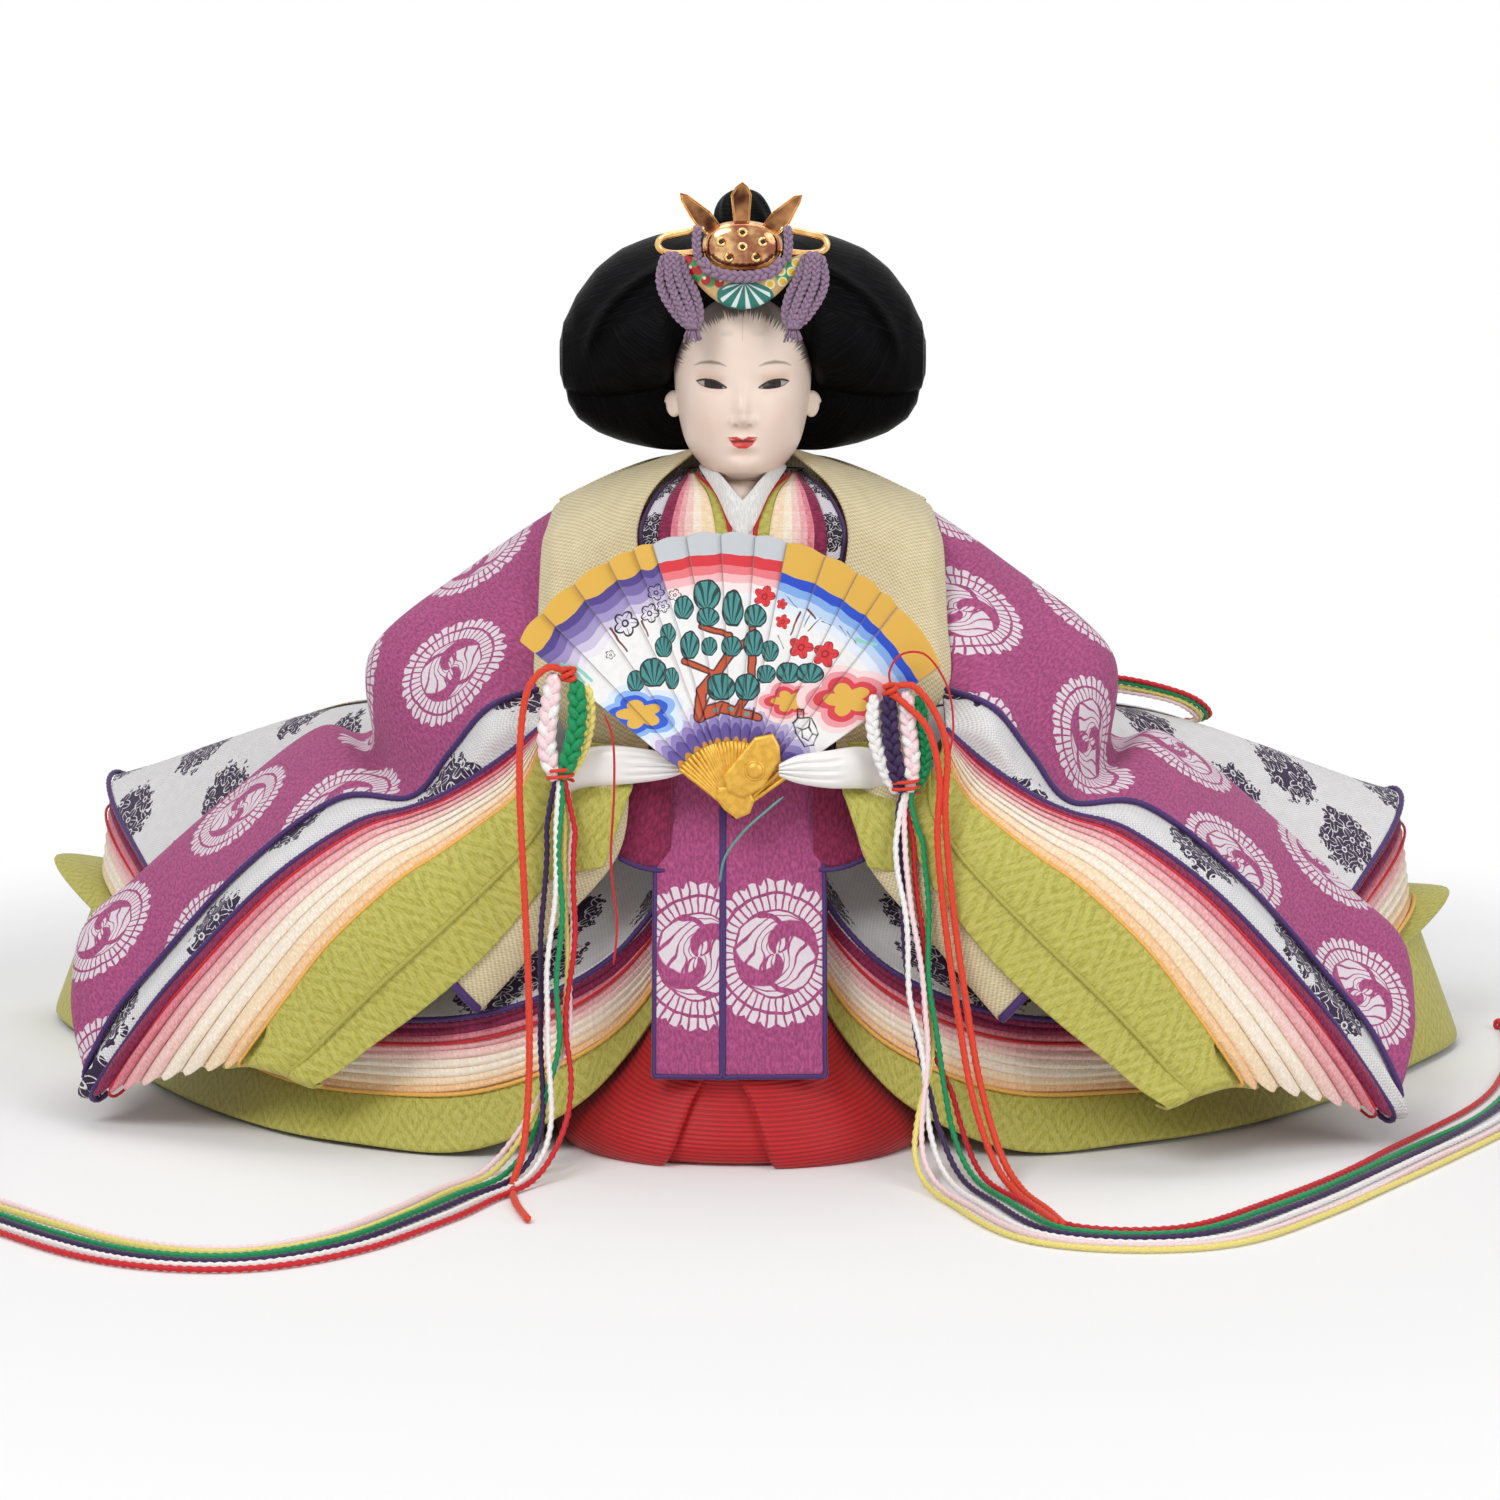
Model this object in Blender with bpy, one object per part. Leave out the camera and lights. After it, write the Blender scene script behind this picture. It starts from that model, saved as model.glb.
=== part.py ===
# Seated hina doll: an empress in layered court robes with a carved fan.
# The doll faces -Y and stands on the ground at z = 0.
import math

import bmesh
import bpy
from mathutils import Matrix, Vector

MM = 0.001
GAP = 0.3 * MM

# Body core, board and neck
CORE_WIDTH = 96 * MM
CORE_FRONT = 74 * MM
CORE_HEIGHT = 150.6 * MM
BOARD_THICK = 8 * MM
NECK_BACK = 45 * MM
PEG_RADIUS = 2.5 * MM
PEG_BOTTOM = 128 * MM
PEG_LENGTH = 46 * MM
PEG_FIT = 0.35 * MM

# Head
HEAD_WIDTH = 34 * MM
HEAD_DEPTH = 43 * MM
HEAD_HEIGHT = 64 * MM
HEAD_BOTTOM = 151 * MM
EYE_SPREAD = 7.8 * MM
EYE_HEIGHT = 181.5 * MM
EYE_RADIUS = 3.6 * MM
EAR_HEIGHT = 176.5 * MM
EAR_LENGTH = 6.4 * MM

# Hair
HAIR_HALF = 45.6 * MM
HAIR_DEPTH = 46 * MM
HAIR_HEIGHT = 55 * MM
HAIR_BOTTOM = 164.3 * MM
HAIR_STEP = 14 * MM
TOPKNOT_RADIUS = 7.4 * MM
TAIL_WIDTH = 24 * MM
TAIL_THICK = 3.4 * MM
TAIL_LENGTH = 66 * MM
FACE_HALF = 16.6 * MM
HAIRLINE = 199 * MM

# Crown
PLATE_HALF = 14.8 * MM
PLATE_HEIGHT = 13.6 * MM
PLATE_THICK = 1.4 * MM
PLATE_BOTTOM = 199.4 * MM
CROWN_FRONT = 70.6 * MM
BOSS_RADIUS = 9.2 * MM
BOSS_HEIGHT = 10 * MM
BOSS_DEPTH = 8 * MM
PRONG_RISE = 15 * MM
PRONG_HALF = 15 * MM
PRONG_THICK = 1 * MM
PIN_HALF = 20.6 * MM
PIN_HEIGHT = 5 * MM
PIN_THICK = 2 * MM
TIE_RADIUS = 2.3 * MM

# Collars and jacket
COLLAR_HALF = 24.5 * MM
COLLAR_THICK = 1.4 * MM
CHEST_FRONT = 76 * MM
COLLAR_TOP = 160 * MM
WAIST_HEIGHT = 95 * MM
JACKET_HALF = 49.6 * MM
JACKET_FRONT = 96 * MM
JACKET_THICK = 1.5 * MM

# Sleeves
SLEEVE_REACH = 170 * MM
SLEEVE_FORWARD = 110 * MM
SLEEVE_RISE = 152 * MM
SLEEVE_PITCH = 1.9 * MM
RIGHT_FORWARD = 20 * MM
RIGHT_INWARD = 4 * MM

# Robe hems and train
HEM_REACH = 198 * MM
HEM_FORWARD = 112 * MM
HEM_RISE = 84 * MM
HEM_PITCH = 4 * MM
HEM_CLEAR = 0.45 * MM
WAIST_RADIUS = 31.5 * MM
WAIST_BACK = 43.5 * MM
RIGHT_CORNER = 34 * MM
TRAIN_THICK = 1.2 * MM

# Front panels, skirt and arms
PANEL_WIDTH_LEFT = 16 * MM
PANEL_WIDTH_RIGHT = 24 * MM
PANEL_THICK = 2.4 * MM
PANEL_FORWARD = 118 * MM
PANEL_RISE = 95 * MM
SKIRT_HALF = 46 * MM
SKIRT_FRONT = 122 * MM
SKIRT_RISE = 80 * MM
WIRE_RADIUS = 1.2 * MM
HAND_LENGTH = 29.5 * MM
HAND_HEIGHT = 9.2 * MM
HAND_LEVEL = 92.8 * MM
WRIST_BACK = 102.6 * MM
WRIST_LEFT = 43 * MM
WRIST_RIGHT = 38 * MM

# Fan
FAN_RADIUS = 57 * MM
FAN_CENTRE_X = -4.5 * MM
FAN_LEVEL = 90.8 * MM
FAN_BACK = 107.5 * MM
FAN_THICK = 1.7 * MM
FAN_STEP = 0.8 * MM
FAN_LEAVES = 15
FAN_START = 27.5
FAN_SPAN = 118
GUARD_THICK = 1.1 * MM
RIVET_RADIUS = 2.2 * MM
BRAID_LENGTH = 24.5 * MM
BRAID_WIDTH = 12 * MM
BRAID_THICK = 6 * MM
CORD_RADIUS = 2.4 * MM

SILK_PURPLE = (0.34, 0.07, 0.22)
BROCADE_WHITE = (0.72, 0.73, 0.77)
MAROON = (0.33, 0.03, 0.12)
PINK = (0.84, 0.44, 0.48)
CREAM = (0.93, 0.85, 0.72)
PEACH = (0.93, 0.66, 0.42)
LIME = (0.38, 0.42, 0.07)
GAUZE = (0.62, 0.53, 0.33)
SCARLET = (0.62, 0.01, 0.02)
PORCELAIN = (0.89, 0.80, 0.75)
HAIR_BLACK = (0.01, 0.01, 0.012)
GILT = (0.75, 0.50, 0.18)
MAUVE = (0.26, 0.17, 0.28)
PALE_WOOD = (0.55, 0.38, 0.22)
STRAW = (0.60, 0.48, 0.28)

# Places along and across a sleeve, as shares of its reach, forward reach and rise.
# Rows run from the green lower edge over the cuff lines and the ridge to the back edge.
# Columns run from the wrist to the outer end.
SLEEVE_SHARES = [
    [(-0.241, -0.985, 0.579), (-0.232, -0.985, 0.533), (-0.256, -0.985, 0.463), (-0.297, -0.991, 0.401),
     (-0.365, -1.000, 0.316), (-0.447, -1.000, 0.237), (-0.518, -0.991, 0.178), (-0.562, -0.982, 0.138),
     (-0.600, -0.973, 0.112)],
    [(-0.278, -0.968, 0.645), (-0.310, -0.962, 0.576), (-0.365, -0.964, 0.526), (-0.418, -0.964, 0.484),
     (-0.485, -0.964, 0.434), (-0.574, -0.955, 0.342), (-0.641, -0.936, 0.247), (-0.682, -0.918, 0.184),
     (-0.712, -0.900, 0.138)],
    [(-0.282, -0.935, 0.671), (-0.337, -0.918, 0.622), (-0.409, -0.891, 0.570), (-0.468, -0.845, 0.539),
     (-0.555, -0.818, 0.509), (-0.681, -0.818, 0.410), (-0.818, -0.791, 0.250), (-0.891, -0.773, 0.143),
     (-0.941, -0.745, 0.062)],
    [(-0.280, -0.841, 0.727), (-0.352, -0.891, 0.703), (-0.412, -0.836, 0.627), (-0.471, -0.800, 0.552),
     (-0.582, -0.727, 0.541), (-0.721, -0.727, 0.426), (-0.855, -0.709, 0.262), (-0.914, -0.718, 0.181),
     (-0.953, -0.727, 0.098)],
    [(-0.274, -0.418, 0.987), (-0.388, -0.409, 0.904), (-0.544, -0.500, 0.761), (-0.549, -0.455, 0.592),
     (-0.641, -0.273, 0.613), (-0.793, -0.318, 0.487), (-0.912, -0.409, 0.367), (-0.985, -0.455, 0.285),
     (-0.988, -0.564, 0.171)],
    [(-0.276, -0.109, 0.888), (-0.376, -0.091, 0.789), (-0.518, -0.109, 0.680), (-0.571, -0.073, 0.600),
     (-0.635, -0.018, 0.560), (-0.776, -0.070, 0.440), (-0.900, -0.140, 0.330), (-0.970, -0.250, 0.245),
     (-0.976, -0.400, 0.150)],
]
SLEEVE_STATION_SHARES = [0, 0.15, 0.3, 0.4, 0.5, 0.65, 0.8, 0.9, 1]
# Name, row where the cuff edge lies, row where the back edge lies, colour
SLEEVE_LAYERS = [
    ("green_sleeve", 0.0, 2.5, LIME),
    ("peach_sleeve", 1.0, 3.0, PEACH),
    ("cream_sleeve", 1.25, 3.0, CREAM),
    ("pink_sleeve", 1.5, 3.0, PINK),
    ("maroon_sleeve", 1.75, 3.5, MAROON),
    ("brocade_sleeve", 2.0, 3.5, BROCADE_WHITE),
    ("purple_sleeve", 3.0, 5.0, SILK_PURPLE),
]
# How many layers lie under the visible surface at each row
SLEEVE_STACK_SHARES = [1, 2, 6, 7, 7, 7]
# Rows shared by the layers, so that their facets lie parallel
SLEEVE_ROW_SHARES = [0, 0.5, 1, 1.25, 1.5, 1.75, 2, 2.5, 3, 3.5, 4, 4.5, 5]
# Layer spacing at the wrist and at the outer end, as shares of the pitch
SLEEVE_SPREAD_SHARES = (0.5, 1.1)
# Direction in which the layers are stacked: at the wrist, the middle and the end of the front rows,
# then at the ridge and at the back
SLEEVE_STACK_FRONT = [Vector((-0.15, -0.93, 0.33)), Vector((-0.42, -0.68, 0.60)), Vector((-0.42, -0.88, 0.20))]
SLEEVE_STACK_RIDGE = Vector((-0.50, -0.20, 0.85))
SLEEVE_STACK_BACK = Vector((-0.60, 0.45, 0.66))

# Hem outline and middle ring, shares of reach, forward reach and rise, left half front to back
HEM_FLOOR_SHARES = [
    (-0.071, -0.850, 0.500), (-0.131, -0.900, 0.280), (-0.207, -0.952, 0.110), (-0.333, -0.982, 0.003),
    (-0.475, -0.900, 0.003), (-0.600, -0.745, 0.003), (-0.740, -0.440, 0.003), (-0.880, 0.000, 0.003),
    (-1.000, 0.509, 0.003), (-0.783, 0.786, 0.003), (-0.515, 0.990, 0.003), (-0.263, 1.092, 0.003),
    (0.000, 1.132, 0.003)]
HEM_EDGE_SHARES = [
    (-0.071, -0.821, 0.560), (-0.126, -0.870, 0.345), (-0.202, -0.915, 0.215), (-0.320, -0.925, 0.120),
    (-0.455, -0.840, 0.095), (-0.575, -0.680, 0.090), (-0.700, -0.390, 0.130), (-0.820, 0.010, 0.240),
    (-0.930, 0.491, 0.390), (-0.740, 0.714, 0.280), (-0.490, 0.930, 0.150), (-0.250, 1.045, 0.080),
    (0.000, 1.085, 0.070)]
HEM_MIDDLE_SHARES = [
    (-0.060, -0.750, 0.760), (-0.090, -0.760, 0.640), (-0.130, -0.760, 0.560), (-0.200, -0.750, 0.520),
    (-0.290, -0.660, 0.500), (-0.370, -0.530, 0.490), (-0.430, -0.350, 0.480), (-0.490, -0.060, 0.520),
    (-0.540, 0.270, 0.900), (-0.430, 0.400, 0.900), (-0.290, 0.460, 0.820), (-0.150, 0.490, 0.740),
    (0.000, 0.500, 0.720)]
HEM_PITCH_SHARES = [1.0, 1.05, 1.0, 0.98, 0.92, 0.88, 0.9, 1.2, 1.6, 1.1, 0.75, 0.65, 0.65]
HEM_LEAN_SHARES = [0, 0, 0, 0, 0, 0.1, 0.35, 0.75, 1, 0.7, 0.3, 0.1, 0]
HEM_MIDDLE_LEAN_SHARE = 0.3
HEM_MIDDLE_PITCH_SHARE = 0.6
HEM_WAIST_PITCH_SHARE = 0.4
HEM_INSET_SHARE = 0.02
HEM_NAMES = [("green_hem", LIME), ("peach_hem", PEACH), ("cream_hem", CREAM), ("pink_hem", PINK),
             ("maroon_hem", MAROON), ("brocade_hem", BROCADE_WHITE)]
HEM_ROW_SHARES = [0, 0.5, 1, 2]
HEM_OPENING = 20
TRAIN_COLUMNS = (10, 23)
TRAIN_START_SHARE = 0.15
TRAIN_LIFT_SHARE = 0.15


def clear_scene():
    for thing in list(bpy.data.objects):
        bpy.data.objects.remove(thing)


def make_material(name, colour, roughness=0.6, metallic=0.0):
    material = bpy.data.materials.new(name)
    material.use_nodes = True
    shader = material.node_tree.nodes["Principled BSDF"]
    shader.inputs["Base Color"].default_value = (*colour, 1)
    shader.inputs["Roughness"].default_value = roughness
    shader.inputs["Metallic"].default_value = metallic
    return material


def add_object(name, bm, material):
    bmesh.ops.recalc_face_normals(bm, faces=bm.faces[:])
    mesh = bpy.data.meshes.new(name)
    bm.to_mesh(mesh)
    bm.free()
    thing = bpy.data.objects.new(name, mesh)
    bpy.context.scene.collection.objects.link(thing)
    if material:
        thing.data.materials.append(material)
    mesh.shade_smooth()
    mesh.set_sharp_from_angle(angle=math.radians(35))
    return thing


def spline(points, place):
    """Point at a place from 0 to the last index on a smooth curve through the points."""
    last = len(points) - 1
    first = min(int(place), last - 1)
    t = place - first
    a = points[max(first - 1, 0)]
    b = points[first]
    c = points[first + 1]
    d = points[min(first + 2, last)]
    return 0.5 * ((2 * b) + (c - a) * t + (2 * a - 5 * b + 4 * c - d) * t ** 2
                  + (3 * b - a - 3 * c + d) * t ** 3)


def between(values, place):
    """Straight blend between numbers or points at a fractional index."""
    first = min(int(place), len(values) - 2)
    return values[first] + (values[first + 1] - values[first]) * (place - first)


def spread(start, end, count):
    return [start + (end - start) * i / (count - 1) for i in range(count)]


def places(shares, reach, forward, rise):
    return [Vector((x * reach, y * forward, z * rise)) for x, y, z in shares]


def loft(rings):
    """Closed solid through rings of equally many points."""
    bm = bmesh.new()
    rows = [[bm.verts.new(point) for point in ring] for ring in rings]
    count = len(rows[0])
    for low, high in zip(rows, rows[1:]):
        for i in range(count):
            j = (i + 1) % count
            bm.faces.new((low[i], low[j], high[j], high[i]))
    bm.faces.new(rows[0][::-1])
    bm.faces.new(rows[-1])
    return bm


def sheet(top, bottom):
    """Closed solid between two grids of points, a top and a bottom surface."""
    bm = bmesh.new()
    upper = [[bm.verts.new(point) for point in row] for row in top]
    lower = [[bm.verts.new(point) for point in row] for row in bottom]
    rows = len(upper)
    columns = len(upper[0])
    for i in range(rows - 1):
        for j in range(columns - 1):
            for grid in (upper, lower):
                bm.faces.new((grid[i][j], grid[i][j + 1], grid[i + 1][j + 1]))
                bm.faces.new((grid[i][j], grid[i + 1][j + 1], grid[i + 1][j]))
    for i in range(rows - 1):
        bm.faces.new((upper[i][0], upper[i + 1][0], lower[i + 1][0], lower[i][0]))
        bm.faces.new((upper[i][-1], lower[i][-1], lower[i + 1][-1], upper[i + 1][-1]))
    for j in range(columns - 1):
        bm.faces.new((upper[0][j], lower[0][j], lower[0][j + 1], upper[0][j + 1]))
        bm.faces.new((upper[-1][j], upper[-1][j + 1], lower[-1][j + 1], lower[-1][j]))
    return bm


def oval(centre, across, up, sides, power=1.0):
    """Ring of points around a centre, from two half axes."""
    ring = []
    for i in range(sides):
        angle = 2 * math.pi * i / sides
        c = math.cos(angle)
        s = math.sin(angle)
        c = math.copysign(abs(c) ** power, c)
        s = math.copysign(abs(s) ** power, s)
        ring.append(centre + across * c + up * s)
    return ring


def tube(name, points, radius, material, sides=8):
    curve = bpy.data.curves.new(name, "CURVE")
    curve.dimensions = "3D"
    curve.bevel_depth = radius
    curve.bevel_resolution = sides // 4
    curve.use_fill_caps = True
    curve.render_resolution_u = 0
    path = curve.splines.new("POLY")
    path.points.add(len(points) - 1)
    for knot, point in zip(path.points, points):
        knot.co = (*point, 1)
    thing = bpy.data.objects.new(name, curve)
    bpy.context.scene.collection.objects.link(thing)
    curve.materials.append(material)
    return thing


def boolean(target, tool, operation):
    tool.hide_render = True
    tool.display_type = "WIRE"
    step = target.modifiers.new(operation.lower(), "BOOLEAN")
    step.operation = operation
    step.object = tool
    step.solver = "EXACT"


def ellipsoid(name, centre, radii, material=None, segments=12, rings=8):
    bm = bmesh.new()
    bmesh.ops.create_uvsphere(bm, u_segments=segments, v_segments=rings, radius=1)
    bmesh.ops.scale(bm, vec=radii, verts=bm.verts)
    bmesh.ops.translate(bm, vec=centre, verts=bm.verts)
    return add_object(name, bm, material)


def cylinder(name, radius, low, high, x, y, material=None, sides=20):
    rings = [oval(Vector((x, y, z)), Vector((radius, 0, 0)), Vector((0, radius, 0)), sides)
             for z in (low, high)]
    return add_object(name, loft(rings), material)


def plate(name, outline, back, front, material):
    """Flat plate that faces -Y, from an outline of (x, z) points."""
    rings = [[Vector((x, y, z)) for x, z in outline] for y in (back, front)]
    return add_object(name, loft(rings), material)


# Height share, half width share and the front and back places as shares of the front
CORE_SHARES = [(0.056, 1.00, -0.90, 0.50), (0.203, 0.92, -0.92, 0.34), (0.396, 0.66, -0.93, 0.02),
               (0.556, 0.54, -0.94, -0.20), (0.631, 0.52, -0.955, -0.20), (0.670, 0.52, -0.992, -0.18),
               (0.797, 0.52, -0.973, -0.19), (0.915, 0.56, -0.952, -0.265), (0.978, 0.60, -0.85, -0.295),
               (1.000, 0.54, -0.80, -0.38)]


def build_core():
    straw = make_material("straw", STRAW, 0.9)
    wood = make_material("board_wood", PALE_WOOD, 0.6)
    rings = []
    for height, half, front, back in CORE_SHARES:
        middle = Vector((0, (front + back) / 2 * CORE_FRONT, height * CORE_HEIGHT))
        depth = (back - front) / 2 * CORE_FRONT
        rings.append(oval(middle, Vector((half * CORE_WIDTH / 2, 0, 0)), Vector((0, depth, 0)), 20, 0.8))
    core = add_object("body_core", loft(rings), straw)
    socket = cylinder("socket_cutter", PEG_RADIUS + PEG_FIT, PEG_BOTTOM - GAP, CORE_HEIGHT + BOARD_THICK,
                      0, -NECK_BACK)
    boolean(core, socket, "DIFFERENCE")
    low = CORE_SHARES[0]
    half = CORE_WIDTH / 2
    top = low[0] * CORE_HEIGHT - GAP
    front = low[2] * CORE_FRONT
    back = low[3] * CORE_FRONT
    outline = [(-half, front), (half, front), (half, back), (-half, back)]
    rings = [[Vector((x, y, z)) for x, y in outline] for z in (0, min(top, BOARD_THICK))]
    add_object("base_board", loft(rings), wood)
    cylinder("neck_peg", PEG_RADIUS, PEG_BOTTOM, PEG_BOTTOM + PEG_LENGTH, 0, -NECK_BACK,
             make_material("peg_wood", PALE_WOOD, 0.6), 16)


# Height share, half width share, front and back places from the neck axis as shares of the depth
HEAD_SHARES = [(0.000, 0.44, -0.18, 0.18), (0.070, 0.44, -0.20, 0.18), (0.110, 0.47, -0.36, 0.20),
               (0.128, 0.36, -0.48, 0.20), (0.165, 0.60, -0.51, 0.22), (0.250, 0.83, -0.525, 0.34),
               (0.370, 0.95, -0.525, 0.44), (0.480, 1.00, -0.515, 0.47), (0.620, 1.01, -0.500, 0.49),
               (0.750, 0.96, -0.465, 0.48), (0.860, 0.82, -0.390, 0.43), (0.950, 0.55, -0.260, 0.32),
               (1.000, 0.20, -0.090, 0.14)]


def head_rings(grow):
    rings = []
    for height, half, front, back in HEAD_SHARES:
        middle = (front + back) / 2 * HEAD_DEPTH - NECK_BACK
        depth = (back - front) / 2 * HEAD_DEPTH + grow
        level = HEAD_BOTTOM + height * HEAD_HEIGHT + grow * (2 * height - 1)
        rings.append(oval(Vector((0, middle, level)), Vector((half * HEAD_WIDTH / 2 + grow, 0, 0)),
                          Vector((0, depth, 0)), 20, 0.92))
    return rings


def eye_centre(side):
    return Vector((side * EYE_SPREAD, -NECK_BACK - 0.472 * HEAD_DEPTH, EYE_HEIGHT))


def build_head():
    skin = make_material("porcelain", PORCELAIN, 0.35)
    head = add_object("head", loft(head_rings(0)), skin)
    for side in (-1, 1):
        ear = ellipsoid("ear_%d" % side, Vector((side * HEAD_WIDTH / 2, -NECK_BACK, EAR_HEIGHT)),
                        (EAR_LENGTH * 0.42, EAR_LENGTH * 0.4, EAR_LENGTH / 2))
        boolean(head, ear, "UNION")
    hole = cylinder("peg_hole_cutter", PEG_RADIUS + PEG_FIT, HEAD_BOTTOM - BOARD_THICK,
                    PEG_BOTTOM + PEG_LENGTH + GAP, 0, -NECK_BACK)
    boolean(head, hole, "DIFFERENCE")
    eye_material = make_material("eye_glass", (0.03, 0.02, 0.015), 0.05)
    for side, name in ((-1, "eye_left"), (1, "eye_right")):
        radii = (EYE_RADIUS, EYE_RADIUS / 2, EYE_RADIUS * 0.36)
        pocket = ellipsoid(name + "_cutter", eye_centre(side), [r + GAP for r in radii])
        boolean(head, pocket, "DIFFERENCE")
        ellipsoid(name, eye_centre(side), radii, eye_material)


# Place along the half width, then low and high levels and front and back places of the wings
WING_SHARES = [(0.00, 0.36, 1.00, -0.452, 0.46), (0.22, 0.34, 1.00, -0.42, 0.46), (0.44, 0.29, 0.985, -0.33, 0.46),
               (0.66, 0.25, 0.92, -0.25, 0.43), (0.80, 0.24, 0.83, -0.20, 0.37), (0.91, 0.25, 0.71, -0.15, 0.28),
               (0.98, 0.29, 0.59, -0.10, 0.18), (1.00, 0.35, 0.51, -0.04, 0.09)]
BACK_WING_SHARES = [(0.00, 0.035, 0.76, 0.06, 0.62), (0.20, 0.010, 0.76, 0.04, 0.62), (0.42, 0.002, 0.74, 0.01, 0.61),
                    (0.64, 0.035, 0.67, -0.01, 0.55), (0.80, 0.085, 0.59, -0.03, 0.47), (0.91, 0.150, 0.50, -0.04, 0.38),
                    (0.96, 0.220, 0.42, -0.02, 0.28), (0.975, 0.280, 0.36, 0.04, 0.20)]


def wing_rings(shares, grow):
    """Rings from the left end of the hair to the right end."""
    rings = []
    signed = [(-x, *rest) for x, *rest in shares[:0:-1]] + [tuple(row) for row in shares]
    for x, low, high, front, back in signed:
        middle = Vector((x * (HAIR_HALF + grow), (front + back) / 2 * HAIR_DEPTH - NECK_BACK,
                         HAIR_BOTTOM + (low + high) / 2 * HAIR_HEIGHT))
        rings.append(oval(middle, Vector((0, (back - front) / 2 * HAIR_DEPTH + grow, 0)),
                          Vector((0, 0, (high - low) / 2 * HAIR_HEIGHT + grow)), 16, 0.85))
    return rings


def build_hair():
    black = make_material("hair_silk", HAIR_BLACK, 0.4)
    front = add_object("hair_front", loft(wing_rings(WING_SHARES, 0)), black)
    back = add_object("hair_back", loft(wing_rings(BACK_WING_SHARES, 0)), black)
    back_room = add_object("back_wing_cutter", loft(wing_rings(BACK_WING_SHARES, GAP)), None)
    head_room = add_object("head_cutter", loft(head_rings(GAP)), None)
    face = [(-FACE_HALF, HAIR_BOTTOM - HAIR_STEP), (FACE_HALF, HAIR_BOTTOM - HAIR_STEP),
            (FACE_HALF, HAIRLINE - HAIR_STEP), (FACE_HALF * 0.55, HAIRLINE - HAIR_STEP * 0.25),
            (0, HAIRLINE), (-FACE_HALF * 0.55, HAIRLINE - HAIR_STEP * 0.25), (-FACE_HALF, HAIRLINE - HAIR_STEP)]
    opening = plate("face_cutter", face, -NECK_BACK - GAP, -NECK_BACK - HAIR_DEPTH, None)
    ears = []
    for side in (-1, 1):
        ears.append(ellipsoid("ear_cutter_%d" % side, Vector((side * HEAD_WIDTH / 2, -NECK_BACK, EAR_HEIGHT)),
                              (EAR_LENGTH * 0.42 + GAP, EAR_LENGTH * 0.4 + GAP, EAR_LENGTH / 2 + GAP)))
    for hair in (front, back):
        boolean(hair, head_room, "DIFFERENCE")
        for ear in ears:
            boolean(hair, ear, "DIFFERENCE")
    boolean(front, opening, "DIFFERENCE")
    boolean(front, back_room, "DIFFERENCE")
    knot_level = HAIR_BOTTOM + HAIR_HEIGHT + TOPKNOT_RADIUS * 0.5
    knot = ellipsoid("topknot", Vector((0, -NECK_BACK, knot_level)),
                     (TOPKNOT_RADIUS, TOPKNOT_RADIUS, TOPKNOT_RADIUS), black)
    wing_room = add_object("wing_cutter", loft(wing_rings(WING_SHARES, GAP)), None)
    boolean(knot, wing_room, "DIFFERENCE")
    build_tail(black)


def build_tail(material):
    """Long back hair, hanging from the back wing in front of nothing but the jacket's back."""
    start = Vector((0, HAIR_DEPTH * 0.62 - NECK_BACK + GAP, HAIR_BOTTOM + HAIR_HEIGHT * 0.38))
    rings = []
    for share in spread(0, 1, 7):
        drift = TAIL_LENGTH * 0.12 * share ** 1.4
        width = TAIL_WIDTH / 2 * (1 - 0.35 * share)
        centre = start + Vector((0, drift + TAIL_THICK / 2, -TAIL_LENGTH * share))
        rings.append(oval(centre, Vector((width, 0, 0)), Vector((0, TAIL_THICK / 2, 0)), 10))
    add_object("long_hair", loft(rings), material)


PRONG_SHARES = [(-0.30, -0.35), (-0.30, 0.0), (-0.62, 0.42), (-1.0, 0.66), (-0.86, 0.86), (-0.42, 0.60), (-0.17, 0.30),
                (-0.24, 0.72), (0.0, 1.0), (0.24, 0.72), (0.17, 0.30), (0.42, 0.60), (0.86, 0.86),
                (1.0, 0.66), (0.62, 0.42), (0.30, 0.0), (0.30, -0.35)]


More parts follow.
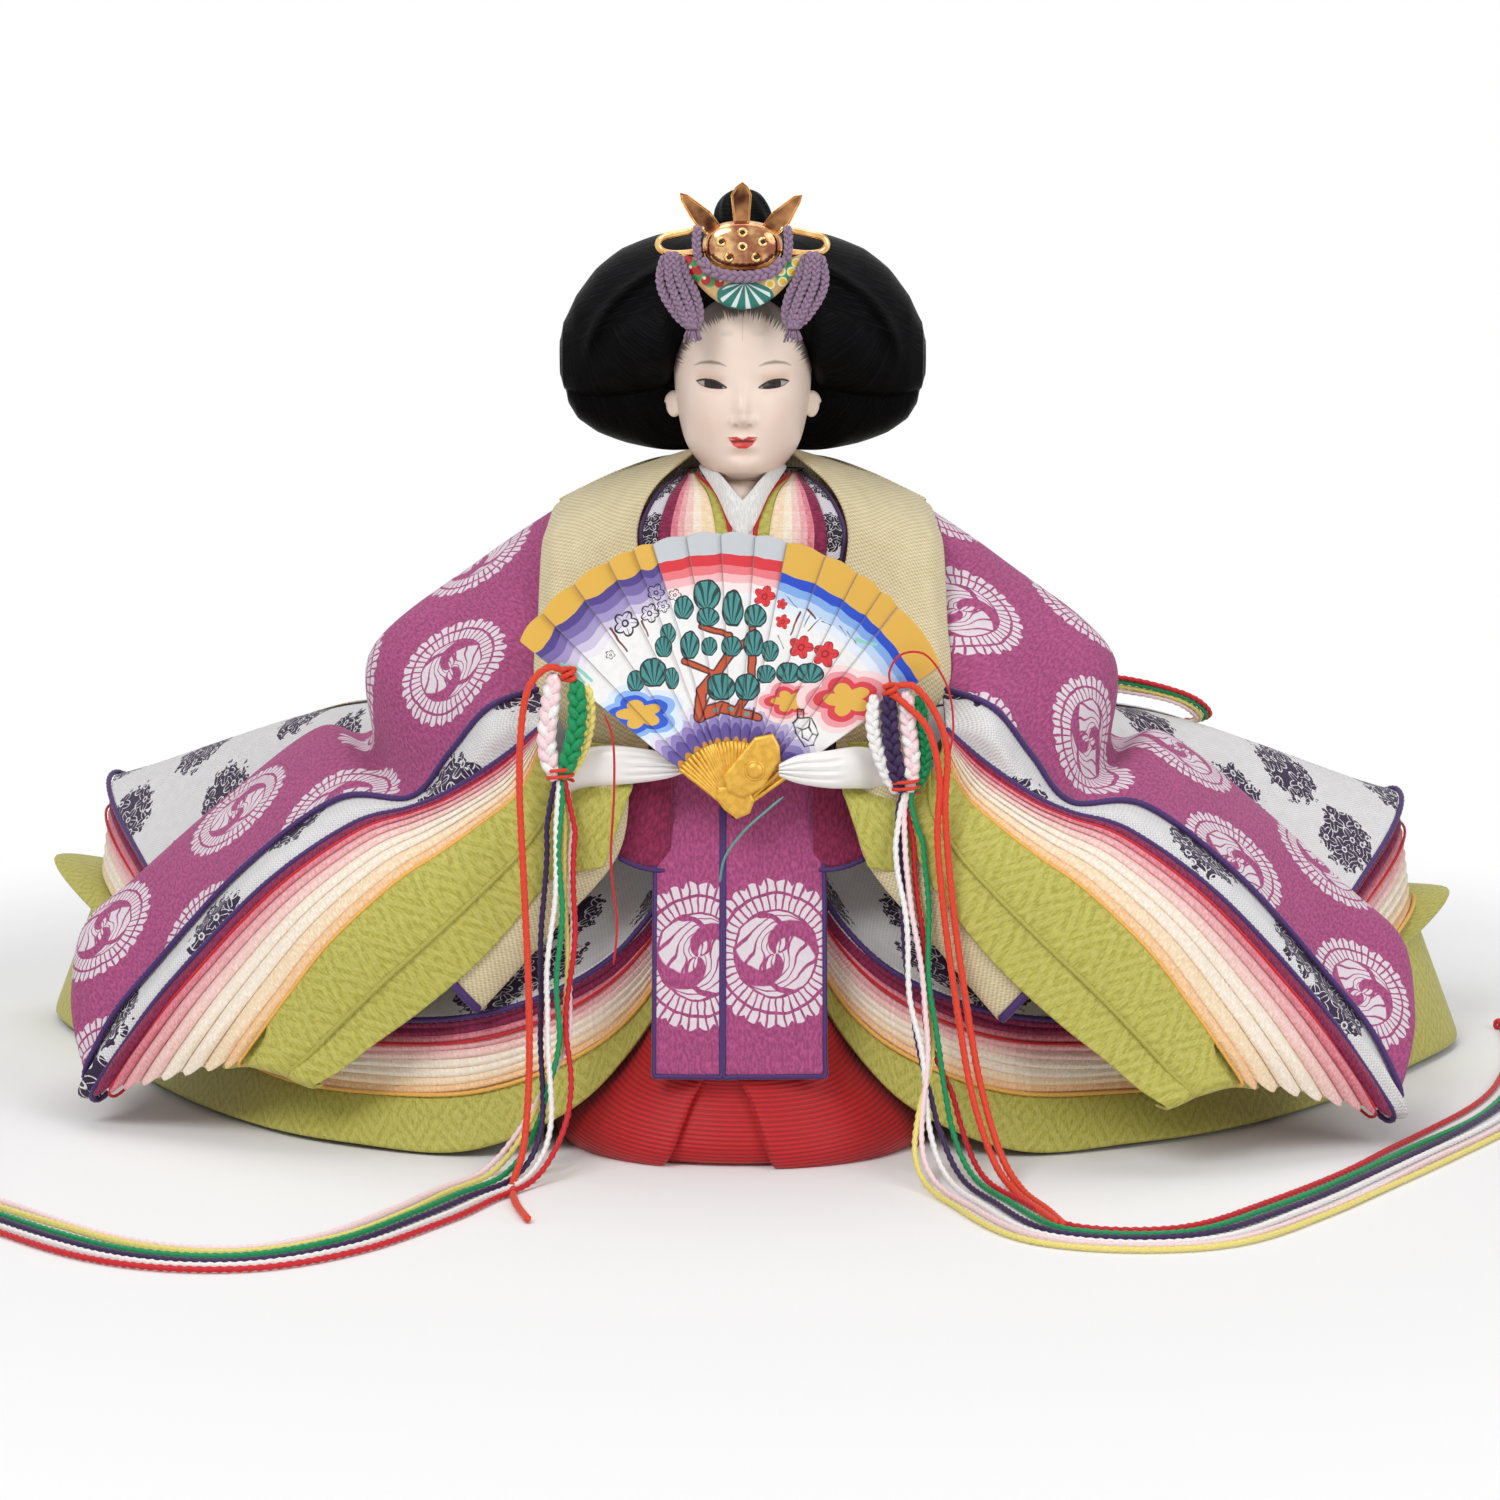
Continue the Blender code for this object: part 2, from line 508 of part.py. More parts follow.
def build_crown():
    gold = make_material("gilt_metal", GILT, 0.25, 1.0)
    mauve = make_material("mauve_braid", MAUVE, 0.8)
    front = -CROWN_FRONT
    crescent = []
    for angle in spread(math.pi, 2 * math.pi, 13):
        crescent.append((PLATE_HALF * math.cos(angle),
                         PLATE_BOTTOM + PLATE_HEIGHT * (1 + math.sin(angle))))
    for angle in spread(2 * math.pi, math.pi, 7):
        crescent.append((PLATE_HALF * 0.62 * math.cos(angle),
                         PLATE_BOTTOM + PLATE_HEIGHT * (1.06 + 0.24 * math.sin(angle))))
    plate_back = front + BOSS_DEPTH / 2
    plate("crown_plate", crescent, plate_back, plate_back - PLATE_THICK, gold)
    boss_level = PLATE_BOTTOM + PLATE_HEIGHT * 0.8 + BOSS_HEIGHT / 2
    rings = []
    for share in spread(0, 1, 5):
        bulge = math.cos(share * math.pi * 0.42)
        depth = plate_back - PLATE_THICK - GAP - share * BOSS_DEPTH / 2
        rings.append(oval(Vector((0, depth, boss_level)), Vector((BOSS_RADIUS * bulge, 0, 0)),
                          Vector((0, 0, BOSS_HEIGHT / 2 * bulge)), 16))
    add_object("crown_boss", loft(rings), gold)
    prong_low = PLATE_BOTTOM + PLATE_HEIGHT * 1.12
    prongs = [(x * PRONG_HALF, prong_low + z * PRONG_RISE) for x, z in PRONG_SHARES]
    prong_back = plate_back + GAP + PRONG_THICK
    plate("crown_prongs", prongs, prong_back, prong_back - PRONG_THICK, gold)
    pin_level = PLATE_BOTTOM + PLATE_HEIGHT * 1.15
    pin = []
    for x, z in ((-1, 0), (-0.9, -0.5), (0.9, -0.5), (1, 0), (0.9, 0.5), (-0.9, 0.5)):
        pin.append((x * PIN_HALF, pin_level + z * PIN_HEIGHT))
    pin_back = prong_back + GAP + PIN_THICK
    plate("hairpin", pin, pin_back, pin_back - PIN_THICK, gold)
    for side, name in ((-1, "crown_cord_left"), (1, "crown_cord_right")):
        depth = front + TIE_RADIUS + GAP - BOSS_DEPTH * 0.3
        route = [Vector((side * (BOSS_RADIUS + TIE_RADIUS + GAP), depth, boss_level)),
                 Vector((side * PLATE_HALF * 1.06, depth - TIE_RADIUS * 0.2, boss_level - BOSS_HEIGHT * 0.35)),
                 Vector((side * PLATE_HALF * 1.12, depth, boss_level - BOSS_HEIGHT * 1.1)),
                 Vector((side * PLATE_HALF * 0.98, depth, boss_level - BOSS_HEIGHT * 2.05))]
        points = [spline(route, place) for place in spread(0, len(route) - 1, 9)]
        tube(name, points, TIE_RADIUS, mauve)


# Collar rows from the waist over the chest and shoulder to the nape: height share of the collar top,
# depth share of the chest front, and the way that the thickness points
COLLAR_ROW_SHARES = [(0.594, 1.000), (0.750, 0.974), (0.869, 0.955), (0.919, 0.934), (0.966, 0.829),
                     (0.988, 0.684), (0.994, 0.560), (0.994, 0.000)]
COLLAR_LEAN = [Vector((0, 1, 0)), Vector((0, 1, 0)), Vector((0, 1, -0.1)), Vector((0, 1, -0.2)),
               Vector((0, 0.7, -0.7)), Vector((0, 0, -1)), Vector((0, 0, -1)), Vector((0, 0, -1))]
# Edges between the collars at each row, as shares of the outer collar's half width
COLLAR_EDGE_SHARES = [(0.00, 0.10, 0.30, 0.56, 0.70, 0.84), (0.00, 0.10, 0.31, 0.62, 0.76, 0.90),
                      (0.00, 0.11, 0.32, 0.66, 0.82, 0.98), (0.00, 0.12, 0.33, 0.67, 0.82, 1.00),
                      (0.16, 0.25, 0.38, 0.60, 0.72, 0.85), (0.39, 0.43, 0.48, 0.54, 0.60, 0.67),
                      (0.40, 0.45, 0.50, 0.55, 0.60, 0.65), (0.34, 0.38, 0.42, 0.46, 0.50, 0.54)]
# Distance of the edges behind the neck axis at the nape, as shares of the same width
NAPE_SHARES = [0.50, 0.57, 0.64, 0.71, 0.78, 0.85]
COLLARS = [("white_collar", BROCADE_WHITE), ("green_collar", LIME), ("pink_collar", PINK),
           ("maroon_collar", MAROON), ("brocade_collar", BROCADE_WHITE)]


def collar_point(row, edge, side):
    """A point on a collar's edge; the last row turns round the nape."""
    height, depth = COLLAR_ROW_SHARES[row]
    out = COLLAR_EDGE_SHARES[row][edge] * COLLAR_HALF
    place = -depth * CHEST_FRONT
    if row == len(COLLAR_ROW_SHARES) - 1:
        place = NAPE_SHARES[edge] * COLLAR_HALF - NECK_BACK
    return Vector((side * out, place, height * COLLAR_TOP))


def build_collars():
    rows = len(COLLAR_ROW_SHARES)
    for number, (name, colour) in enumerate(COLLARS):
        material = make_material(name + "_cloth", colour, 0.75)
        path = [(row, -1) for row in range(rows)] + [(row, 1) for row in range(rows - 1, -1, -1)]
        top = []
        bottom = []
        for row, side in path:
            inner = collar_point(row, number, side)
            outer = collar_point(row, number + 1, side)
            along = (outer - inner).normalized()
            inner = inner + along * GAP
            if number == 0 and row < 4:
                inner = inner - along * GAP + Vector((side * GAP, 0, 0))
            lean = COLLAR_LEAN[row].normalized() * COLLAR_THICK
            top.append([inner, outer])
            bottom.append([inner + lean, outer + lean])
        add_object(name, sheet(top, bottom), material)


# Jacket front: shares of the half width, forward reach and collar top at the inner and outer edges
JACKET_ROW_SHARES = [((0.340, -0.500, 1.000), (0.960, -0.490, 0.975)), ((0.424, -0.650, 0.965), (0.980, -0.640, 0.945)),
                     ((0.511, -0.745, 0.919), (0.995, -0.755, 0.895)), ((0.482, -0.800, 0.838), (1.000, -0.875, 0.792)),
                     ((0.443, -0.900, 0.736), (1.000, -0.990, 0.705)), ((0.443, -1.010, 0.628), (0.850, -1.010, 0.632))]
JACKET_BACK_SHARES = [((0.00, -0.225, 0.990), (0.35, -0.240, 0.990), (0.62, -0.330, 0.985), (0.92, -0.450, 0.980)),
                      ((0.00, -0.195, 0.925), (0.35, -0.200, 0.925), (0.62, -0.235, 0.915), (0.90, -0.280, 0.905)),
                      ((0.00, -0.120, 0.756), (0.35, -0.125, 0.756), (0.62, -0.150, 0.751), (0.93, -0.200, 0.741)),
                      ((0.00, -0.075, 0.639), (0.35, -0.080, 0.639), (0.62, -0.100, 0.639), (0.87, -0.150, 0.639))]


def jacket_place(share, side):
    x, y, z = share
    return Vector((side * x * JACKET_HALF, y * JACKET_FRONT, z * COLLAR_TOP))


def build_jacket():
    gauze = make_material("jacket_gauze", GAUZE, 0.7)
    for side, name in ((-1, "jacket_left"), (1, "jacket_right")):
        top = []
        bottom = []
        for inner_share, outer_share in JACKET_ROW_SHARES:
            inner = jacket_place(inner_share, side)
            outer = jacket_place(outer_share, side)
            row = [inner.lerp(outer, place) for place in spread(0, 1, 3)]
            top.append(row)
            bottom.append([point + Vector((0, JACKET_THICK * 0.8, -JACKET_THICK * 0.6)) for point in row])
        add_object(name, sheet(top, bottom), gauze)
    top = []
    bottom = []
    for row_shares in JACKET_BACK_SHARES:
        left = [jacket_place(share, -1) for share in row_shares[:0:-1]]
        right = [jacket_place(share, 1) for share in row_shares]
        top.append(left + right)
        bottom.append([point + Vector((0, -JACKET_THICK * 0.9, -JACKET_THICK * 0.3)) for point in left + right])
    add_object("jacket_back", sheet(top, bottom), gauze)


def sleeve_grid(side, number, columns):
    """Rows of points at the bottom and the top of one sleeve layer."""
    rails = [places(shares, SLEEVE_REACH, SLEEVE_FORWARD, SLEEVE_RISE) for shares in SLEEVE_SHARES]
    bottom = []
    top = []
    for row in SLEEVE_ROW_SHARES:
        lower = []
        upper = []
        for column in columns:
            along = [spline(rail, column) for rail in rails]
            share = between(SLEEVE_STATION_SHARES, column)
            front = between(SLEEVE_STACK_FRONT, 2 * share)
            stack = between([front, SLEEVE_STACK_RIDGE, SLEEVE_STACK_BACK], max(0, row - 3)).normalized()
            low, high = SLEEVE_SPREAD_SHARES
            pitch = SLEEVE_PITCH * (low + (high - low) * share)
            point = spline(along, row) + stack * (pitch * (number - between(SLEEVE_STACK_SHARES, row)))
            ends = []
            for lift in (0, pitch - GAP):
                end = point + stack * lift
                if side > 0:
                    end.y -= RIGHT_FORWARD * share
                    end.x = -(end.x + RIGHT_INWARD * share)
                ends.append(end)
            lower.append(ends[0])
            upper.append(ends[1])
        bottom.append(lower)
        top.append(upper)
    return top, bottom


def cut_rows(grid, steps, start, end):
    """Rows of a grid from one row value to another, on the grid's own straight facets."""
    rows = []
    for value in [start] + [step for step in steps if start < step < end] + [end]:
        index = sum(1 for step in steps if step <= value) - 1
        index = min(index, len(steps) - 2)
        share = (value - steps[index]) / (steps[index + 1] - steps[index])
        rows.append([a.lerp(b, share) for a, b in zip(grid[index], grid[index + 1])])
    return rows


def build_sleeves():
    columns = spread(0, len(SLEEVE_STATION_SHARES) - 1, 15)
    for side, word in ((-1, "left"), (1, "right")):
        for number, (name, cuff, back, colour) in enumerate(SLEEVE_LAYERS):
            material = make_material("%s_%s_cloth" % (name, word), colour, 0.75)
            top, bottom = sleeve_grid(side, number, columns)
            top = cut_rows(top, SLEEVE_ROW_SHARES, cuff, back)
            bottom = cut_rows(bottom, SLEEVE_ROW_SHARES, cuff, back)
            add_object("%s_%s" % (name, word), sheet(top, bottom), material)


def hem_stations(shares, lean_share=1):
    """Places round the whole hem, left front to right front, from the left half's shares."""
    left = places(shares, HEM_REACH, HEM_FORWARD, HEM_RISE)
    right = []
    for point, share in list(zip(left, HEM_LEAN_SHARES))[-2::-1]:
        right.append(Vector((-point.x, point.y - share * lean_share * RIGHT_CORNER, point.z)))
    return left + right


def waist_stations():
    count = 2 * len(HEM_EDGE_SHARES) - 1
    ring = []
    for angle in spread(HEM_OPENING, 360 - HEM_OPENING, count):
        turn = math.radians(angle)
        ring.append(Vector((-WAIST_RADIUS * math.sin(turn), -WAIST_BACK - WAIST_RADIUS * math.cos(turn), HEM_RISE)))
    return ring


def hem_grid(columns, layer, thick=None):
    """Rows of points at the top and the bottom of a hem layer, from the edge to the waist."""
    middle = hem_stations(HEM_MIDDLE_SHARES, HEM_MIDDLE_LEAN_SHARE)
    rings = [hem_stations(HEM_EDGE_SHARES), middle, waist_stations()]
    pitches = HEM_PITCH_SHARES + HEM_PITCH_SHARES[-2::-1]
    top = []
    bottom = []
    for ring in HEM_ROW_SHARES:
        lower = []
        upper = []
        for column in columns:
            steps = [between(pitches, column), HEM_MIDDLE_PITCH_SHARE, HEM_WAIST_PITCH_SHARE]
            pitch = HEM_PITCH * between(steps, ring)
            point = spline([spline(stations, column) for stations in rings], ring)
            lower.append(point + Vector((0, 0, pitch * layer)))
            upper.append(lower[-1] + Vector((0, 0, thick or pitch - HEM_CLEAR)))
        top.append(upper)
        bottom.append(lower)
    return top, bottom


def build_hems():
    floor = hem_stations(HEM_FLOOR_SHARES)
    columns = spread(0, len(floor) - 1, 33)
    for layer, (name, colour) in enumerate(HEM_NAMES):
        top, bottom = hem_grid(columns, layer)
        start = HEM_INSET_SHARE * layer
        top = cut_rows(top, HEM_ROW_SHARES, start, 2)
        bottom = cut_rows(bottom, HEM_ROW_SHARES, start, 2)
        if layer == 0:
            edge = [spline(floor, column) for column in columns]
            top.insert(0, [point + Vector((0, 0, HEM_PITCH * 0.4)) for point in edge])
            bottom.insert(0, edge)
        add_object(name, sheet(top, bottom), make_material(name + "_cloth", colour, 0.75))
    first, last = TRAIN_COLUMNS
    top, bottom = hem_grid(columns[first:last], len(HEM_NAMES) + TRAIN_LIFT_SHARE, TRAIN_THICK)
    top = cut_rows(top, HEM_ROW_SHARES, TRAIN_START_SHARE, 2)
    bottom = cut_rows(bottom, HEM_ROW_SHARES, TRAIN_START_SHARE, 2)
    add_object("train", sheet(top, bottom), make_material("train_gauze", BROCADE_WHITE, 0.6))


# Rise and forward places of a front panel, from its top to its lower edge
PANEL_SHARES = [(1.0, 0.780), (0.74, 0.856), (0.47, 0.932), (0.23, 0.988)]
# Height, half width, front and back of the skirt as shares of its rise, half width and front
SKIRT_SHARES = [(0.000, 0.97, -0.990, -0.600), (0.045, 1.00, -1.000, -0.600), (0.110, 0.87, -0.982, -0.610),
                (0.175, 0.68, -0.958, -0.620), (0.250, 0.48, -0.940, -0.630), (0.330, 0.38, -0.915, -0.630),
                (0.560, 0.29, -0.862, -0.630), (1.000, 0.19, -0.765, -0.632)]


def build_front():
    silk = make_material("panel_silk", SILK_PURPLE, 0.75)
    for side, name, width in ((-1, "front_panel_left", PANEL_WIDTH_LEFT), (1, "front_panel_right", PANEL_WIDTH_RIGHT)):
        near = -PANEL_WIDTH_LEFT * 0.29
        if side < 0:
            edges = (near - width, near - GAP / 2)
        else:
            edges = (near + GAP / 2, near + width)
        top = []
        bottom = []
        for rise, forward in PANEL_SHARES:
            row = [Vector((x, -forward * PANEL_FORWARD, rise * PANEL_RISE)) for x in spread(*edges, 3)]
            top.append(row)
            bottom.append([point + Vector((0, PANEL_THICK, 0)) for point in row])
        add_object(name, sheet(top, bottom), silk)
    rings = []
    for rise, half, front, back in SKIRT_SHARES:
        middle = (front + back) / 2 * SKIRT_FRONT
        depth = (back - front) / 2 * SKIRT_FRONT
        rings.append(oval(Vector((0, middle, rise * SKIRT_RISE)), Vector((half * SKIRT_HALF, 0, 0)),
                          Vector((0, depth, 0)), 24, 0.6))
    add_object("hakama", loft(rings), make_material("hakama_silk", SCARLET, 0.6))


# Rolled jacket sleeve ends: the edge under the green sleeve, the lower edge and the places along the sleeve
ROLL_UPPER_SHARES = [(-0.220, -0.932, 0.573), (-0.240, -0.948, 0.520), (-0.310, -0.972, 0.420), (-0.430, -0.970, 0.310)]
ROLL_LOWER_SHARES = [(-0.168, -0.930, 0.545), (-0.180, -0.945, 0.480), (-0.285, -0.965, 0.375), (-0.390, -0.972, 0.262)]
ROLL_STATION_SHARES = [0.05, 0.18, 0.37, 0.52]


def build_rolls():
    gauze = make_material("roll_gauze", GAUZE, 0.7)
    for side, name in ((-1, "jacket_roll_left"), (1, "jacket_roll_right")):
        top = []
        bottom = []
        for shares in (ROLL_UPPER_SHARES, ROLL_LOWER_SHARES):
            rail = places(shares, SLEEVE_REACH, SLEEVE_FORWARD, SLEEVE_RISE)
            if side > 0:
                rail = [Vector((-point.x - RIGHT_INWARD * share, point.y - RIGHT_FORWARD * share, point.z))
                        for point, share in zip(rail, ROLL_STATION_SHARES)]
            row = [spline(rail, place) for place in spread(0, len(rail) - 1, 7)]
            top.append(row)
            bottom.append([point + Vector((0, JACKET_THICK * 1.6, 0)) for point in row])
        add_object(name, sheet(top, bottom), gauze)


# Hand sections: place along the hand, forward swing, level, half depth and half height
HAND_LEFT_SHARES = [(0.00, 0.000, 0.00, 0.36, 0.34), (0.17, 0.007, 0.00, 0.34, 0.40), (0.37, 0.030, 0.04, 0.28, 0.50),
                    (0.61, 0.068, 0.06, 0.22, 0.50), (0.85, 0.102, 0.10, 0.17, 0.38), (1.00, 0.122, 0.13, 0.10, 0.20)]
HAND_RIGHT_SHARES = [(0.00, 0.000, 0.00, 0.36, 0.34), (0.17, 0.020, 0.00, 0.34, 0.40), (0.37, 0.150, 0.04, 0.28, 0.48),
                     (0.61, 0.300, 0.06, 0.22, 0.48), (0.85, 0.340, 0.10, 0.17, 0.38), (1.00, 0.345, 0.13, 0.12, 0.20)]
# Arm wire route between the core and the wrist, shares of half the core, the wrist's forward reach
# and the shoulder rise
WIRE_SHARES = [(0.615, 0.42, 0.945), (0.92, 0.52, 0.850), (1.12, 0.66, 0.740), (1.03, 0.86, 0.645)]


def build_arms():
    skin = make_material("hand_porcelain", PORCELAIN, 0.35)
    steel = make_material("wire_steel", (0.35, 0.33, 0.30), 0.5, 0.9)
    for side, word, wrist, shares in ((-1, "left", WRIST_LEFT, HAND_LEFT_SHARES),
                                      (1, "right", WRIST_RIGHT, HAND_RIGHT_SHARES)):
        rings = []
        for along, swing, level, depth, height in shares:
            centre = Vector((side * (wrist - along * HAND_LENGTH), -WRIST_BACK - swing * HAND_LENGTH,
                             HAND_LEVEL + level * HAND_HEIGHT))
            rings.append(oval(centre, Vector((0, depth * HAND_HEIGHT, 0)), Vector((0, 0, height * HAND_HEIGHT)), 12))
        add_object("hand_" + word, loft(rings), skin)
        route = [Vector((side * x * CORE_WIDTH / 2, -y * WRIST_BACK, z * SLEEVE_RISE)) for x, y, z in WIRE_SHARES]
        route.append(Vector((side * (wrist + WIRE_RADIUS + GAP), -WRIST_BACK, HAND_LEVEL)))
        points = [spline(route, place) for place in spread(0, len(route) - 1, 13)]
        tube("arm_wire_" + word, points, WIRE_RADIUS, steel)


def build_fan():
    painted = make_material("fan_paint", (0.85, 0.80, 0.72), 0.45)
    top = []
    bottom = []
    centre = Vector((FAN_CENTRE_X, -FAN_BACK, FAN_LEVEL))
    angles = []
    steps = []
    for leaf in range(FAN_LEAVES):
        for edge in (0.03, 0.97):
            angles.append(FAN_START + FAN_SPAN * (leaf + edge) / FAN_LEAVES)
            steps.append(edge)
    for angle, step in zip(angles, steps):
        way = Vector((math.cos(math.radians(angle)), 0, math.sin(math.radians(angle))))
        front = -FAN_THICK - FAN_STEP * step
        radii = (FAN_RADIUS * 0.12, FAN_RADIUS * 0.5, FAN_RADIUS)
        lifts = (-FAN_THICK, front, front)
        top.append([centre + way * radius + Vector((0, lift, 0)) for radius, lift in zip(radii, lifts)])
        bottom.append([centre + way * radius for radius in radii])
    fan = add_object("fan", sheet(top, bottom), painted)
    handle = [(-0.26, 0.08), (-0.20, 0.15), (0.10, 0.22), (0.24, 0.26), (0.45, 0.42), (0.74, 0.42), (0.44, 0.17),
              (0.22, 0.0), (0.13, -0.08), (0.06, -0.17), (-0.02, -0.10)]
    outline = [(FAN_CENTRE_X + x * FAN_RADIUS, FAN_LEVEL + z * FAN_RADIUS) for x, z in handle]
    guard = plate("guard_tool", outline, -FAN_BACK - FAN_THICK / 4, -FAN_BACK - FAN_THICK - GUARD_THICK, None)
    rivet_centre = (FAN_CENTRE_X + FAN_RADIUS * 0.13, FAN_LEVEL + FAN_RADIUS * 0.04)
    rivet = [(rivet_centre[0] + RIVET_RADIUS * math.cos(angle), rivet_centre[1] + RIVET_RADIUS * math.sin(angle))
             for angle in spread(0, 2 * math.pi, 13)[:-1]]
    head = plate("rivet_tool", rivet, -FAN_BACK - FAN_THICK, -FAN_BACK - FAN_THICK - GUARD_THICK * 1.5, None)
    boolean(fan, guard, "UNION")
    boolean(fan, head, "UNION")


# Places where the plaits hang from the fan's ends
# Cord below, plait, its angle past the fan's end, shares of the fan's radius out and forward, drop of the cord
BRAIDS = [("cord_left", "fan_braid_left", FAN_START + FAN_SPAN + 3.35, 0.777, 0, 0.130),
          ("cord_right", "fan_braid_right", FAN_START - 3.2, 0.790, 0.021, 0.0735)]
BRAID_RING_SHARES = [(0.00, 0.30), (0.12, 0.85), (0.45, 1.00), (0.80, 0.90), (0.93, 0.55), (1.00, 0.45)]
# Free cords, in metres, from the plait's tie down to the ground and round the doll
CORD_LEFT = [(-0.0424, -0.1105, 0.0860), (-0.0434, -0.1120, 0.0700), (-0.0435, -0.1150, 0.0500),
             (-0.0440, -0.1185, 0.0300), (-0.0470, -0.1235, 0.0130), (-0.0530, -0.1310, 0.0040),
             (-0.0620, -0.1440, 0.0026), (-0.0710, -0.1610, 0.0026), (-0.0860, -0.1830, 0.0026),
             (-0.1070, -0.1945, 0.0026), (-0.1330, -0.1880, 0.0026), (-0.1640, -0.1620, 0.0026),
             (-0.1950, -0.1280, 0.0026), (-0.2160, -0.0760, 0.0026), (-0.2220, -0.0200, 0.0026)]
CORD_RIGHT = [(0.0365, -0.1117, 0.0830), (0.0375, -0.1143, 0.0700), (0.0395, -0.1175, 0.0500),
              (0.0420, -0.1210, 0.0300), (0.0445, -0.1260, 0.0140), (0.0480, -0.1340, 0.0050),
              (0.0540, -0.1480, 0.0026), (0.0680, -0.1760, 0.0026), (0.0980, -0.1790, 0.0026),
              (0.1240, -0.1560, 0.0026), (0.1560, -0.1150, 0.0026), (0.1870, -0.0720, 0.0026),
              (0.2090, -0.0250, 0.0026), (0.2200, 0.0300, 0.0026)]
CORD_BACK = [(0.0600, 0.0600, 0.0785), (0.0800, 0.0500, 0.0860), (0.1050, 0.0440, 0.0865), (0.1220, 0.0400, 0.0855),
             (0.1280, 0.0340, 0.0880), (0.1200, 0.0280, 0.0940), (0.1000, 0.0270, 0.0982), (0.0800, 0.0300, 0.0970)]
CORDS = [("cord_left", CORD_LEFT), ("cord_right", CORD_RIGHT), ("cord_back", CORD_BACK)]
CORD_STEPS = 3
CORD_LEAD = 1.3 * MM


def build_fan_cords():
    silk = make_material("cord_silk", (0.80, 0.10, 0.10), 0.7)
    ties = {}
    for cord, name, angle, reach, forward, cord_drop in BRAIDS:
        turn = math.radians(angle)
        start = Vector((FAN_CENTRE_X + reach * FAN_RADIUS * math.cos(turn),
                        -FAN_BACK - FAN_THICK - forward * FAN_RADIUS,
                        FAN_LEVEL + reach * FAN_RADIUS * math.sin(turn)))
        ties[cord] = start - Vector((0, CORD_LEAD, BRAID_LENGTH * (1 + cord_drop)))
        rings = []
        for drop, width in BRAID_RING_SHARES:
            centre = start - Vector((0, 0, drop * BRAID_LENGTH))
            rings.append(oval(centre, Vector((width * BRAID_WIDTH / 2, 0, 0)),
                              Vector((0, width * BRAID_THICK / 2, 0)), 10))
        add_object(name, loft(rings), silk)
    for name, route in CORDS:
        knots = [Vector(point) for point in route]
        if name in ties:
            shift = ties[name] - knots[0]
            ground = knots[-1].z
            height = knots[0].z - ground
            knots = [knot + shift * ((knot.z - ground) / height) for knot in knots]
        points = [spline(knots, place) for place in spread(0, len(knots) - 1, CORD_STEPS * (len(knots) - 1) + 1)]
        for point in points:
            point.z = max(point.z, CORD_RADIUS + GAP)
        tube(name, points, CORD_RADIUS, silk)


# Moving pieces and the x and y of the joint that each turns on
MOVING = {
    (0, -NECK_BACK): ("neck_peg", "head", "eye_left", "eye_right", "hair_front", "hair_back", "topknot", "long_hair",
                      "crown_plate", "crown_boss", "crown_prongs", "hairpin", "crown_cord_left", "crown_cord_right"),
    (-WRIST_LEFT, -WRIST_BACK): ("hand_left",),
    (WRIST_RIGHT, -WRIST_BACK): ("hand_right",),
    (FAN_CENTRE_X, -FAN_BACK): ("fan", "fan_braid_left", "fan_braid_right", "cord_left", "cord_right"),
}


def set_origins():
    """Put the origin of each moving piece on the axis of its joint."""
    for (x, y), names in MOVING.items():
        for name in names:
            thing = bpy.data.objects[name]
            thing.data.transform(Matrix.Translation((-x, -y, 0)))
            thing.location = (x, y, 0)


def main():
    clear_scene()
    build_core()
    build_head()
    build_hair()
    build_crown()
    build_collars()
    build_jacket()
    build_sleeves()
    build_hems()
    build_front()
    build_rolls()
    build_arms()
    build_fan()
    build_fan_cords()
    set_origins()


main()
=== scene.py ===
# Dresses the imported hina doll: robes, face, hair, crown, painted fan and silk cords.
import math

import bmesh
import bpy
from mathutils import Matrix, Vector, noise
from mathutils.bvhtree import BVHTree


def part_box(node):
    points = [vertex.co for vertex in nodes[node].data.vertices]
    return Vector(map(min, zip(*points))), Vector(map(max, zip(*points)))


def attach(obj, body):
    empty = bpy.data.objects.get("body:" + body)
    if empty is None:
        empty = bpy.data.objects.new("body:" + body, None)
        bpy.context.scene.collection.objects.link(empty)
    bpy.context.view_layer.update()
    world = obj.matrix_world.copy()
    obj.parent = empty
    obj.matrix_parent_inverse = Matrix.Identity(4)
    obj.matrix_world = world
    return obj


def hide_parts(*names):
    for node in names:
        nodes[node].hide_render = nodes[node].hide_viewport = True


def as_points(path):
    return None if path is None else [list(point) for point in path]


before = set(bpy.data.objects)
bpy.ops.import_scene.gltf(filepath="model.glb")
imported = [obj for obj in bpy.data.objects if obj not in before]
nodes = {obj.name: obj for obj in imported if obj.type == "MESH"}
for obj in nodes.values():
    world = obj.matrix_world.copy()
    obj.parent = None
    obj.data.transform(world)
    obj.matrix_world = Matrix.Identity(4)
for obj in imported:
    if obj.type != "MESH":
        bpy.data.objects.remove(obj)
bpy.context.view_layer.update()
scene = bpy.context.scene
scene.view_settings.view_transform = "Standard"
print("frame loaded")

mm = 0.001
up = Vector((0, 0, 1))

cameraLook = {"place": Vector((0.0018, -0.849, 0.195)), "tilt": 7.5, "lens": 76.8, "width": 1500}


def makeCamera():
    data = bpy.data.cameras.new("photoCamera")
    data.lens = cameraLook["lens"]
    data.sensor_width = 36
    data.clip_start = 0.05
    data.clip_end = 20
    camera = bpy.data.objects.new("photoCamera", data)
    camera.location = cameraLook["place"]
    camera.rotation_euler = (math.radians(90 - cameraLook["tilt"]), 0, 0)
    scene.collection.objects.link(camera)
    scene.camera = camera


makeCamera()


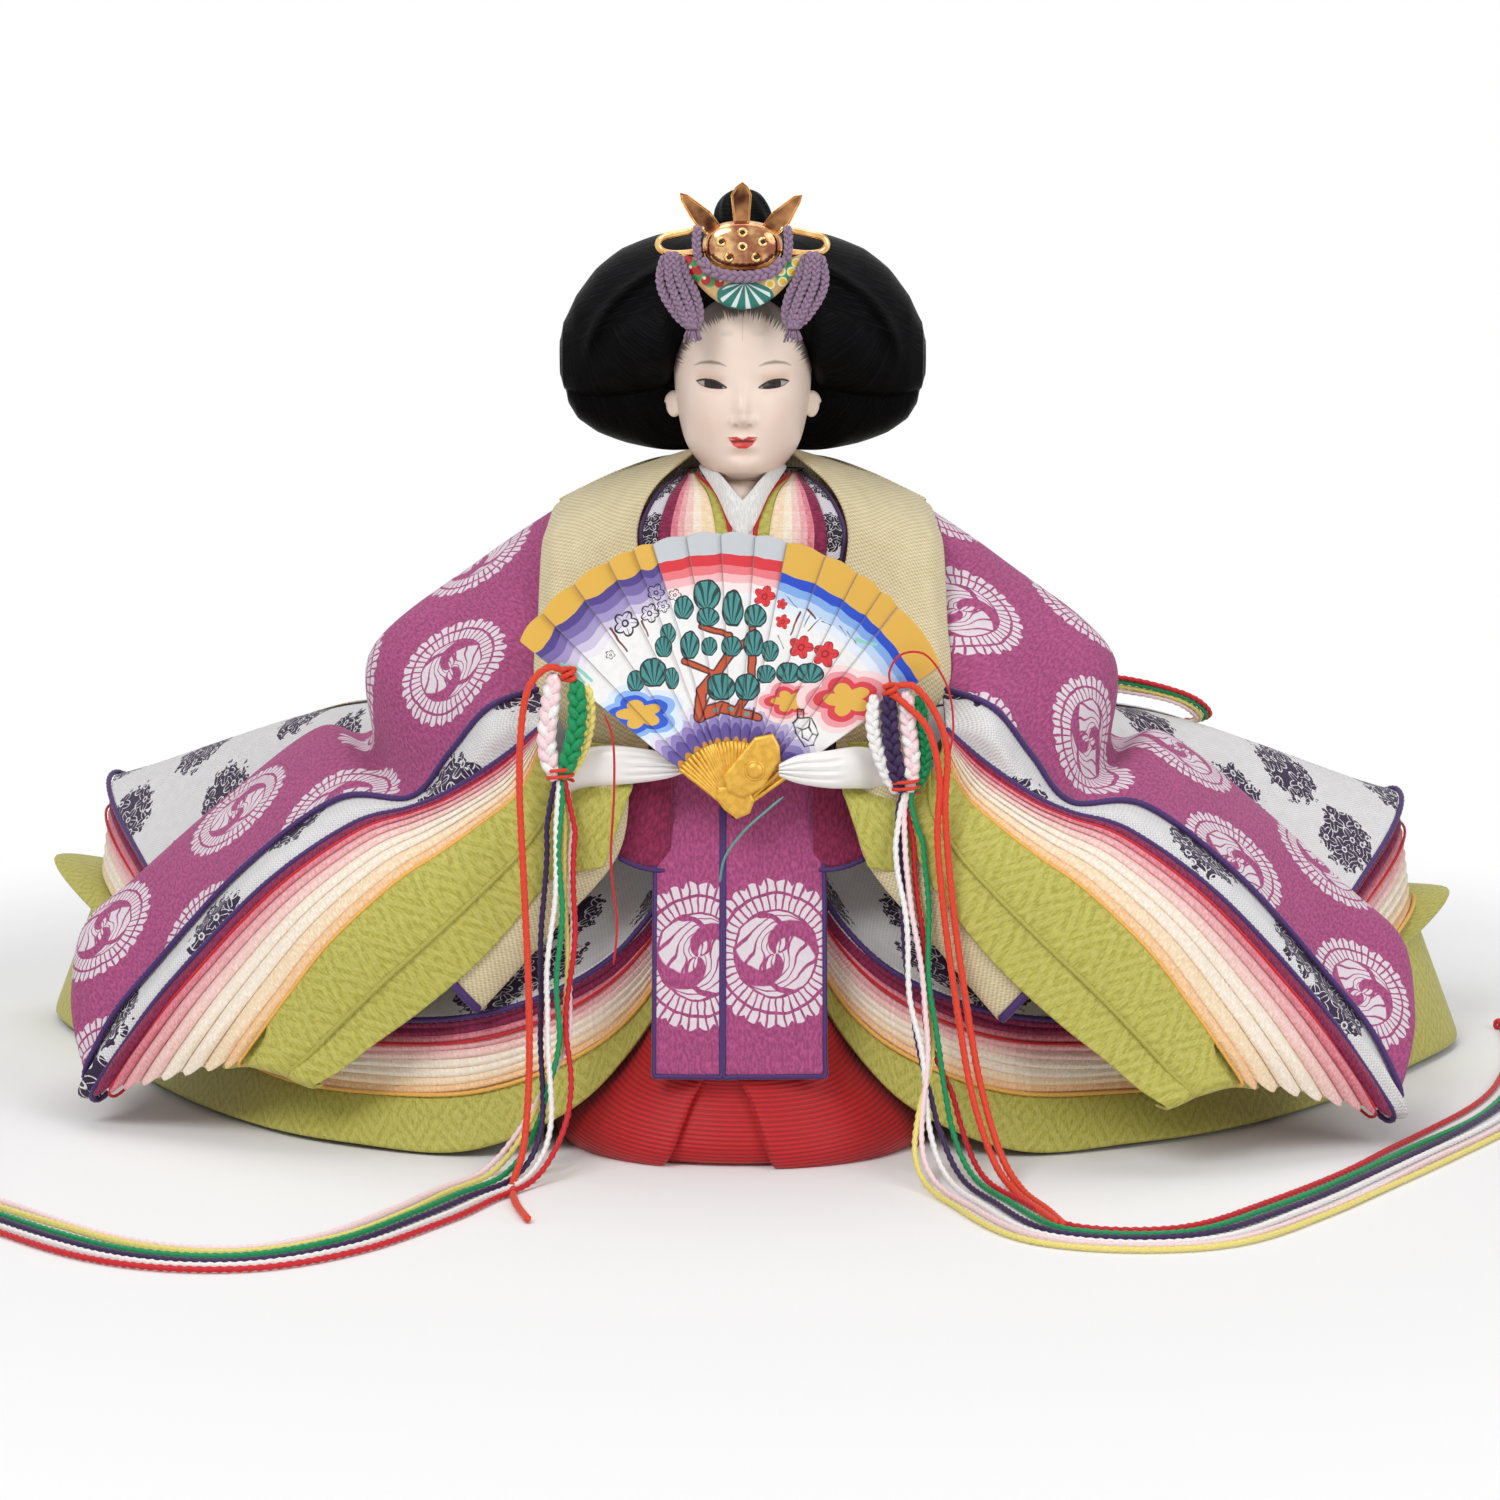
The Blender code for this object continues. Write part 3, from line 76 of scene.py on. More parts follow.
def seen(u, v, depth):
    # Point at a given y that the camera sees at a place in the photograph.
    half = cameraLook["width"] / 2
    focal = cameraLook["lens"] / 36 * cameraLook["width"]
    tilt = math.radians(cameraLook["tilt"])
    across = (u - half) / focal
    rise = (half - v) / focal
    way = Vector((across, math.cos(tilt) + math.sin(tilt) * rise, -math.sin(tilt) + math.cos(tilt) * rise))
    start = cameraLook["place"]
    return start + way * ((depth - start.y) / way.y)


# shader helpers


def ink(code):
    # Linear colour from a hex code.
    parts = [int(code[i:i + 2], 16) / 255 for i in (1, 3, 5)]
    return tuple(c / 12.92 if c <= 0.04045 else ((c + 0.055) / 1.055) ** 2.4 for c in parts) + (1,)


def addNode(tree, kind, inputs=None, **settings):
    node = tree.nodes.new(kind)
    for key, value in settings.items():
        setattr(node, key, value)
    for key, value in (inputs or {}).items():
        if isinstance(value, bpy.types.NodeSocket):
            tree.links.new(value, node.inputs[key])
        else:
            node.inputs[key].default_value = value
    return node


def calc(tree, operation, *values, clamp=False):
    return addNode(tree, "ShaderNodeMath", dict(enumerate(values)), operation=operation, use_clamp=clamp).outputs[0]


def vectorCalc(tree, operation, *values):
    node = addNode(tree, "ShaderNodeVectorMath", dict(enumerate(values)), operation=operation)
    return node.outputs["Value" if operation in ("LENGTH", "DOT_PRODUCT", "DISTANCE") else "Vector"]


def mixInk(tree, factor, a, b, blend="MIX"):
    node = addNode(tree, "ShaderNodeMix", {0: factor, 6: a, 7: b}, data_type="RGBA", blend_type=blend)
    return node.outputs[2]


def ramp(tree, value, low, high, toLow=0.0, toHigh=1.0, smooth=True):
    node = addNode(tree, "ShaderNodeMapRange", {0: value, 1: low, 2: high, 3: toLow, 4: toHigh},
                   interpolation_type="SMOOTHSTEP" if smooth else "LINEAR")
    return node.outputs[0]


def splitVector(tree, vector):
    return addNode(tree, "ShaderNodeSeparateXYZ", {0: vector}).outputs


def joinVector(tree, x, y, z=0.0):
    return addNode(tree, "ShaderNodeCombineXYZ", {0: x, 1: y, 2: z}).outputs[0]


def newGroup(name, inputs, outputs):
    tree = bpy.data.node_groups.new(name, "ShaderNodeTree")
    for label, kind, value in inputs:
        socket = tree.interface.new_socket(name=label, in_out="INPUT", socket_type="NodeSocket" + kind)
        if value is not None:
            socket.default_value = value
    for label, kind in outputs:
        tree.interface.new_socket(name=label, in_out="OUTPUT", socket_type="NodeSocket" + kind)
    return tree, tree.nodes.new("NodeGroupInput").outputs, tree.nodes.new("NodeGroupOutput").inputs


def useGroup(tree, group, **inputs):
    return addNode(tree, "ShaderNodeGroup", inputs, node_tree=group).outputs


def makeCrepe():
    tree, given, out = newGroup("crepe", [("Vector", "Vector", None), ("Scale", "Float", 1300.0), ("Stretch", "Float", 0.45)],
                                [("Height", "Float"), ("Tone", "Float")])
    x, y, z = splitVector(tree, given["Vector"])[:3]
    vector = joinVector(tree, x, calc(tree, "MULTIPLY", y, given["Stretch"]), calc(tree, "MULTIPLY", z, given["Stretch"]))
    grain = addNode(tree, "ShaderNodeTexNoise", {"Vector": vector, "Scale": given["Scale"], "Detail": 2.0, "Roughness": 0.6}).outputs[0]
    cloud = addNode(tree, "ShaderNodeTexNoise", {"Vector": given["Vector"], "Scale": 55.0, "Detail": 2.0}).outputs[0]
    height = ramp(tree, grain, 0.35, 0.65)
    tree.links.new(height, out["Height"])
    tone = calc(tree, "ADD", calc(tree, "MULTIPLY", height, 0.75), calc(tree, "MULTIPLY", cloud, 0.35), clamp=True)
    tree.links.new(tone, out["Tone"])
    return tree


def makeGauze():
    tree, given, out = newGroup("gauzeWeave", [("Vector", "Vector", None), ("Scale", "Float", 900.0)],
                                [("Height", "Float"), ("Tone", "Float")])
    x, y = splitVector(tree, given["Vector"])[:2]
    turns = calc(tree, "MULTIPLY", given["Scale"], 2 * math.pi)
    a = calc(tree, "SINE", calc(tree, "MULTIPLY", x, turns))
    b = calc(tree, "SINE", calc(tree, "MULTIPLY", y, turns))
    grid = ramp(tree, calc(tree, "ADD", calc(tree, "MULTIPLY", a, b), calc(tree, "MULTIPLY", a, 0.35)), -0.9, 0.9)
    cloud = addNode(tree, "ShaderNodeTexNoise", {"Vector": given["Vector"], "Scale": 300.0, "Detail": 2.0}).outputs[0]
    tree.links.new(grid, out["Height"])
    tree.links.new(calc(tree, "ADD", calc(tree, "MULTIPLY", grid, 0.7), calc(tree, "MULTIPLY", cloud, 0.4), clamp=True), out["Tone"])
    return tree


def makeDiamonds():
    tree, given, out = newGroup("diamonds", [("Vector", "Vector", None), ("Size", "Float", 0.011)], [("Tone", "Float")])
    x, y = splitVector(tree, given["Vector"])[:2]
    parts = []
    for part, stretch in ((x, 1.0), (y, 0.62)):
        share = calc(tree, "DIVIDE", calc(tree, "MULTIPLY", part, stretch), given["Size"])
        parts.append(calc(tree, "ABSOLUTE", calc(tree, "SUBTRACT", calc(tree, "FRACT", share), 0.5)))
    far = calc(tree, "ADD", *parts)
    tree.links.new(ramp(tree, calc(tree, "SINE", calc(tree, "MULTIPLY", far, 2 * math.pi * 4)), -0.4, 0.4), out["Tone"])
    return tree


def polar(tree, x, y):
    return calc(tree, "SQRT", calc(tree, "ADD", calc(tree, "MULTIPLY", x, x), calc(tree, "MULTIPLY", y, y))), calc(tree, "ARCTAN2", y, x)


def makeRoundel():
    # One round of feathers and fans about the origin of its vector, as a mask.
    tree, given, out = newGroup("roundel", [("Vector", "Vector", None), ("Radius", "Float", 0.0155)], [("Mask", "Float")])
    wander = addNode(tree, "ShaderNodeTexNoise", {"Vector": given["Vector"], "Scale": 300.0, "Detail": 1.0}).outputs[1]
    moved = vectorCalc(tree, "SUBTRACT", wander, (0.5, 0.5, 0.5))
    scaled = addNode(tree, "ShaderNodeVectorMath", {0: moved, "Scale": 0.0011}, operation="SCALE").outputs[0]
    x, y = splitVector(tree, vectorCalc(tree, "ADD", given["Vector"], scaled))[:2]
    x = calc(tree, "DIVIDE", x, given["Radius"])
    y = calc(tree, "DIVIDE", y, given["Radius"])
    far, turn = polar(tree, x, y)
    edge = calc(tree, "ADD", calc(tree, "MULTIPLY", calc(tree, "ABSOLUTE", calc(tree, "COSINE", calc(tree, "MULTIPLY", turn, 13.0))), 0.07), 0.93)
    inside = calc(tree, "LESS_THAN", far, edge)
    ring = calc(tree, "GREATER_THAN", far, 0.60)
    feathers = ramp(tree, calc(tree, "ABSOLUTE", calc(tree, "SINE", calc(tree, "MULTIPLY", turn, 22.0))), 0.30, 0.50)
    split = calc(tree, "GREATER_THAN", calc(tree, "ABSOLUTE", calc(tree, "SUBTRACT", far, 0.80)), 0.022)
    mask = calc(tree, "MULTIPLY", calc(tree, "MULTIPLY", inside, ring), calc(tree, "MULTIPLY", feathers, split))
    # Two birds that turn round each other: long feathers bent along a spiral
    spiral = calc(tree, "ADD", calc(tree, "MULTIPLY", turn, 2.0), calc(tree, "MULTIPLY", far, 7.0))
    wings = calc(tree, "SINE", spiral)
    barbs = ramp(tree, calc(tree, "ABSOLUTE", calc(tree, "SINE", calc(tree, "ADD", calc(tree, "MULTIPLY", far, 24.0), calc(tree, "MULTIPLY", wings, 2.2)))), 0.22, 0.42)
    body = calc(tree, "MULTIPLY", ramp(tree, wings, -0.62, -0.42), barbs)
    inner = calc(tree, "MULTIPLY", body, calc(tree, "LESS_THAN", far, 0.57))
    necks = calc(tree, "GREATER_THAN", calc(tree, "ABSOLUTE", calc(tree, "SINE", calc(tree, "ADD", turn, calc(tree, "MULTIPLY", far, -3.5)))), 0.16)
    mask = calc(tree, "MAXIMUM", mask, calc(tree, "MULTIPLY", inner, necks))
    tree.links.new(mask, out["Mask"])
    return tree


def makeRoundels(roundel):
    tree, given, out = newGroup("roundels", [("Vector", "Vector", None), ("Spacing", "Float", 0.044), ("Radius", "Float", 0.0150),
                                             ("Start", "Vector", (0, 0, 0))], [("Mask", "Float")])
    x, y = splitVector(tree, vectorCalc(tree, "SUBTRACT", given["Vector"], given["Start"]))[:2]
    line = calc(tree, "DIVIDE", y, calc(tree, "MULTIPLY", given["Spacing"], 0.8))
    odd = calc(tree, "MULTIPLY", calc(tree, "FLOORED_MODULO", calc(tree, "FLOOR", line), 2.0), 0.5)
    column = calc(tree, "ADD", calc(tree, "DIVIDE", x, given["Spacing"]), odd)
    parts = []
    for share, stretch in ((column, 1.0), (line, 0.8)):
        centred = calc(tree, "SUBTRACT", calc(tree, "FRACT", share), 0.5)
        parts.append(calc(tree, "MULTIPLY", centred, calc(tree, "MULTIPLY", given["Spacing"], stretch)))
    mask = useGroup(tree, roundel, Vector=joinVector(tree, *parts), Radius=given["Radius"])["Mask"]
    tree.links.new(mask, out["Mask"])
    return tree


def makeBlossoms():
    tree, given, out = newGroup("blossoms", [("Vector", "Vector", None), ("Size", "Float", 0.0062), ("Spacing", "Float", 0.030),
                                             ("Reach", "Float", 0.30)], [("Mask", "Float")])
    scale = calc(tree, "DIVIDE", 1.0, given["Size"])
    cells = addNode(tree, "ShaderNodeTexVoronoi", {"Vector": given["Vector"], "Scale": scale, "Randomness": 0.75},
                    voronoi_dimensions="2D", feature="F1").outputs
    x, y = splitVector(tree, vectorCalc(tree, "SUBTRACT", given["Vector"], cells["Position"]))[:2]
    far, turn = polar(tree, calc(tree, "MULTIPLY", x, scale), calc(tree, "MULTIPLY", y, scale))
    petals = calc(tree, "ADD", calc(tree, "MULTIPLY", calc(tree, "ABSOLUTE", calc(tree, "COSINE", calc(tree, "MULTIPLY", turn, 2.5))), 0.30), 0.34)
    flower = calc(tree, "LESS_THAN", calc(tree, "ABSOLUTE", calc(tree, "SUBTRACT", far, petals)), 0.032)
    vein = calc(tree, "LESS_THAN", calc(tree, "ABSOLUTE", calc(tree, "SINE", calc(tree, "MULTIPLY", turn, 2.5))), 0.09)
    hole = calc(tree, "LESS_THAN", calc(tree, "ABSOLUTE", calc(tree, "SUBTRACT", far, 0.12)), 0.035)
    pale = calc(tree, "MAXIMUM", flower, calc(tree, "MAXIMUM", hole, calc(tree, "MULTIPLY", vein, calc(tree, "LESS_THAN", far, petals))))
    ragged = addNode(tree, "ShaderNodeTexNoise", {"Vector": given["Vector"], "Scale": 420.0, "Detail": 1.0}).outputs[0]
    bunches = addNode(tree, "ShaderNodeTexVoronoi", {"Vector": given["Vector"], "Scale": calc(tree, "DIVIDE", 1.0, given["Spacing"]),
                                                     "Randomness": 0.55}, voronoi_dimensions="2D", feature="F1").outputs[0]
    edge = calc(tree, "ADD", bunches, calc(tree, "MULTIPLY", calc(tree, "SUBTRACT", ragged, 0.5), 0.34))
    mask = calc(tree, "MULTIPLY", calc(tree, "SUBTRACT", 1.0, pale), calc(tree, "LESS_THAN", edge, given["Reach"]))
    tree.links.new(mask, out["Mask"])
    return tree


def makeStroke():
    # Soft line between two points of the picture plane, as a mask.
    tree, given, out = newGroup("stroke", [("Vector", "Vector", None), ("From", "Vector", (0, 0, 0)), ("To", "Vector", (0, 0, 0)),
                                           ("Width", "Float", 0.001), ("EndWidth", "Float", 0.001), ("Soft", "Float", 0.0003)],
                                [("Mask", "Float")])
    reach = vectorCalc(tree, "SUBTRACT", given["To"], given["From"])
    toPoint = vectorCalc(tree, "SUBTRACT", given["Vector"], given["From"])
    share = calc(tree, "DIVIDE", vectorCalc(tree, "DOT_PRODUCT", toPoint, reach), vectorCalc(tree, "DOT_PRODUCT", reach, reach), clamp=True)
    near = addNode(tree, "ShaderNodeVectorMath", {0: reach, "Scale": share}, operation="SCALE").outputs[0]
    far = vectorCalc(tree, "LENGTH", vectorCalc(tree, "SUBTRACT", toPoint, near))
    width = calc(tree, "ADD", calc(tree, "MULTIPLY", given["Width"], calc(tree, "SUBTRACT", 1.0, share)), calc(tree, "MULTIPLY", given["EndWidth"], share))
    excess = calc(tree, "SUBTRACT", far, width)
    mask = calc(tree, "SUBTRACT", 1.0, calc(tree, "DIVIDE", calc(tree, "ADD", excess, given["Soft"]), calc(tree, "MULTIPLY", given["Soft"], 2.0), clamp=True))
    tree.links.new(mask, out["Mask"])
    return tree


def makeStrands():
    tree, given, out = newGroup("strands", [("Vector", "Vector", None), ("Scale", "Float", 2600.0), ("Length", "Float", 0.02)],
                                [("Height", "Float"), ("Tone", "Float")])
    x, y = splitVector(tree, given["Vector"])[:2]
    vector = joinVector(tree, calc(tree, "MULTIPLY", x, given["Length"]), y)
    fine = addNode(tree, "ShaderNodeTexNoise", {"Vector": vector, "Scale": given["Scale"], "Detail": 3.0, "Roughness": 0.6}).outputs[0]
    coarse = addNode(tree, "ShaderNodeTexNoise", {"Vector": vector, "Scale": calc(tree, "MULTIPLY", given["Scale"], 0.22), "Detail": 2.0}).outputs[0]
    tree.links.new(calc(tree, "ADD", calc(tree, "MULTIPLY", fine, 0.6), calc(tree, "MULTIPLY", coarse, 0.4)), out["Height"])
    tree.links.new(ramp(tree, fine, 0.42, 0.72), out["Tone"])
    return tree


groups = {"crepe": makeCrepe(), "gauze": makeGauze(), "diamonds": makeDiamonds(), "roundel": makeRoundel(),
          "blossoms": makeBlossoms(), "stroke": makeStroke(), "strands": makeStrands()}
groups["roundels"] = makeRoundels(groups["roundel"])
print("shader groups ready")


def newMaterial(name, roughness=0.6, metallic=0.0, **sockets):
    material = bpy.data.materials.new(name)
    material.use_nodes = True
    tree = material.node_tree
    shader = tree.nodes["Principled BSDF"]
    shader.inputs["Roughness"].default_value = roughness
    shader.inputs["Metallic"].default_value = metallic
    for key, value in sockets.items():
        shader.inputs[key.replace("_", " ")].default_value = value
    return material, tree, shader


def addBump(tree, shader, height, strength, distance):
    bump = addNode(tree, "ShaderNodeBump", {"Height": height, "Strength": strength, "Distance": distance})
    tree.links.new(bump.outputs[0], shader.inputs["Normal"])


# Cloth looks: colour, shade, weave, weave scale, bump depth in mm, roughness, sheen
clothLooks = {
    "purpleCrepe": ("#B8568A", "#8A3C67", "crepe", 1500.0, 0.30, 0.80, 0.10),
    "violetSilk": ("#4C2B6C", "#2B1542", "crepe", 1500.0, 0.20, 0.62, 0.15),
    "brocade": ("#EFEEEE", "#C2C0C2", "gauze", 1150.0, 0.22, 0.55, 0.15),
    "maroonSilk": ("#962C55", "#661737", "crepe", 1300.0, 0.25, 0.75, 0.20),
    "crimsonSilk": ("#C2456E", "#8C2547", "crepe", 1300.0, 0.25, 0.75, 0.20),
    "roseSilk": ("#E9949F", "#CC6B7C", "crepe", 1300.0, 0.25, 0.78, 0.20),
    "pinkSilk": ("#F5BFC0", "#E09AA0", "crepe", 1300.0, 0.25, 0.78, 0.20),
    "blushSilk": ("#FBDDD6", "#EDBFB8", "crepe", 1300.0, 0.25, 0.78, 0.20),
    "ivorySilk": ("#FFF6E8", "#F3E0CA", "crepe", 1300.0, 0.25, 0.78, 0.15),
    "creamSilk": ("#FDEBD0", "#F1D2A8", "crepe", 1300.0, 0.25, 0.78, 0.15),
    "peachSilk": ("#FBD9B0", "#F0BB85", "crepe", 1300.0, 0.25, 0.78, 0.15),
    "apricotSilk": ("#F8C87E", "#EDA957", "crepe", 1500.0, 0.15, 0.70, 0.15),
    "limeSilk": ("#C0BA59", "#9F993F", "crepe", 1700.0, 0.18, 0.50, 0.15),
    "beigeGauze": ("#E9DEBB", "#B8A67A", "gauze", 900.0, 0.20, 0.70, 0.10),
    "whiteSilk": ("#F6F5F3", "#DADADA", "crepe", 1500.0, 0.20, 0.65, 0.15),
    "redSilk": ("#C62020", "#8F0E10", "crepe", 1500.0, 0.15, 0.60, 0.15),
    "blackBrocade": ("#E6E4EA", "#B9B7C2", "gauze", 1300.0, 0.20, 0.60, 0.10),
}


def clothMaterial(name):
    colour, shade, weave, scale, depth, rough, sheen = clothLooks[name]
    material, tree, shader = newMaterial(name, rough, Sheen_Weight=sheen, Sheen_Roughness=0.4, Specular_IOR_Level=0.3)
    coords = addNode(tree, "ShaderNodeTexCoord").outputs["UV"]
    thread = useGroup(tree, groups[weave], Vector=coords, Scale=scale)
    base = mixInk(tree, thread["Tone"], ink(shade), ink(colour))
    height = thread["Height"]
    if name == "purpleCrepe":
        mask = useGroup(tree, groups["roundels"], Vector=coords)["Mask"]
        base = mixInk(tree, mask, base, ink("#E2D6DE"))
    if name == "brocade":
        mask = useGroup(tree, groups["blossoms"], Vector=coords)["Mask"]
        base = mixInk(tree, mask, base, ink("#2E1C3C"))
    if name == "blackBrocade":
        mask = useGroup(tree, groups["blossoms"], Vector=coords, Size=0.0034, Spacing=0.012, Reach=0.42)["Mask"]
        base = mixInk(tree, mask, base, ink("#1D1226"))
    if name == "limeSilk":
        mask = useGroup(tree, groups["diamonds"], Vector=coords)["Tone"]
        base = mixInk(tree, calc(tree, "MULTIPLY", mask, 0.35), base, ink("#CFCB74"))
        height = calc(tree, "ADD", height, calc(tree, "MULTIPLY", mask, 0.4))
    tree.links.new(base, shader.inputs["Base Color"])
    addBump(tree, shader, height, 0.6, depth * mm)
    return material


cloth = {name: clothMaterial(name) for name in clothLooks}

twistLooks = {
    "violetTwist": ("#4A2C6C", "#28143E"), "redTwist": ("#D3202A", "#8C0F18"), "greenTwist": ("#139A5C", "#075E37"),
    "plumTwist": ("#3B2352", "#1B0E28"), "yellowTwist": ("#F2E387", "#CFB84E"), "whiteTwist": ("#FAF8F6", "#D8D4D2"),
    "pinkTwist": ("#FBE3E6", "#E6BFC6"), "orangeTwist": ("#E8452A", "#A82815"), "mauveTwist": ("#9D829A", "#5E4A62"),
    "apricotTwist": ("#F5BE62", "#D08F35"), "tealTwist": ("#5DA79A", "#337468"),
    "limeTwist": ("#B9B354", "#8C8636"),
}


def twistMaterial(name):
    colour, shade = twistLooks[name]
    material, tree, shader = newMaterial(name, 0.55, Sheen_Weight=0.3, Sheen_Roughness=0.35, Specular_IOR_Level=0.35)
    coords = addNode(tree, "ShaderNodeTexCoord").outputs["UV"]
    thread = useGroup(tree, groups["strands"], Vector=coords, Scale=9000.0, Length=0.15)
    base = mixInk(tree, thread["Tone"], ink(colour), ink(shade))
    tree.links.new(base, shader.inputs["Base Color"])
    addBump(tree, shader, thread["Height"], 0.4, 0.1 * mm)
    return material


silk = {name: twistMaterial(name) for name in twistLooks}
print("cloth and cord materials ready")

# shape helpers


def spline(points, place):
    # Point at a place from 0 to the last index on a smooth curve through the points.
    last = len(points) - 1
    first = max(0, min(int(place), last - 1))
    t = place - first
    a = points[max(first - 1, 0)]
    b = points[first]
    c = points[first + 1]
    d = points[min(first + 2, last)]
    return 0.5 * ((2 * b) + (c - a) * t + (2 * a - 5 * b + 4 * c - d) * t ** 2 + (3 * b - a - 3 * c + d) * t ** 3)


def between(values, place):
    first = max(0, min(int(place), len(values) - 2))
    return values[first] + (values[first + 1] - values[first]) * (place - first)


def spread(start, end, count):
    return [start + (end - start) * i / (count - 1) for i in range(count)]


def fade(value, low, high):
    share = max(0.0, min(1.0, (value - low) / (high - low)))
    return share * share * (3 - 2 * share)


def finishPiece(name, bm, material, body, stands=(), smooth=True):
    mesh = bpy.data.meshes.new(name)
    bm.to_mesh(mesh)
    bm.free()
    piece = bpy.data.objects.new(name, mesh)
    scene.collection.objects.link(piece)
    for one in material if isinstance(material, (list, tuple)) else [material]:
        mesh.materials.append(one)
    if smooth:
        mesh.shade_smooth()
    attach(piece, body)
    if stands:
        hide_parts(*stands)
    return piece


def mappedGrid(columns, rows, place, closed=False, scale=1.0, runFrom="start"):
    # Grid whose points are moved onto a surface, with its run lengths in metres as UVs.
    bm = bmesh.new()
    bmesh.ops.create_grid(bm, x_segments=columns, y_segments=rows, size=0.5)
    table = {}
    for vert in bm.verts:
        table[round((vert.co.x + 0.5) * columns), round((vert.co.y + 0.5) * rows)] = vert
    for (i, j), vert in table.items():
        vert.co = place(i / columns, j / rows)
    runs = {vert: [0.0, 0.0] for vert in bm.verts}
    for j in range(rows + 1):
        for i in range(1, columns + 1):
            runs[table[i, j]][0] = runs[table[i - 1, j]][0] + (table[i, j].co - table[i - 1, j].co).length * scale
    for j in range(rows + 1):
        whole = runs[table[columns, j]][0]
        for i in range(columns + 1):
            if runFrom == "ends" and i > columns / 2:
                runs[table[i, j]][0] = whole - runs[table[i, j]][0]
            elif runFrom == "middle":
                runs[table[i, j]][0] -= whole / 2
    for i in range(columns + 1):
        for j in range(1, rows + 1):
            runs[table[i, j]][1] = runs[table[i, j - 1]][1] + (table[i, j].co - table[i, j - 1].co).length * scale
    layer = bm.loops.layers.uv.new("run")
    for face in bm.faces:
        for loop in face.loops:
            loop[layer].uv = runs[loop.vert]
    if closed:
        bmesh.ops.remove_doubles(bm, verts=bm.verts, dist=1e-6)
        bmesh.ops.holes_fill(bm, edges=[edge for edge in bm.edges if edge.is_boundary], sides=0)
        bmesh.ops.recalc_face_normals(bm, faces=bm.faces)
    return bm


def faceTowards(bm, way):
    bm.normal_update()
    total = sum((face.normal * face.calc_area() for face in bm.faces), Vector())
    if total.dot(way) < 0:
        bmesh.ops.reverse_faces(bm, faces=bm.faces)


def thicken(piece, thickness, offset=-1.0, levels=1):
    shell = piece.modifiers.new("thickness", "SOLIDIFY")
    shell.thickness = thickness
    shell.offset = offset
    if levels:
        fine = piece.modifiers.new("rounding", "SUBSURF")
        fine.levels = levels
        fine.render_levels = levels


def clothPiece(name, columns, rows, place, look, way, thickness, body="doll", stands=(),
               levels=1, runFrom="start", axes=None):
    bm = mappedGrid(columns, rows, place, runFrom=runFrom)
    if axes:
        layer = bm.loops.layers.uv.active
        for face in bm.faces:
            for loop in face.loops:
                loop[layer].uv = [loop.vert.co.dot(axis) for axis in axes]
    faceTowards(bm, Vector(way))
    area = sum(face.calc_area() for face in bm.faces)
    edges = [vert.co.copy() for vert in bm.verts]
    piece = finishPiece(name, bm, cloth[look] if isinstance(look, str) else look, body, stands)
    thicken(piece, thickness, levels=levels)
    long = max(0.0101, max((a - b).length for a in edges[::7] for b in edges[::11]))
    return piece


def tubeFrames(points):
    # Directions across and up at each point of a path, turned as little as possible.
    frames = []
    across = None
    for index, point in enumerate(points):
        ahead = points[min(index + 1, len(points) - 1)]
        behind = points[max(index - 1, 0)]
        way = (ahead - behind).normalized()
        if across is None:
            across = way.cross(up if abs(way.z) < 0.9 else Vector((1, 0, 0))).normalized()
        else:
            across = (across - way * across.dot(way)).normalized()
        frames.append((point, across, way.cross(across).normalized()))
    return frames


def ropeBm(points, radius, plies=2, pitch=4 * mm, around=8, depth=0.22, taper=0.0):
    # Tube along a path whose section is twisted plies.
    frames = tubeFrames(points)
    runs = [0.0]
    for a, b in zip(points, points[1:]):
        runs.append(runs[-1] + (b - a).length)

    def place(u, w):
        index = round(u * (len(points) - 1))
        point, across, over = frames[index]
        angle = 2 * math.pi * w
        twist = angle - 2 * math.pi * runs[index] / pitch
        size = radius * (1 - depth * abs(math.sin(twist * plies / 2)) ** 1.5 if plies else 1)
        end = min(runs[index], runs[-1] - runs[index])
        if taper and end < taper:
            size *= 0.35 + 0.65 * math.sqrt(end / taper)
        return point + across * (size * math.cos(angle)) + over * (size * math.sin(angle))

    return mappedGrid(len(points) - 1, around, place, closed=True)


def evenPath(knots, step):
    # Points at an even step along a smooth curve through the knots.
    fine = [spline(knots, place) for place in spread(0, len(knots) - 1, 40 * len(knots))]
    path = [fine[0]]
    left = step
    for a, b in zip(fine, fine[1:]):
        gap = (b - a).length
        while gap >= left and gap > 0:
            a = a.lerp(b, left / gap)
            path.append(a)
            gap = (b - a).length
            left = step
        left -= gap
    if (path[-1] - fine[-1]).length > step * 0.3:
        path.append(fine[-1])
    return path


def rope(name, knots, radius, look, body="doll", stands=(), plies=2, pitch=3.2 * mm, around=8, step=None,
         depth=0.22, taper=0.0):
    path = evenPath(knots, step or pitch / 6)
    bm = ropeBm(path, radius, plies, pitch, around, depth, taper)
    piece = finishPiece(name, bm, silk[look] if isinstance(look, str) else look, body, stands)
    return piece, path


# sleeves

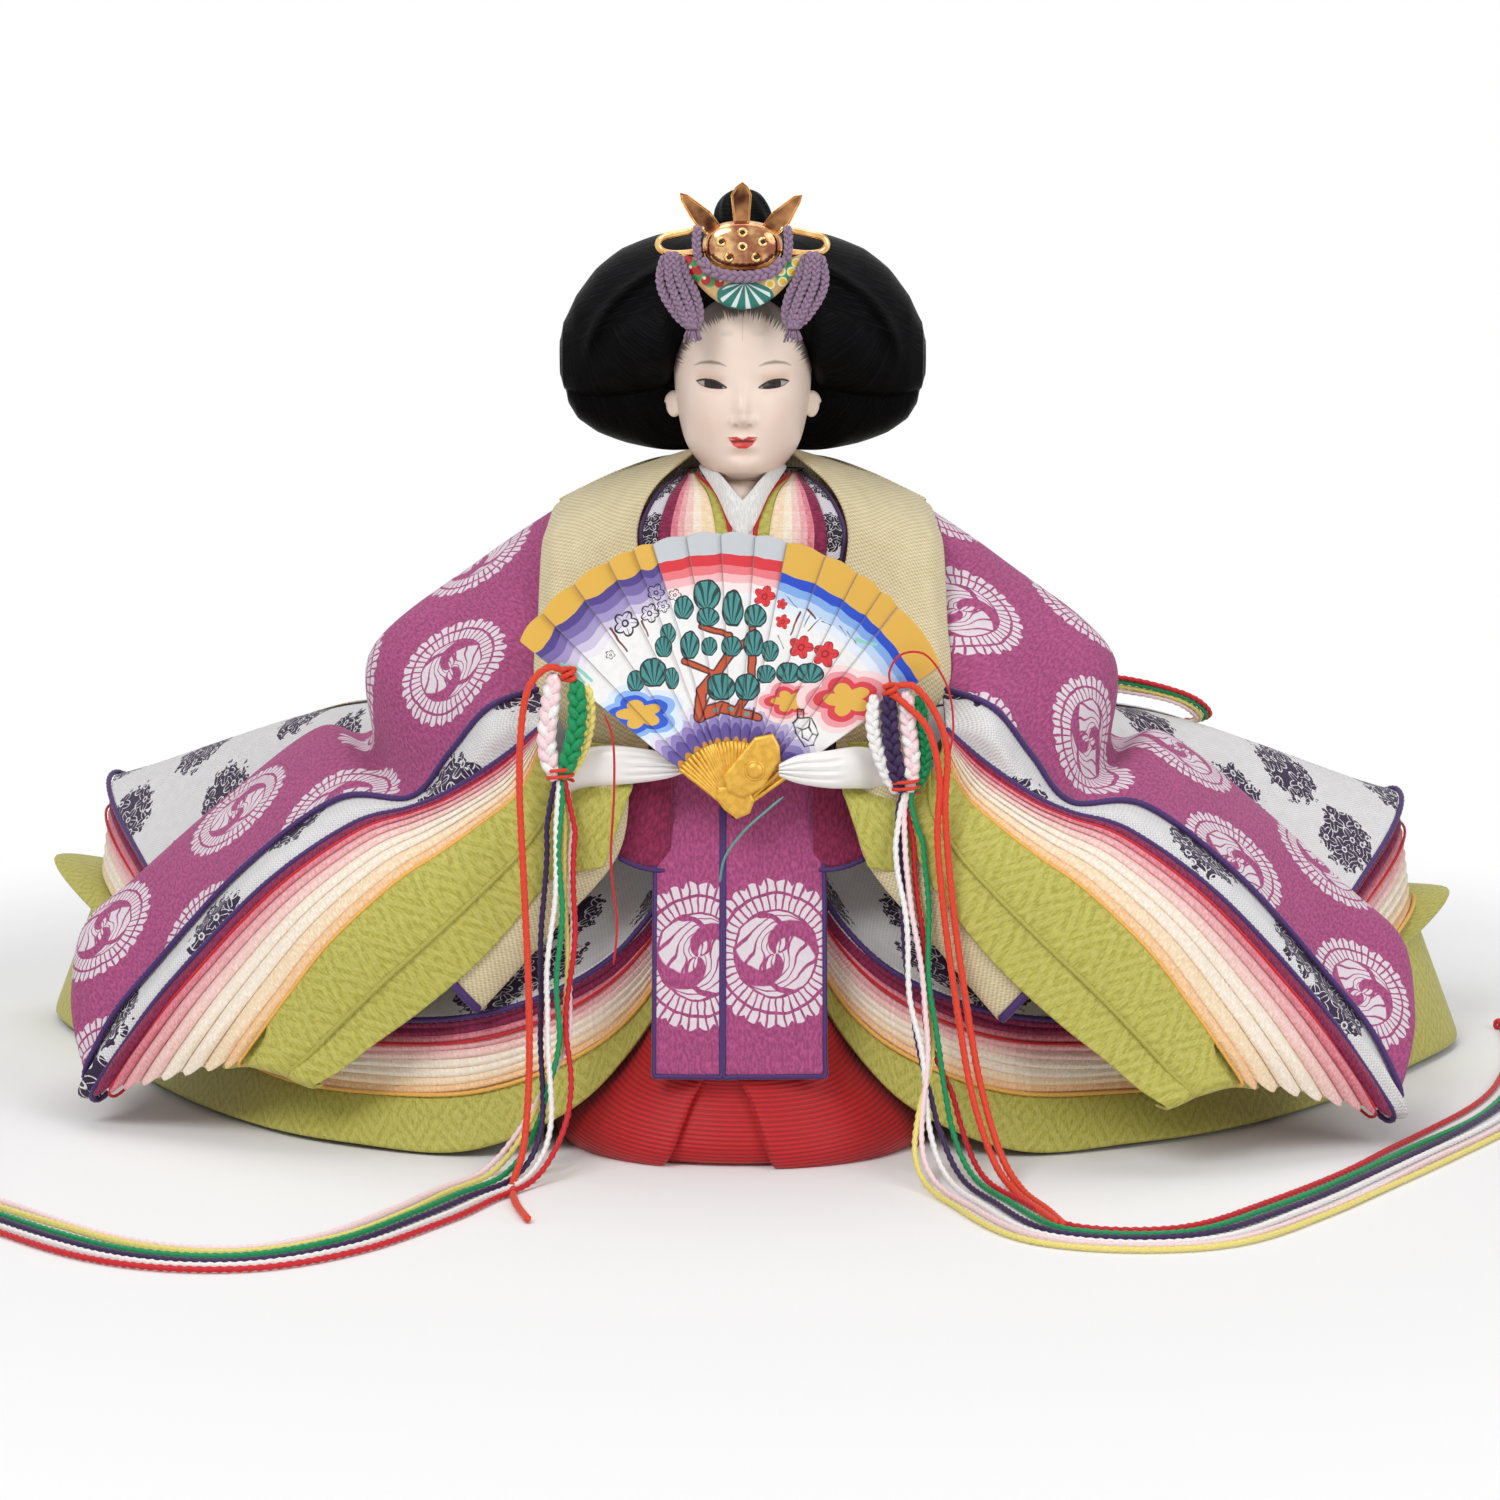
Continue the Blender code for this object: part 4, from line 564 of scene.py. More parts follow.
sleeve = {
    "reach": 0.170, "forward": 0.110, "rise": 0.152, "pitch": 0.0019, "rightForward": 0.020, "rightInward": 0.004,
    "rows": [
        [(-0.241, -0.985, 0.579), (-0.232, -0.985, 0.533), (-0.256, -0.985, 0.463), (-0.297, -0.991, 0.401),
         (-0.365, -1.000, 0.316), (-0.447, -1.000, 0.237), (-0.518, -0.991, 0.178), (-0.562, -0.982, 0.138),
         (-0.600, -0.973, 0.112)],
        [(-0.278, -0.968, 0.645), (-0.310, -0.962, 0.576), (-0.365, -0.964, 0.526), (-0.418, -0.964, 0.484),
         (-0.485, -0.964, 0.434), (-0.574, -0.955, 0.342), (-0.641, -0.936, 0.247), (-0.682, -0.918, 0.184),
         (-0.712, -0.900, 0.138)],
        [(-0.282, -0.935, 0.671), (-0.337, -0.918, 0.622), (-0.409, -0.891, 0.570), (-0.468, -0.845, 0.539),
         (-0.555, -0.818, 0.509), (-0.681, -0.818, 0.410), (-0.818, -0.791, 0.250), (-0.891, -0.773, 0.143),
         (-0.941, -0.745, 0.062)],
        [(-0.280, -0.841, 0.727), (-0.352, -0.891, 0.703), (-0.412, -0.836, 0.627), (-0.471, -0.800, 0.552),
         (-0.582, -0.727, 0.541), (-0.721, -0.727, 0.426), (-0.855, -0.709, 0.262), (-0.914, -0.718, 0.181),
         (-0.953, -0.727, 0.098)],
        [(-0.274, -0.418, 0.987), (-0.388, -0.409, 0.904), (-0.544, -0.500, 0.761), (-0.549, -0.455, 0.592),
         (-0.641, -0.273, 0.613), (-0.793, -0.318, 0.487), (-0.912, -0.409, 0.367), (-0.985, -0.455, 0.285),
         (-0.988, -0.564, 0.171)],
        [(-0.276, -0.109, 0.888), (-0.376, -0.091, 0.789), (-0.518, -0.109, 0.680), (-0.571, -0.073, 0.600),
         (-0.635, -0.018, 0.560), (-0.776, -0.070, 0.440), (-0.900, -0.140, 0.330), (-0.970, -0.250, 0.245),
         (-0.976, -0.400, 0.150)],
    ],
    "stations": [0, 0.15, 0.3, 0.4, 0.5, 0.65, 0.8, 0.9, 1], "stack": [1, 2, 6, 7, 7, 7], "spread": (0.5, 1.1),
    "frontWays": [Vector((-0.15, -0.93, 0.33)), Vector((-0.42, -0.68, 0.60)), Vector((-0.42, -0.88, 0.20))],
    "ridgeWay": Vector((-0.50, -0.20, 0.85)), "backWay": Vector((-0.60, 0.45, 0.66)),
}
sleeveRails = [[Vector((x * sleeve["reach"], y * sleeve["forward"], z * sleeve["rise"])) for x, y, z in row]
               for row in sleeve["rows"]]


def sleevePoint(side, number, column, row, lift=0.0):
    # Point on the outside of a sleeve layer; the layer number and the row may lie between whole ones.
    along = [spline(rail, column) for rail in sleeveRails]
    share = between(sleeve["stations"], column)
    front = between(sleeve["frontWays"], 2 * share)
    stack = between([front, sleeve["ridgeWay"], sleeve["backWay"]], max(0, row - 3)).normalized()
    low, high = sleeve["spread"]
    pitch = sleeve["pitch"] * (low + (high - low) * share)
    point = spline(along, row) + stack * (pitch * (number + 1 - between(sleeve["stack"], row)) - 0.3 * mm + lift)
    if side > 0:
        point.y -= sleeve["rightForward"] * share
        point.x = -(point.x + sleeve["rightInward"] * share)
        stack = Vector((-stack.x, stack.y, stack.z))
    return point, stack


def sleeveFold(side, number, cuff, back, exposed, puff, hook, turn=0.95):
    # Place function of a layer: flat along the sleeve, then turned under at its outer end.
    def place(u, w):
        row = cuff + (back - cuff) * w ** 1.4 * (1 - 0.46 * fade(u, 0.6, 0.9) * (number < 1))
        share = min(1.0, (row - cuff) / exposed)
        lift = puff * math.sin(math.pi * share) * (1 + 4.0 * fade(u, 0.72, 0.97)) if share < 1 else 0.0
        lift -= 0.5 * mm * (1 - fade(share, 0, 0.25))
        if u <= turn and (turn < 1 or u < 0.86 or share >= 1):
            return sleevePoint(side, number, 7.88 * u / turn, row, lift)[0]
        point, stack = sleevePoint(side, number, 7.88, row, lift)
        before = sleevePoint(side, number, 7.6, row, lift)[0]
        along = (point - before).normalized()
        if turn == 1:
            point = sleevePoint(side, number, 7.88 * u, row, lift)[0]
            reach = fade(u, 0.86, 1.0)
            return point + (along * 3.6 - stack * 1.6 * reach) * mm * reach * math.sin(math.pi * share) ** 0.6
        angle = math.radians(165) * (u - turn) / (1 - turn)
        return point + along * (hook * 1.1 * math.sin(angle)) - stack * (hook * (1 - math.cos(angle)))
    return place


# Name, layer number, cuff row, back row, width shown in rows, cloth, nodes that it stands for
sleeveBands = [
    ("limeSleeve", 0.0, 0.0, 2.2, 1.0, "limeSilk", ["green_sleeve"]),
    ("limeFold", 0.75, 0.46, 1.3, 0.5, "limeSilk", []),
    ("apricotSleeve", 1.0, 1.00, 1.7, 0.10, "peachSilk", ["peach_sleeve"]),
    ("peachSleeve", 1.5, 1.10, 1.9, 0.15, "creamSilk", []),
    ("creamSleeve", 2.0, 1.25, 2.0, 0.13, "ivorySilk", ["cream_sleeve"]),
    ("ivorySleeve", 2.5, 1.38, 2.1, 0.12, "ivorySilk", []),
    ("blushSleeve", 3.0, 1.50, 2.2, 0.12, "blushSilk", ["pink_sleeve"]),
    ("pinkSleeve", 3.5, 1.62, 2.3, 0.11, "pinkSilk", []),
    ("roseSleeve", 4.0, 1.73, 2.4, 0.09, "roseSilk", []),
    ("maroonSleeve", 4.5, 1.82, 3.2, 0.18, "maroonSilk", ["maroon_sleeve"]),
    ("brocadeSleeve", 5.0, 2.00, 3.5, 1.0, "brocade", ["brocade_sleeve"]),
    ("purpleSleeve", 6.0, 3.00, 5.0, 2.0, "purpleCrepe", ["purple_sleeve"]),
]


def makeSleeves():
    for side, word in ((-1, "Left"), (1, "Right")):
        along = Vector((0.63 * side, 0, -0.78)).normalized()
        facing = Vector((0.50 * side, -0.62, 0.60))
        facing = (facing - along * facing.dot(along)).normalized()
        for name, number, cuff, back, shown, look, stands in sleeveBands:
            outer = name in ("purpleSleeve", "brocadeSleeve")
            rows = 34 if name == "purpleSleeve" else 18 if name in ("brocadeSleeve", "limeSleeve") else 10
            hook = (2.6 if look == "limeSilk" else 1.2 + 0.45 * number) * mm
            open = shown < 0.3
            puff = 0.6 * mm if shown < 0.5 else 0.3 * mm
            place = sleeveFold(side, number, cuff, back, shown, puff, hook, 1.0 if open else 0.95)
            nodesHere = ["%s_%s" % (node, word.lower()) for node in stands]
            clothPiece(name + word, 72 if outer else 60, rows, place, look, (0.2 * side, -0.6, 0.7),
                       0.7 * mm if shown < 0.5 else 1.0 * mm, stands=nodesHere,
                       axes=(along, facing.cross(along)) if outer or look == "limeSilk" else None)
        edges = [("purpleEdge", 6.0, 3.0, 0.9, "violetTwist"), ("brocadeEdge", 5.0, 2.0, 0.85, "violetTwist"),
                 ("maroonEdge", 4.5, 1.82, 0.45, "redTwist"), ("yellowEdge", 1.0, 1.0, 0.5, "apricotTwist"),
                 ("limeFoldEdge", 0.75, 0.46, 0.7, "limeTwist")]
        for name, number, row, radius, look in edges:
            place = sleeveFold(side, number, row, row + 1, 1.0, 0.0, (1.2 + 0.45 * number) * mm)
            knots = [place(u, 0.0) for u in spread(0.0, 1.0, 60)]
            rope(name + word, knots, radius * mm, look, plies=2, pitch=2.6 * mm, around=7, step=0.7 * mm)


makeSleeves()
print("sleeves made")

# hems and train

hem = {
    "reach": 0.198, "forward": 0.112, "rise": 0.084, "pitch": 0.004, "corner": 0.034,
    "floor": [
        (-0.071, -0.850, 0.500), (-0.131, -0.900, 0.280), (-0.207, -0.952, 0.110), (-0.333, -0.982, 0.003),
        (-0.475, -0.900, 0.003), (-0.600, -0.745, 0.003), (-0.740, -0.440, 0.003), (-0.880, 0.000, 0.003),
        (-1.000, 0.509, 0.003), (-0.783, 0.786, 0.003), (-0.515, 0.990, 0.003), (-0.263, 1.092, 0.003),
        (0.000, 1.132, 0.003)],
    "edge": [
        (-0.071, -0.821, 0.560), (-0.126, -0.870, 0.345), (-0.202, -0.915, 0.215), (-0.320, -0.925, 0.120),
        (-0.455, -0.840, 0.095), (-0.575, -0.680, 0.090), (-0.700, -0.390, 0.130), (-0.820, 0.010, 0.240),
        (-0.930, 0.491, 0.390), (-0.740, 0.714, 0.280), (-0.490, 0.930, 0.150), (-0.250, 1.045, 0.080),
        (0.000, 1.085, 0.070)],
    "middle": [
        (-0.060, -0.750, 0.760), (-0.090, -0.760, 0.640), (-0.130, -0.760, 0.560), (-0.200, -0.750, 0.520),
        (-0.290, -0.660, 0.500), (-0.370, -0.530, 0.490), (-0.430, -0.350, 0.480), (-0.490, -0.060, 0.520),
        (-0.540, 0.270, 0.900), (-0.430, 0.400, 0.900), (-0.290, 0.460, 0.820), (-0.150, 0.490, 0.740),
        (0.000, 0.500, 0.720)],
    "pitches": [1.0, 1.05, 1.0, 0.98, 0.92, 0.88, 0.9, 1.2, 1.6, 1.1, 0.75, 0.65, 0.65],
    "leans": [0, 0, 0, 0, 0, 0.1, 0.35, 0.75, 1, 0.7, 0.3, 0.1, 0],
    "waistRadius": 0.0315, "waistBack": 0.0435, "opening": 20,
}


def hemRing(shares, lean=1.0):
    left = [Vector((x * hem["reach"], y * hem["forward"], z * hem["rise"])) for x, y, z in shares]
    right = [Vector((-point.x, point.y - share * lean * hem["corner"], point.z))
             for point, share in list(zip(left, hem["leans"]))[-2::-1]]
    return left + right


def waistRing():
    ring = []
    for angle in spread(hem["opening"], 360 - hem["opening"], 25):
        turn = math.radians(angle)
        ring.append(Vector((-hem["waistRadius"] * math.sin(turn), -hem["waistBack"] - hem["waistRadius"] * math.cos(turn), hem["rise"])))
    return ring


hemRings = [hemRing(hem["edge"]), hemRing(hem["middle"], 0.3), waistRing()]
hemFloor = hemRing(hem["floor"])
hemPitches = hem["pitches"] + hem["pitches"][-2::-1]


def hemPoint(column, ring, layer):
    # Point on top of a hem layer; columns run round from the left front to the right front.
    if ring < 0:
        low = spline(hemFloor, column) + up * hem["pitch"] * 0.4
        high = hemPoint(column, 0, layer)
        share = 1 + ring
        return low.lerp(high, share)
    pitch = hem["pitch"] * between([between(hemPitches, column), 0.6, 0.4], ring)
    return spline([spline(stations, column) for stations in hemRings], ring) + up * (pitch * (layer + 1) - 0.45 * mm)


hemBands = [
    ("limeHem", 0.0, "limeSilk", ["green_hem"]), ("apricotHem", 0.5, "peachSilk", []), ("peachHem", 1.0, "creamSilk", ["peach_hem"]),
    ("creamHem", 1.5, "ivorySilk", []), ("ivoryHem", 2.0, "ivorySilk", ["cream_hem"]), ("blushHem", 2.5, "blushSilk", []),
    ("pinkHem", 3.0, "pinkSilk", ["pink_hem"]), ("roseHem", 3.5, "roseSilk", []), ("maroonHem", 4.0, "maroonSilk", ["maroon_hem"]),
    ("plumHem", 4.5, "maroonSilk", []), ("brocadeHem", 5.0, "brocade", ["brocade_hem"]),
]


def makeHems():
    for name, layer, look, stands in hemBands:
        start = -1.0 if layer == 0 else 0.02 * layer

        def place(u, w, layer=layer, start=start):
            ring = start + (2 - start) * w ** (1.5 if layer else 1.0)
            point = hemPoint(24 * u, max(ring, start), layer)
            wave = 0.35 * mm * math.sin(u * 61 + layer * 1.9) * math.exp(-max(ring, 0) * 2.5)
            return point + up * wave * (1 if layer else 0)

        rows = 26 if name in ("limeHem", "brocadeHem") else 9
        if rows == 9:
            def place(u, w, layer=layer, start=start):
                ring = start + 0.7 * w ** 1.3
                wave = 0.35 * mm * math.sin(u * 61 + layer * 1.9) * math.exp(-ring * 2.5)
                return hemPoint(24 * u, ring, layer) + up * wave
        clothPiece(name, 110, rows, place, look, (0, 0, 1), (1.5 if layer else 1.6) * mm, stands=stands,
                   runFrom="ends")
    edges = [("brocadeHemEdge", 5.0, 0.10, 0.85, "violetTwist"), ("apricotHemEdge", 0.5, 0.012, 0.6, "apricotTwist"),
             ("roseHemEdge", 3.5, 0.078, 0.45, "redTwist")]
    for name, layer, start, radius, look in edges:
        knots = [hemPoint(column, start, layer) - up * 0.9 * mm for column in spread(0, 24, 150)]
        rope(name, knots, radius * mm, look, plies=2, pitch=2.6 * mm, around=7, step=0.8 * mm)


makeHems()


def makeHemTips():
    # Pointed rear corners of the lowest robe
    for word, column, tip in (("Left", 8.0, (-0.198, 0.057, 0.046)), ("Right", 16.0, (0.197, 0.030, 0.041))):
        def place(u, w, column=column, tip=tip):
            foot = hemPoint(column - 1.5 + 3.0 * u, 0.10, 0.3)
            away = Vector(tip) - hemPoint(column, 0.10, 0.3)
            bend = 1.2 * mm * math.sin(math.pi * w) * math.sin(2 * math.pi * u)
            return foot + away * w * (1 - abs(2 * u - 1)) + up * bend

        clothPiece("limeTip" + word, 24, 16, place, "limeSilk", (0, 0, 1), 1.4 * mm)


makeHemTips()
print("hems made")


def trainMaterial():
    material, tree, shader = newMaterial("whiteSheer", 0.6, Sheen_Weight=0.2, Specular_IOR_Level=0.3)
    coords = addNode(tree, "ShaderNodeTexCoord").outputs["UV"]
    thread = useGroup(tree, groups["gauze"], Vector=coords, Scale=1300.0)
    x = splitVector(tree, coords)[0]
    pleat = ramp(tree, calc(tree, "SINE", calc(tree, "MULTIPLY", x, 2 * math.pi / 0.0085)), 0.3, 1.0)
    base = mixInk(tree, thread["Tone"], ink("#DADAD8"), ink("#F5F5F3"))
    base = mixInk(tree, calc(tree, "MULTIPLY", pleat, 0.25), base, ink("#CFCFCD"))
    leaves = useGroup(tree, groups["blossoms"], Vector=coords, Size=0.008, Spacing=0.070, Reach=0.16)["Mask"]
    base = mixInk(tree, calc(tree, "MULTIPLY", leaves, 0.8), base, ink("#CFA64A"))
    tree.links.new(base, shader.inputs["Base Color"])
    addBump(tree, shader, calc(tree, "ADD", thread["Height"], pleat), 0.5, 0.25 * mm)
    return material


def makeTrain():
    low, high = 8.35, 15.65

    def place(u, w):
        column = low + (high - low) * u
        ring = 0.12 + 1.88 * w
        wave = 0.9 * mm * math.sin(column * 9.0) * math.exp(-ring * 1.2) + 0.4 * mm * math.sin(column * 23 + ring * 3)
        return hemPoint(column, ring, 5.1) + up * (0.5 * mm + wave * 0.6)

    clothPiece("whiteTrain", 100, 30, place, trainMaterial(), (0, 0, 1), 0.5 * mm, stands=["train"],
               runFrom="middle")


makeTrain()
print("train made")

# collars, jacket, panels, skirt

collar = {
    "half": 0.0245, "front": 0.076, "top": 0.160, "neckBack": 0.045,
    "rows": [(0.594, 1.000), (0.750, 0.974), (0.869, 0.955), (0.919, 0.934), (0.966, 0.829), (0.988, 0.684),
             (0.994, 0.560), (0.994, 0.000)],
    "edges": [(0.00, 0.10, 0.30, 0.56, 0.70, 0.84), (0.00, 0.10, 0.31, 0.62, 0.76, 0.90),
              (0.00, 0.11, 0.32, 0.66, 0.82, 0.98), (0.00, 0.12, 0.33, 0.67, 0.82, 1.00),
              (0.16, 0.25, 0.38, 0.60, 0.72, 0.85), (0.39, 0.43, 0.48, 0.54, 0.60, 0.67),
              (0.40, 0.45, 0.50, 0.55, 0.60, 0.65), (0.34, 0.38, 0.42, 0.46, 0.50, 0.54)],
    "nape": [0.50, 0.57, 0.64, 0.71, 0.78, 0.85],
}


def collarPoint(row, edge, side):
    height, depth = collar["rows"][row]
    out = between(collar["edges"][row], edge) * collar["half"]
    place = -depth * collar["front"]
    if row == len(collar["rows"]) - 1:
        place = between(collar["nape"], edge) * collar["half"] - collar["neckBack"]
    return Vector((side * out, place, height * collar["top"]))


def collarRail(edge, lift=0.0):
    last = len(collar["rows"])
    rail = []
    for row, side in [(row, -1) for row in range(last)] + [(row, 1) for row in range(last - 1, -1, -1)]:
        point = collarPoint(row, edge, side)
        rail.append(point + Vector((0, -lift, lift * 0.6)))
    return rail


# Inner and outer line of the right half of the under-collar in mm
underCollar = [[(-2.0, -70.4, 152.2), (1.2, -69.0, 155.2), (4.2, -65.6, 158.4), (7.6, -57.5, 161.8), (9.4, -46.0, 163.0)],
               [(-1.2, -74.0, 143.4), (2.9, -72.6, 147.4), (6.4, -66.0, 154.4), (10.3, -55.0, 159.8), (11.2, -45.0, 160.8)]]

# Name, inner edge, outer edge, cloth, height over the CAD collar, node that it stands for
collarBands = [
    ("whiteCollar", 0.0, 1.12, "whiteSilk", 0.3, ["white_collar"]),
    ("limeCollar", 1.0, 1.75, "limeSilk", 0.1, ["green_collar"]),
    ("creamCollar", 1.68, 2.45, "creamSilk", 0.15, []),
    ("ivoryCollar", 1.94, 2.75, "ivorySilk", 0.18, []),
    ("blushCollar", 2.24, 3.05, "blushSilk", 0.21, ["pink_collar"]),
    ("pinkCollar", 2.52, 3.3, "pinkSilk", 0.24, []),
    ("roseCollar", 2.78, 3.5, "roseSilk", 0.27, []),
    ("maroonCollar", 3.0, 4.1, "maroonSilk", 0.3, ["maroon_collar"]),
    ("brocadeCollar", 4.0, 5.0, "blackBrocade", 0.35, ["brocade_collar"]),
]


def makeCollars():
    for name, inner, outer, look, lift, stands in collarBands:
        first = collarRail(inner, lift * mm)
        second = collarRail(outer, lift * mm)

        def place(u, w, first=first, second=second):
            a = spline(first, 15 * u)
            b = spline(second, 15 * u)
            return a.lerp(b, w) + Vector((0, -0.45 * mm, 0.25 * mm)) * math.sin(math.pi * w)

        clothPiece(name, 90, 6, place, look, (0, -1, 0.4), 1.0 * mm, stands=stands,
                   runFrom="ends")
    for name, edge, look, radius in (("redCollarEdge", 1.06, "redTwist", 0.55), ("plumCollarEdge", 5.0, "plumTwist", 0.5)):
        rope(name, collarRail(edge, 0.5 * mm), radius * mm, look, plies=0, around=7, step=1.2 * mm)
    # The white under-collar closes in a V below the chin
    for side, word in ((-1, "Left"), (1, "Right")):
        rails = [[Vector((side * x, y, z)) * mm for x, y, z in rail] for rail in underCollar]

        def under(u, w, rails=rails, side=side):
            a, b = spline(rails[0], 4 * u), spline(rails[1], 4 * u)
            return a.lerp(b, w) + Vector((0, -0.5 * mm * math.sin(math.pi * w) + side * 0.3 * mm * (1 - fade(u, 0, 0.3)), 0))

        clothPiece("underCollar" + word, 30, 8, under, "whiteSilk", (0, -1, 0.4), 0.9 * mm)


makeCollars()

jacket = {
    "half": 0.0496, "front": 0.096, "top": 0.160,
    "rows": [((0.200, -0.310, 1.035), (0.955, -0.350, 0.950)), ((0.235, -0.470, 1.032), (0.965, -0.480, 0.950)),
             ((0.424, -0.650, 0.985), (0.980, -0.640, 0.925)),
             ((0.511, -0.745, 0.919), (0.995, -0.755, 0.895)), ((0.482, -0.800, 0.838), (1.000, -0.875, 0.792)),
             ((0.443, -0.900, 0.736), (1.000, -0.990, 0.705)), ((0.443, -1.010, 0.628), (0.850, -1.010, 0.632)),
             ((0.470, -0.985, 0.530), (0.830, -0.985, 0.540))],
    "backRows": [((0.00, -0.225, 1.010), (0.35, -0.240, 1.020), (0.62, -0.330, 1.000), (0.94, -0.450, 0.955)),
                 ((0.00, -0.195, 0.925), (0.35, -0.200, 0.925), (0.62, -0.235, 0.915), (0.90, -0.280, 0.905)),
                 ((0.00, -0.120, 0.756), (0.35, -0.125, 0.756), (0.62, -0.150, 0.751), (0.93, -0.200, 0.741)),
                 ((0.00, -0.075, 0.639), (0.35, -0.080, 0.639), (0.62, -0.100, 0.639), (0.87, -0.150, 0.639))],
}


def jacketPlace(share, side):
    x, y, z = share
    return Vector((side * x * jacket["half"], y * jacket["front"], z * jacket["top"]))


def makeJacket():
    for side, word in ((-1, "Left"), (1, "Right")):
        inner = [jacketPlace(row[0], side) for row in jacket["rows"]]
        outer = [jacketPlace(row[1], side) for row in jacket["rows"]]

        def place(u, w, inner=inner, outer=outer):
            point = spline(inner, 7 * u).lerp(spline(outer, 7 * u), w)
            swell = 1.6 * mm * math.sin(math.pi * w) - 2.5 * mm * fade(w, 0.85, 1.0)
            fold = 0.4 * mm * math.sin(w * 9 + u * 4)
            return point + Vector((0, -swell - fold, swell * 0.6))

        clothPiece("gauzeJacket" + word, 40, 22, place, "beigeGauze", (0, -1, 0.5), 1.0 * mm,
                   stands=["jacket_" + word.lower()])
    rows = [[jacketPlace(share, -1) for share in row[:0:-1]] + [jacketPlace(share, 1) for share in row] for row in jacket["backRows"]]

    def backPlace(u, w):
        point = spline([spline(row, 6 * u) for row in rows], 3 * w)
        return point + Vector((0, 0.8 * mm * math.sin(u * 20), 0))

    clothPiece("gauzeJacketBack", 48, 24, backPlace, "beigeGauze", (0, 1, 0.3), 1.0 * mm,
               stands=["jacket_back"])


makeJacket()

rolls = {
    "upper": [(-0.205, -0.932, 0.620), (-0.235, -0.948, 0.530), (-0.310, -0.972, 0.420), (-0.430, -0.970, 0.310)],
    "lower": [(-0.156, -0.930, 0.592), (-0.172, -0.950, 0.472), (-0.266, -0.968, 0.350), (-0.364, -0.976, 0.228)],
    "stations": [0.05, 0.18, 0.37, 0.52],
}


def makeRolls():
    for side, word in ((-1, "Left"), (1, "Right")):
        rails = []
        for shares in (rolls["upper"], rolls["lower"]):
            rail = [Vector((x * sleeve["reach"], y * sleeve["forward"], z * sleeve["rise"])) for x, y, z in shares]
            if side > 0:
                rail = [Vector((-p.x - sleeve["rightInward"] * s, p.y - sleeve["rightForward"] * s, p.z))
                        for p, s in zip(rail, rolls["stations"])]
            rails.append(rail)

        def place(u, w, rails=rails):
            top, low = spline(rails[0], 3 * u), spline(rails[1], 3 * u)
            angle = math.pi * w
            middle = top.lerp(low, 0.5)
            out = (low - top) / 2
            return middle - out * math.cos(angle) + Vector((0, 1.2 * mm - 2.4 * mm * math.sin(angle), 0))

        clothPiece("gauzeRoll" + word, 30, 14, place, "beigeGauze", (0, -1, 0), 0.8 * mm,
                   stands=["jacket_roll_" + word.lower()])
        turns = [place(1.0, w) + Vector((0, -0.2 * mm, 0.2 * mm)) for w in spread(0.16, 0.86, 24)]
        rope("rolledEnd" + word, turns, 1.1 * mm, "violetTwist", plies=0, around=9, step=0.7 * mm)


makeRolls()

panel = {"left": 0.016, "right": 0.024, "forward": 0.118, "rise": 0.095,
         "rows": [(1.0, 0.780), (0.74, 0.856), (0.47, 0.932), (0.23, 0.988)],
         "roundels": {"Left": (698, 957), "Right": (776, 954)}, "radius": 0.0168}


def panelMaterial(word):
    colour, shade = clothLooks["purpleCrepe"][:2]
    material, tree, shader = newMaterial("panelCrepe" + word, 0.78, Sheen_Weight=0.25, Sheen_Roughness=0.4, Specular_IOR_Level=0.3)
    coords = addNode(tree, "ShaderNodeTexCoord").outputs
    thread = useGroup(tree, groups["crepe"], Vector=coords["UV"], Scale=1500.0)
    x, y, z = splitVector(tree, coords["Object"])[:3]
    centre = seen(*panel["roundels"][word], -0.110)
    spot = joinVector(tree, calc(tree, "SUBTRACT", x, centre.x), calc(tree, "SUBTRACT", z, centre.z))
    mask = useGroup(tree, groups["roundel"], Vector=spot, Radius=panel["radius"])["Mask"]
    base = mixInk(tree, thread["Tone"], ink(shade), ink(colour))
    tree.links.new(mixInk(tree, mask, base, ink("#E2D6DE")), shader.inputs["Base Color"])
    addBump(tree, shader, thread["Height"], 0.6, 0.3 * mm)
    return material


def makePanels():
    near = -panel["left"] * 0.29
    for side, word in ((-1, "Left"), (1, "Right")):
        edges = (near - panel["left"], near - 0.3 * mm) if side < 0 else (near + 0.3 * mm, near + panel["right"])
        rail = [Vector((0, -forward * panel["forward"], rise * panel["rise"])) for rise, forward in panel["rows"]]

        def place(u, w, edges=edges, rail=rail, side=side):
            point = spline(rail, 3 * w)
            x = edges[0] + (edges[1] - edges[0]) * u
            swell = 0.5 * mm * math.sin(math.pi * u)
            tilt = 0.8 * mm * (1 - u if side > 0 else u) * fade(w, 0.3, 1)
            return Vector((x, point.y - swell - tilt, point.z))

        clothPiece("crepePanel" + word, 16, 40, place, panelMaterial(word), (0, -1, 0.3), 1.6 * mm,
                   stands=["front_panel_" + word.lower()])
        frame2 = [place(0, w) for w in spread(0, 1, 14)] + [place(u, 1) for u in spread(0.1, 0.9, 6)] + \
                 [place(1, w) for w in spread(1, 0, 14)]
        frame2 = [knot + Vector((0, 0.3 * mm, -0.3 * mm)) for knot in frame2]
        rope("panelEdge" + word, frame2, 0.65 * mm, "violetTwist", plies=0, around=7, step=0.8 * mm)


makePanels()


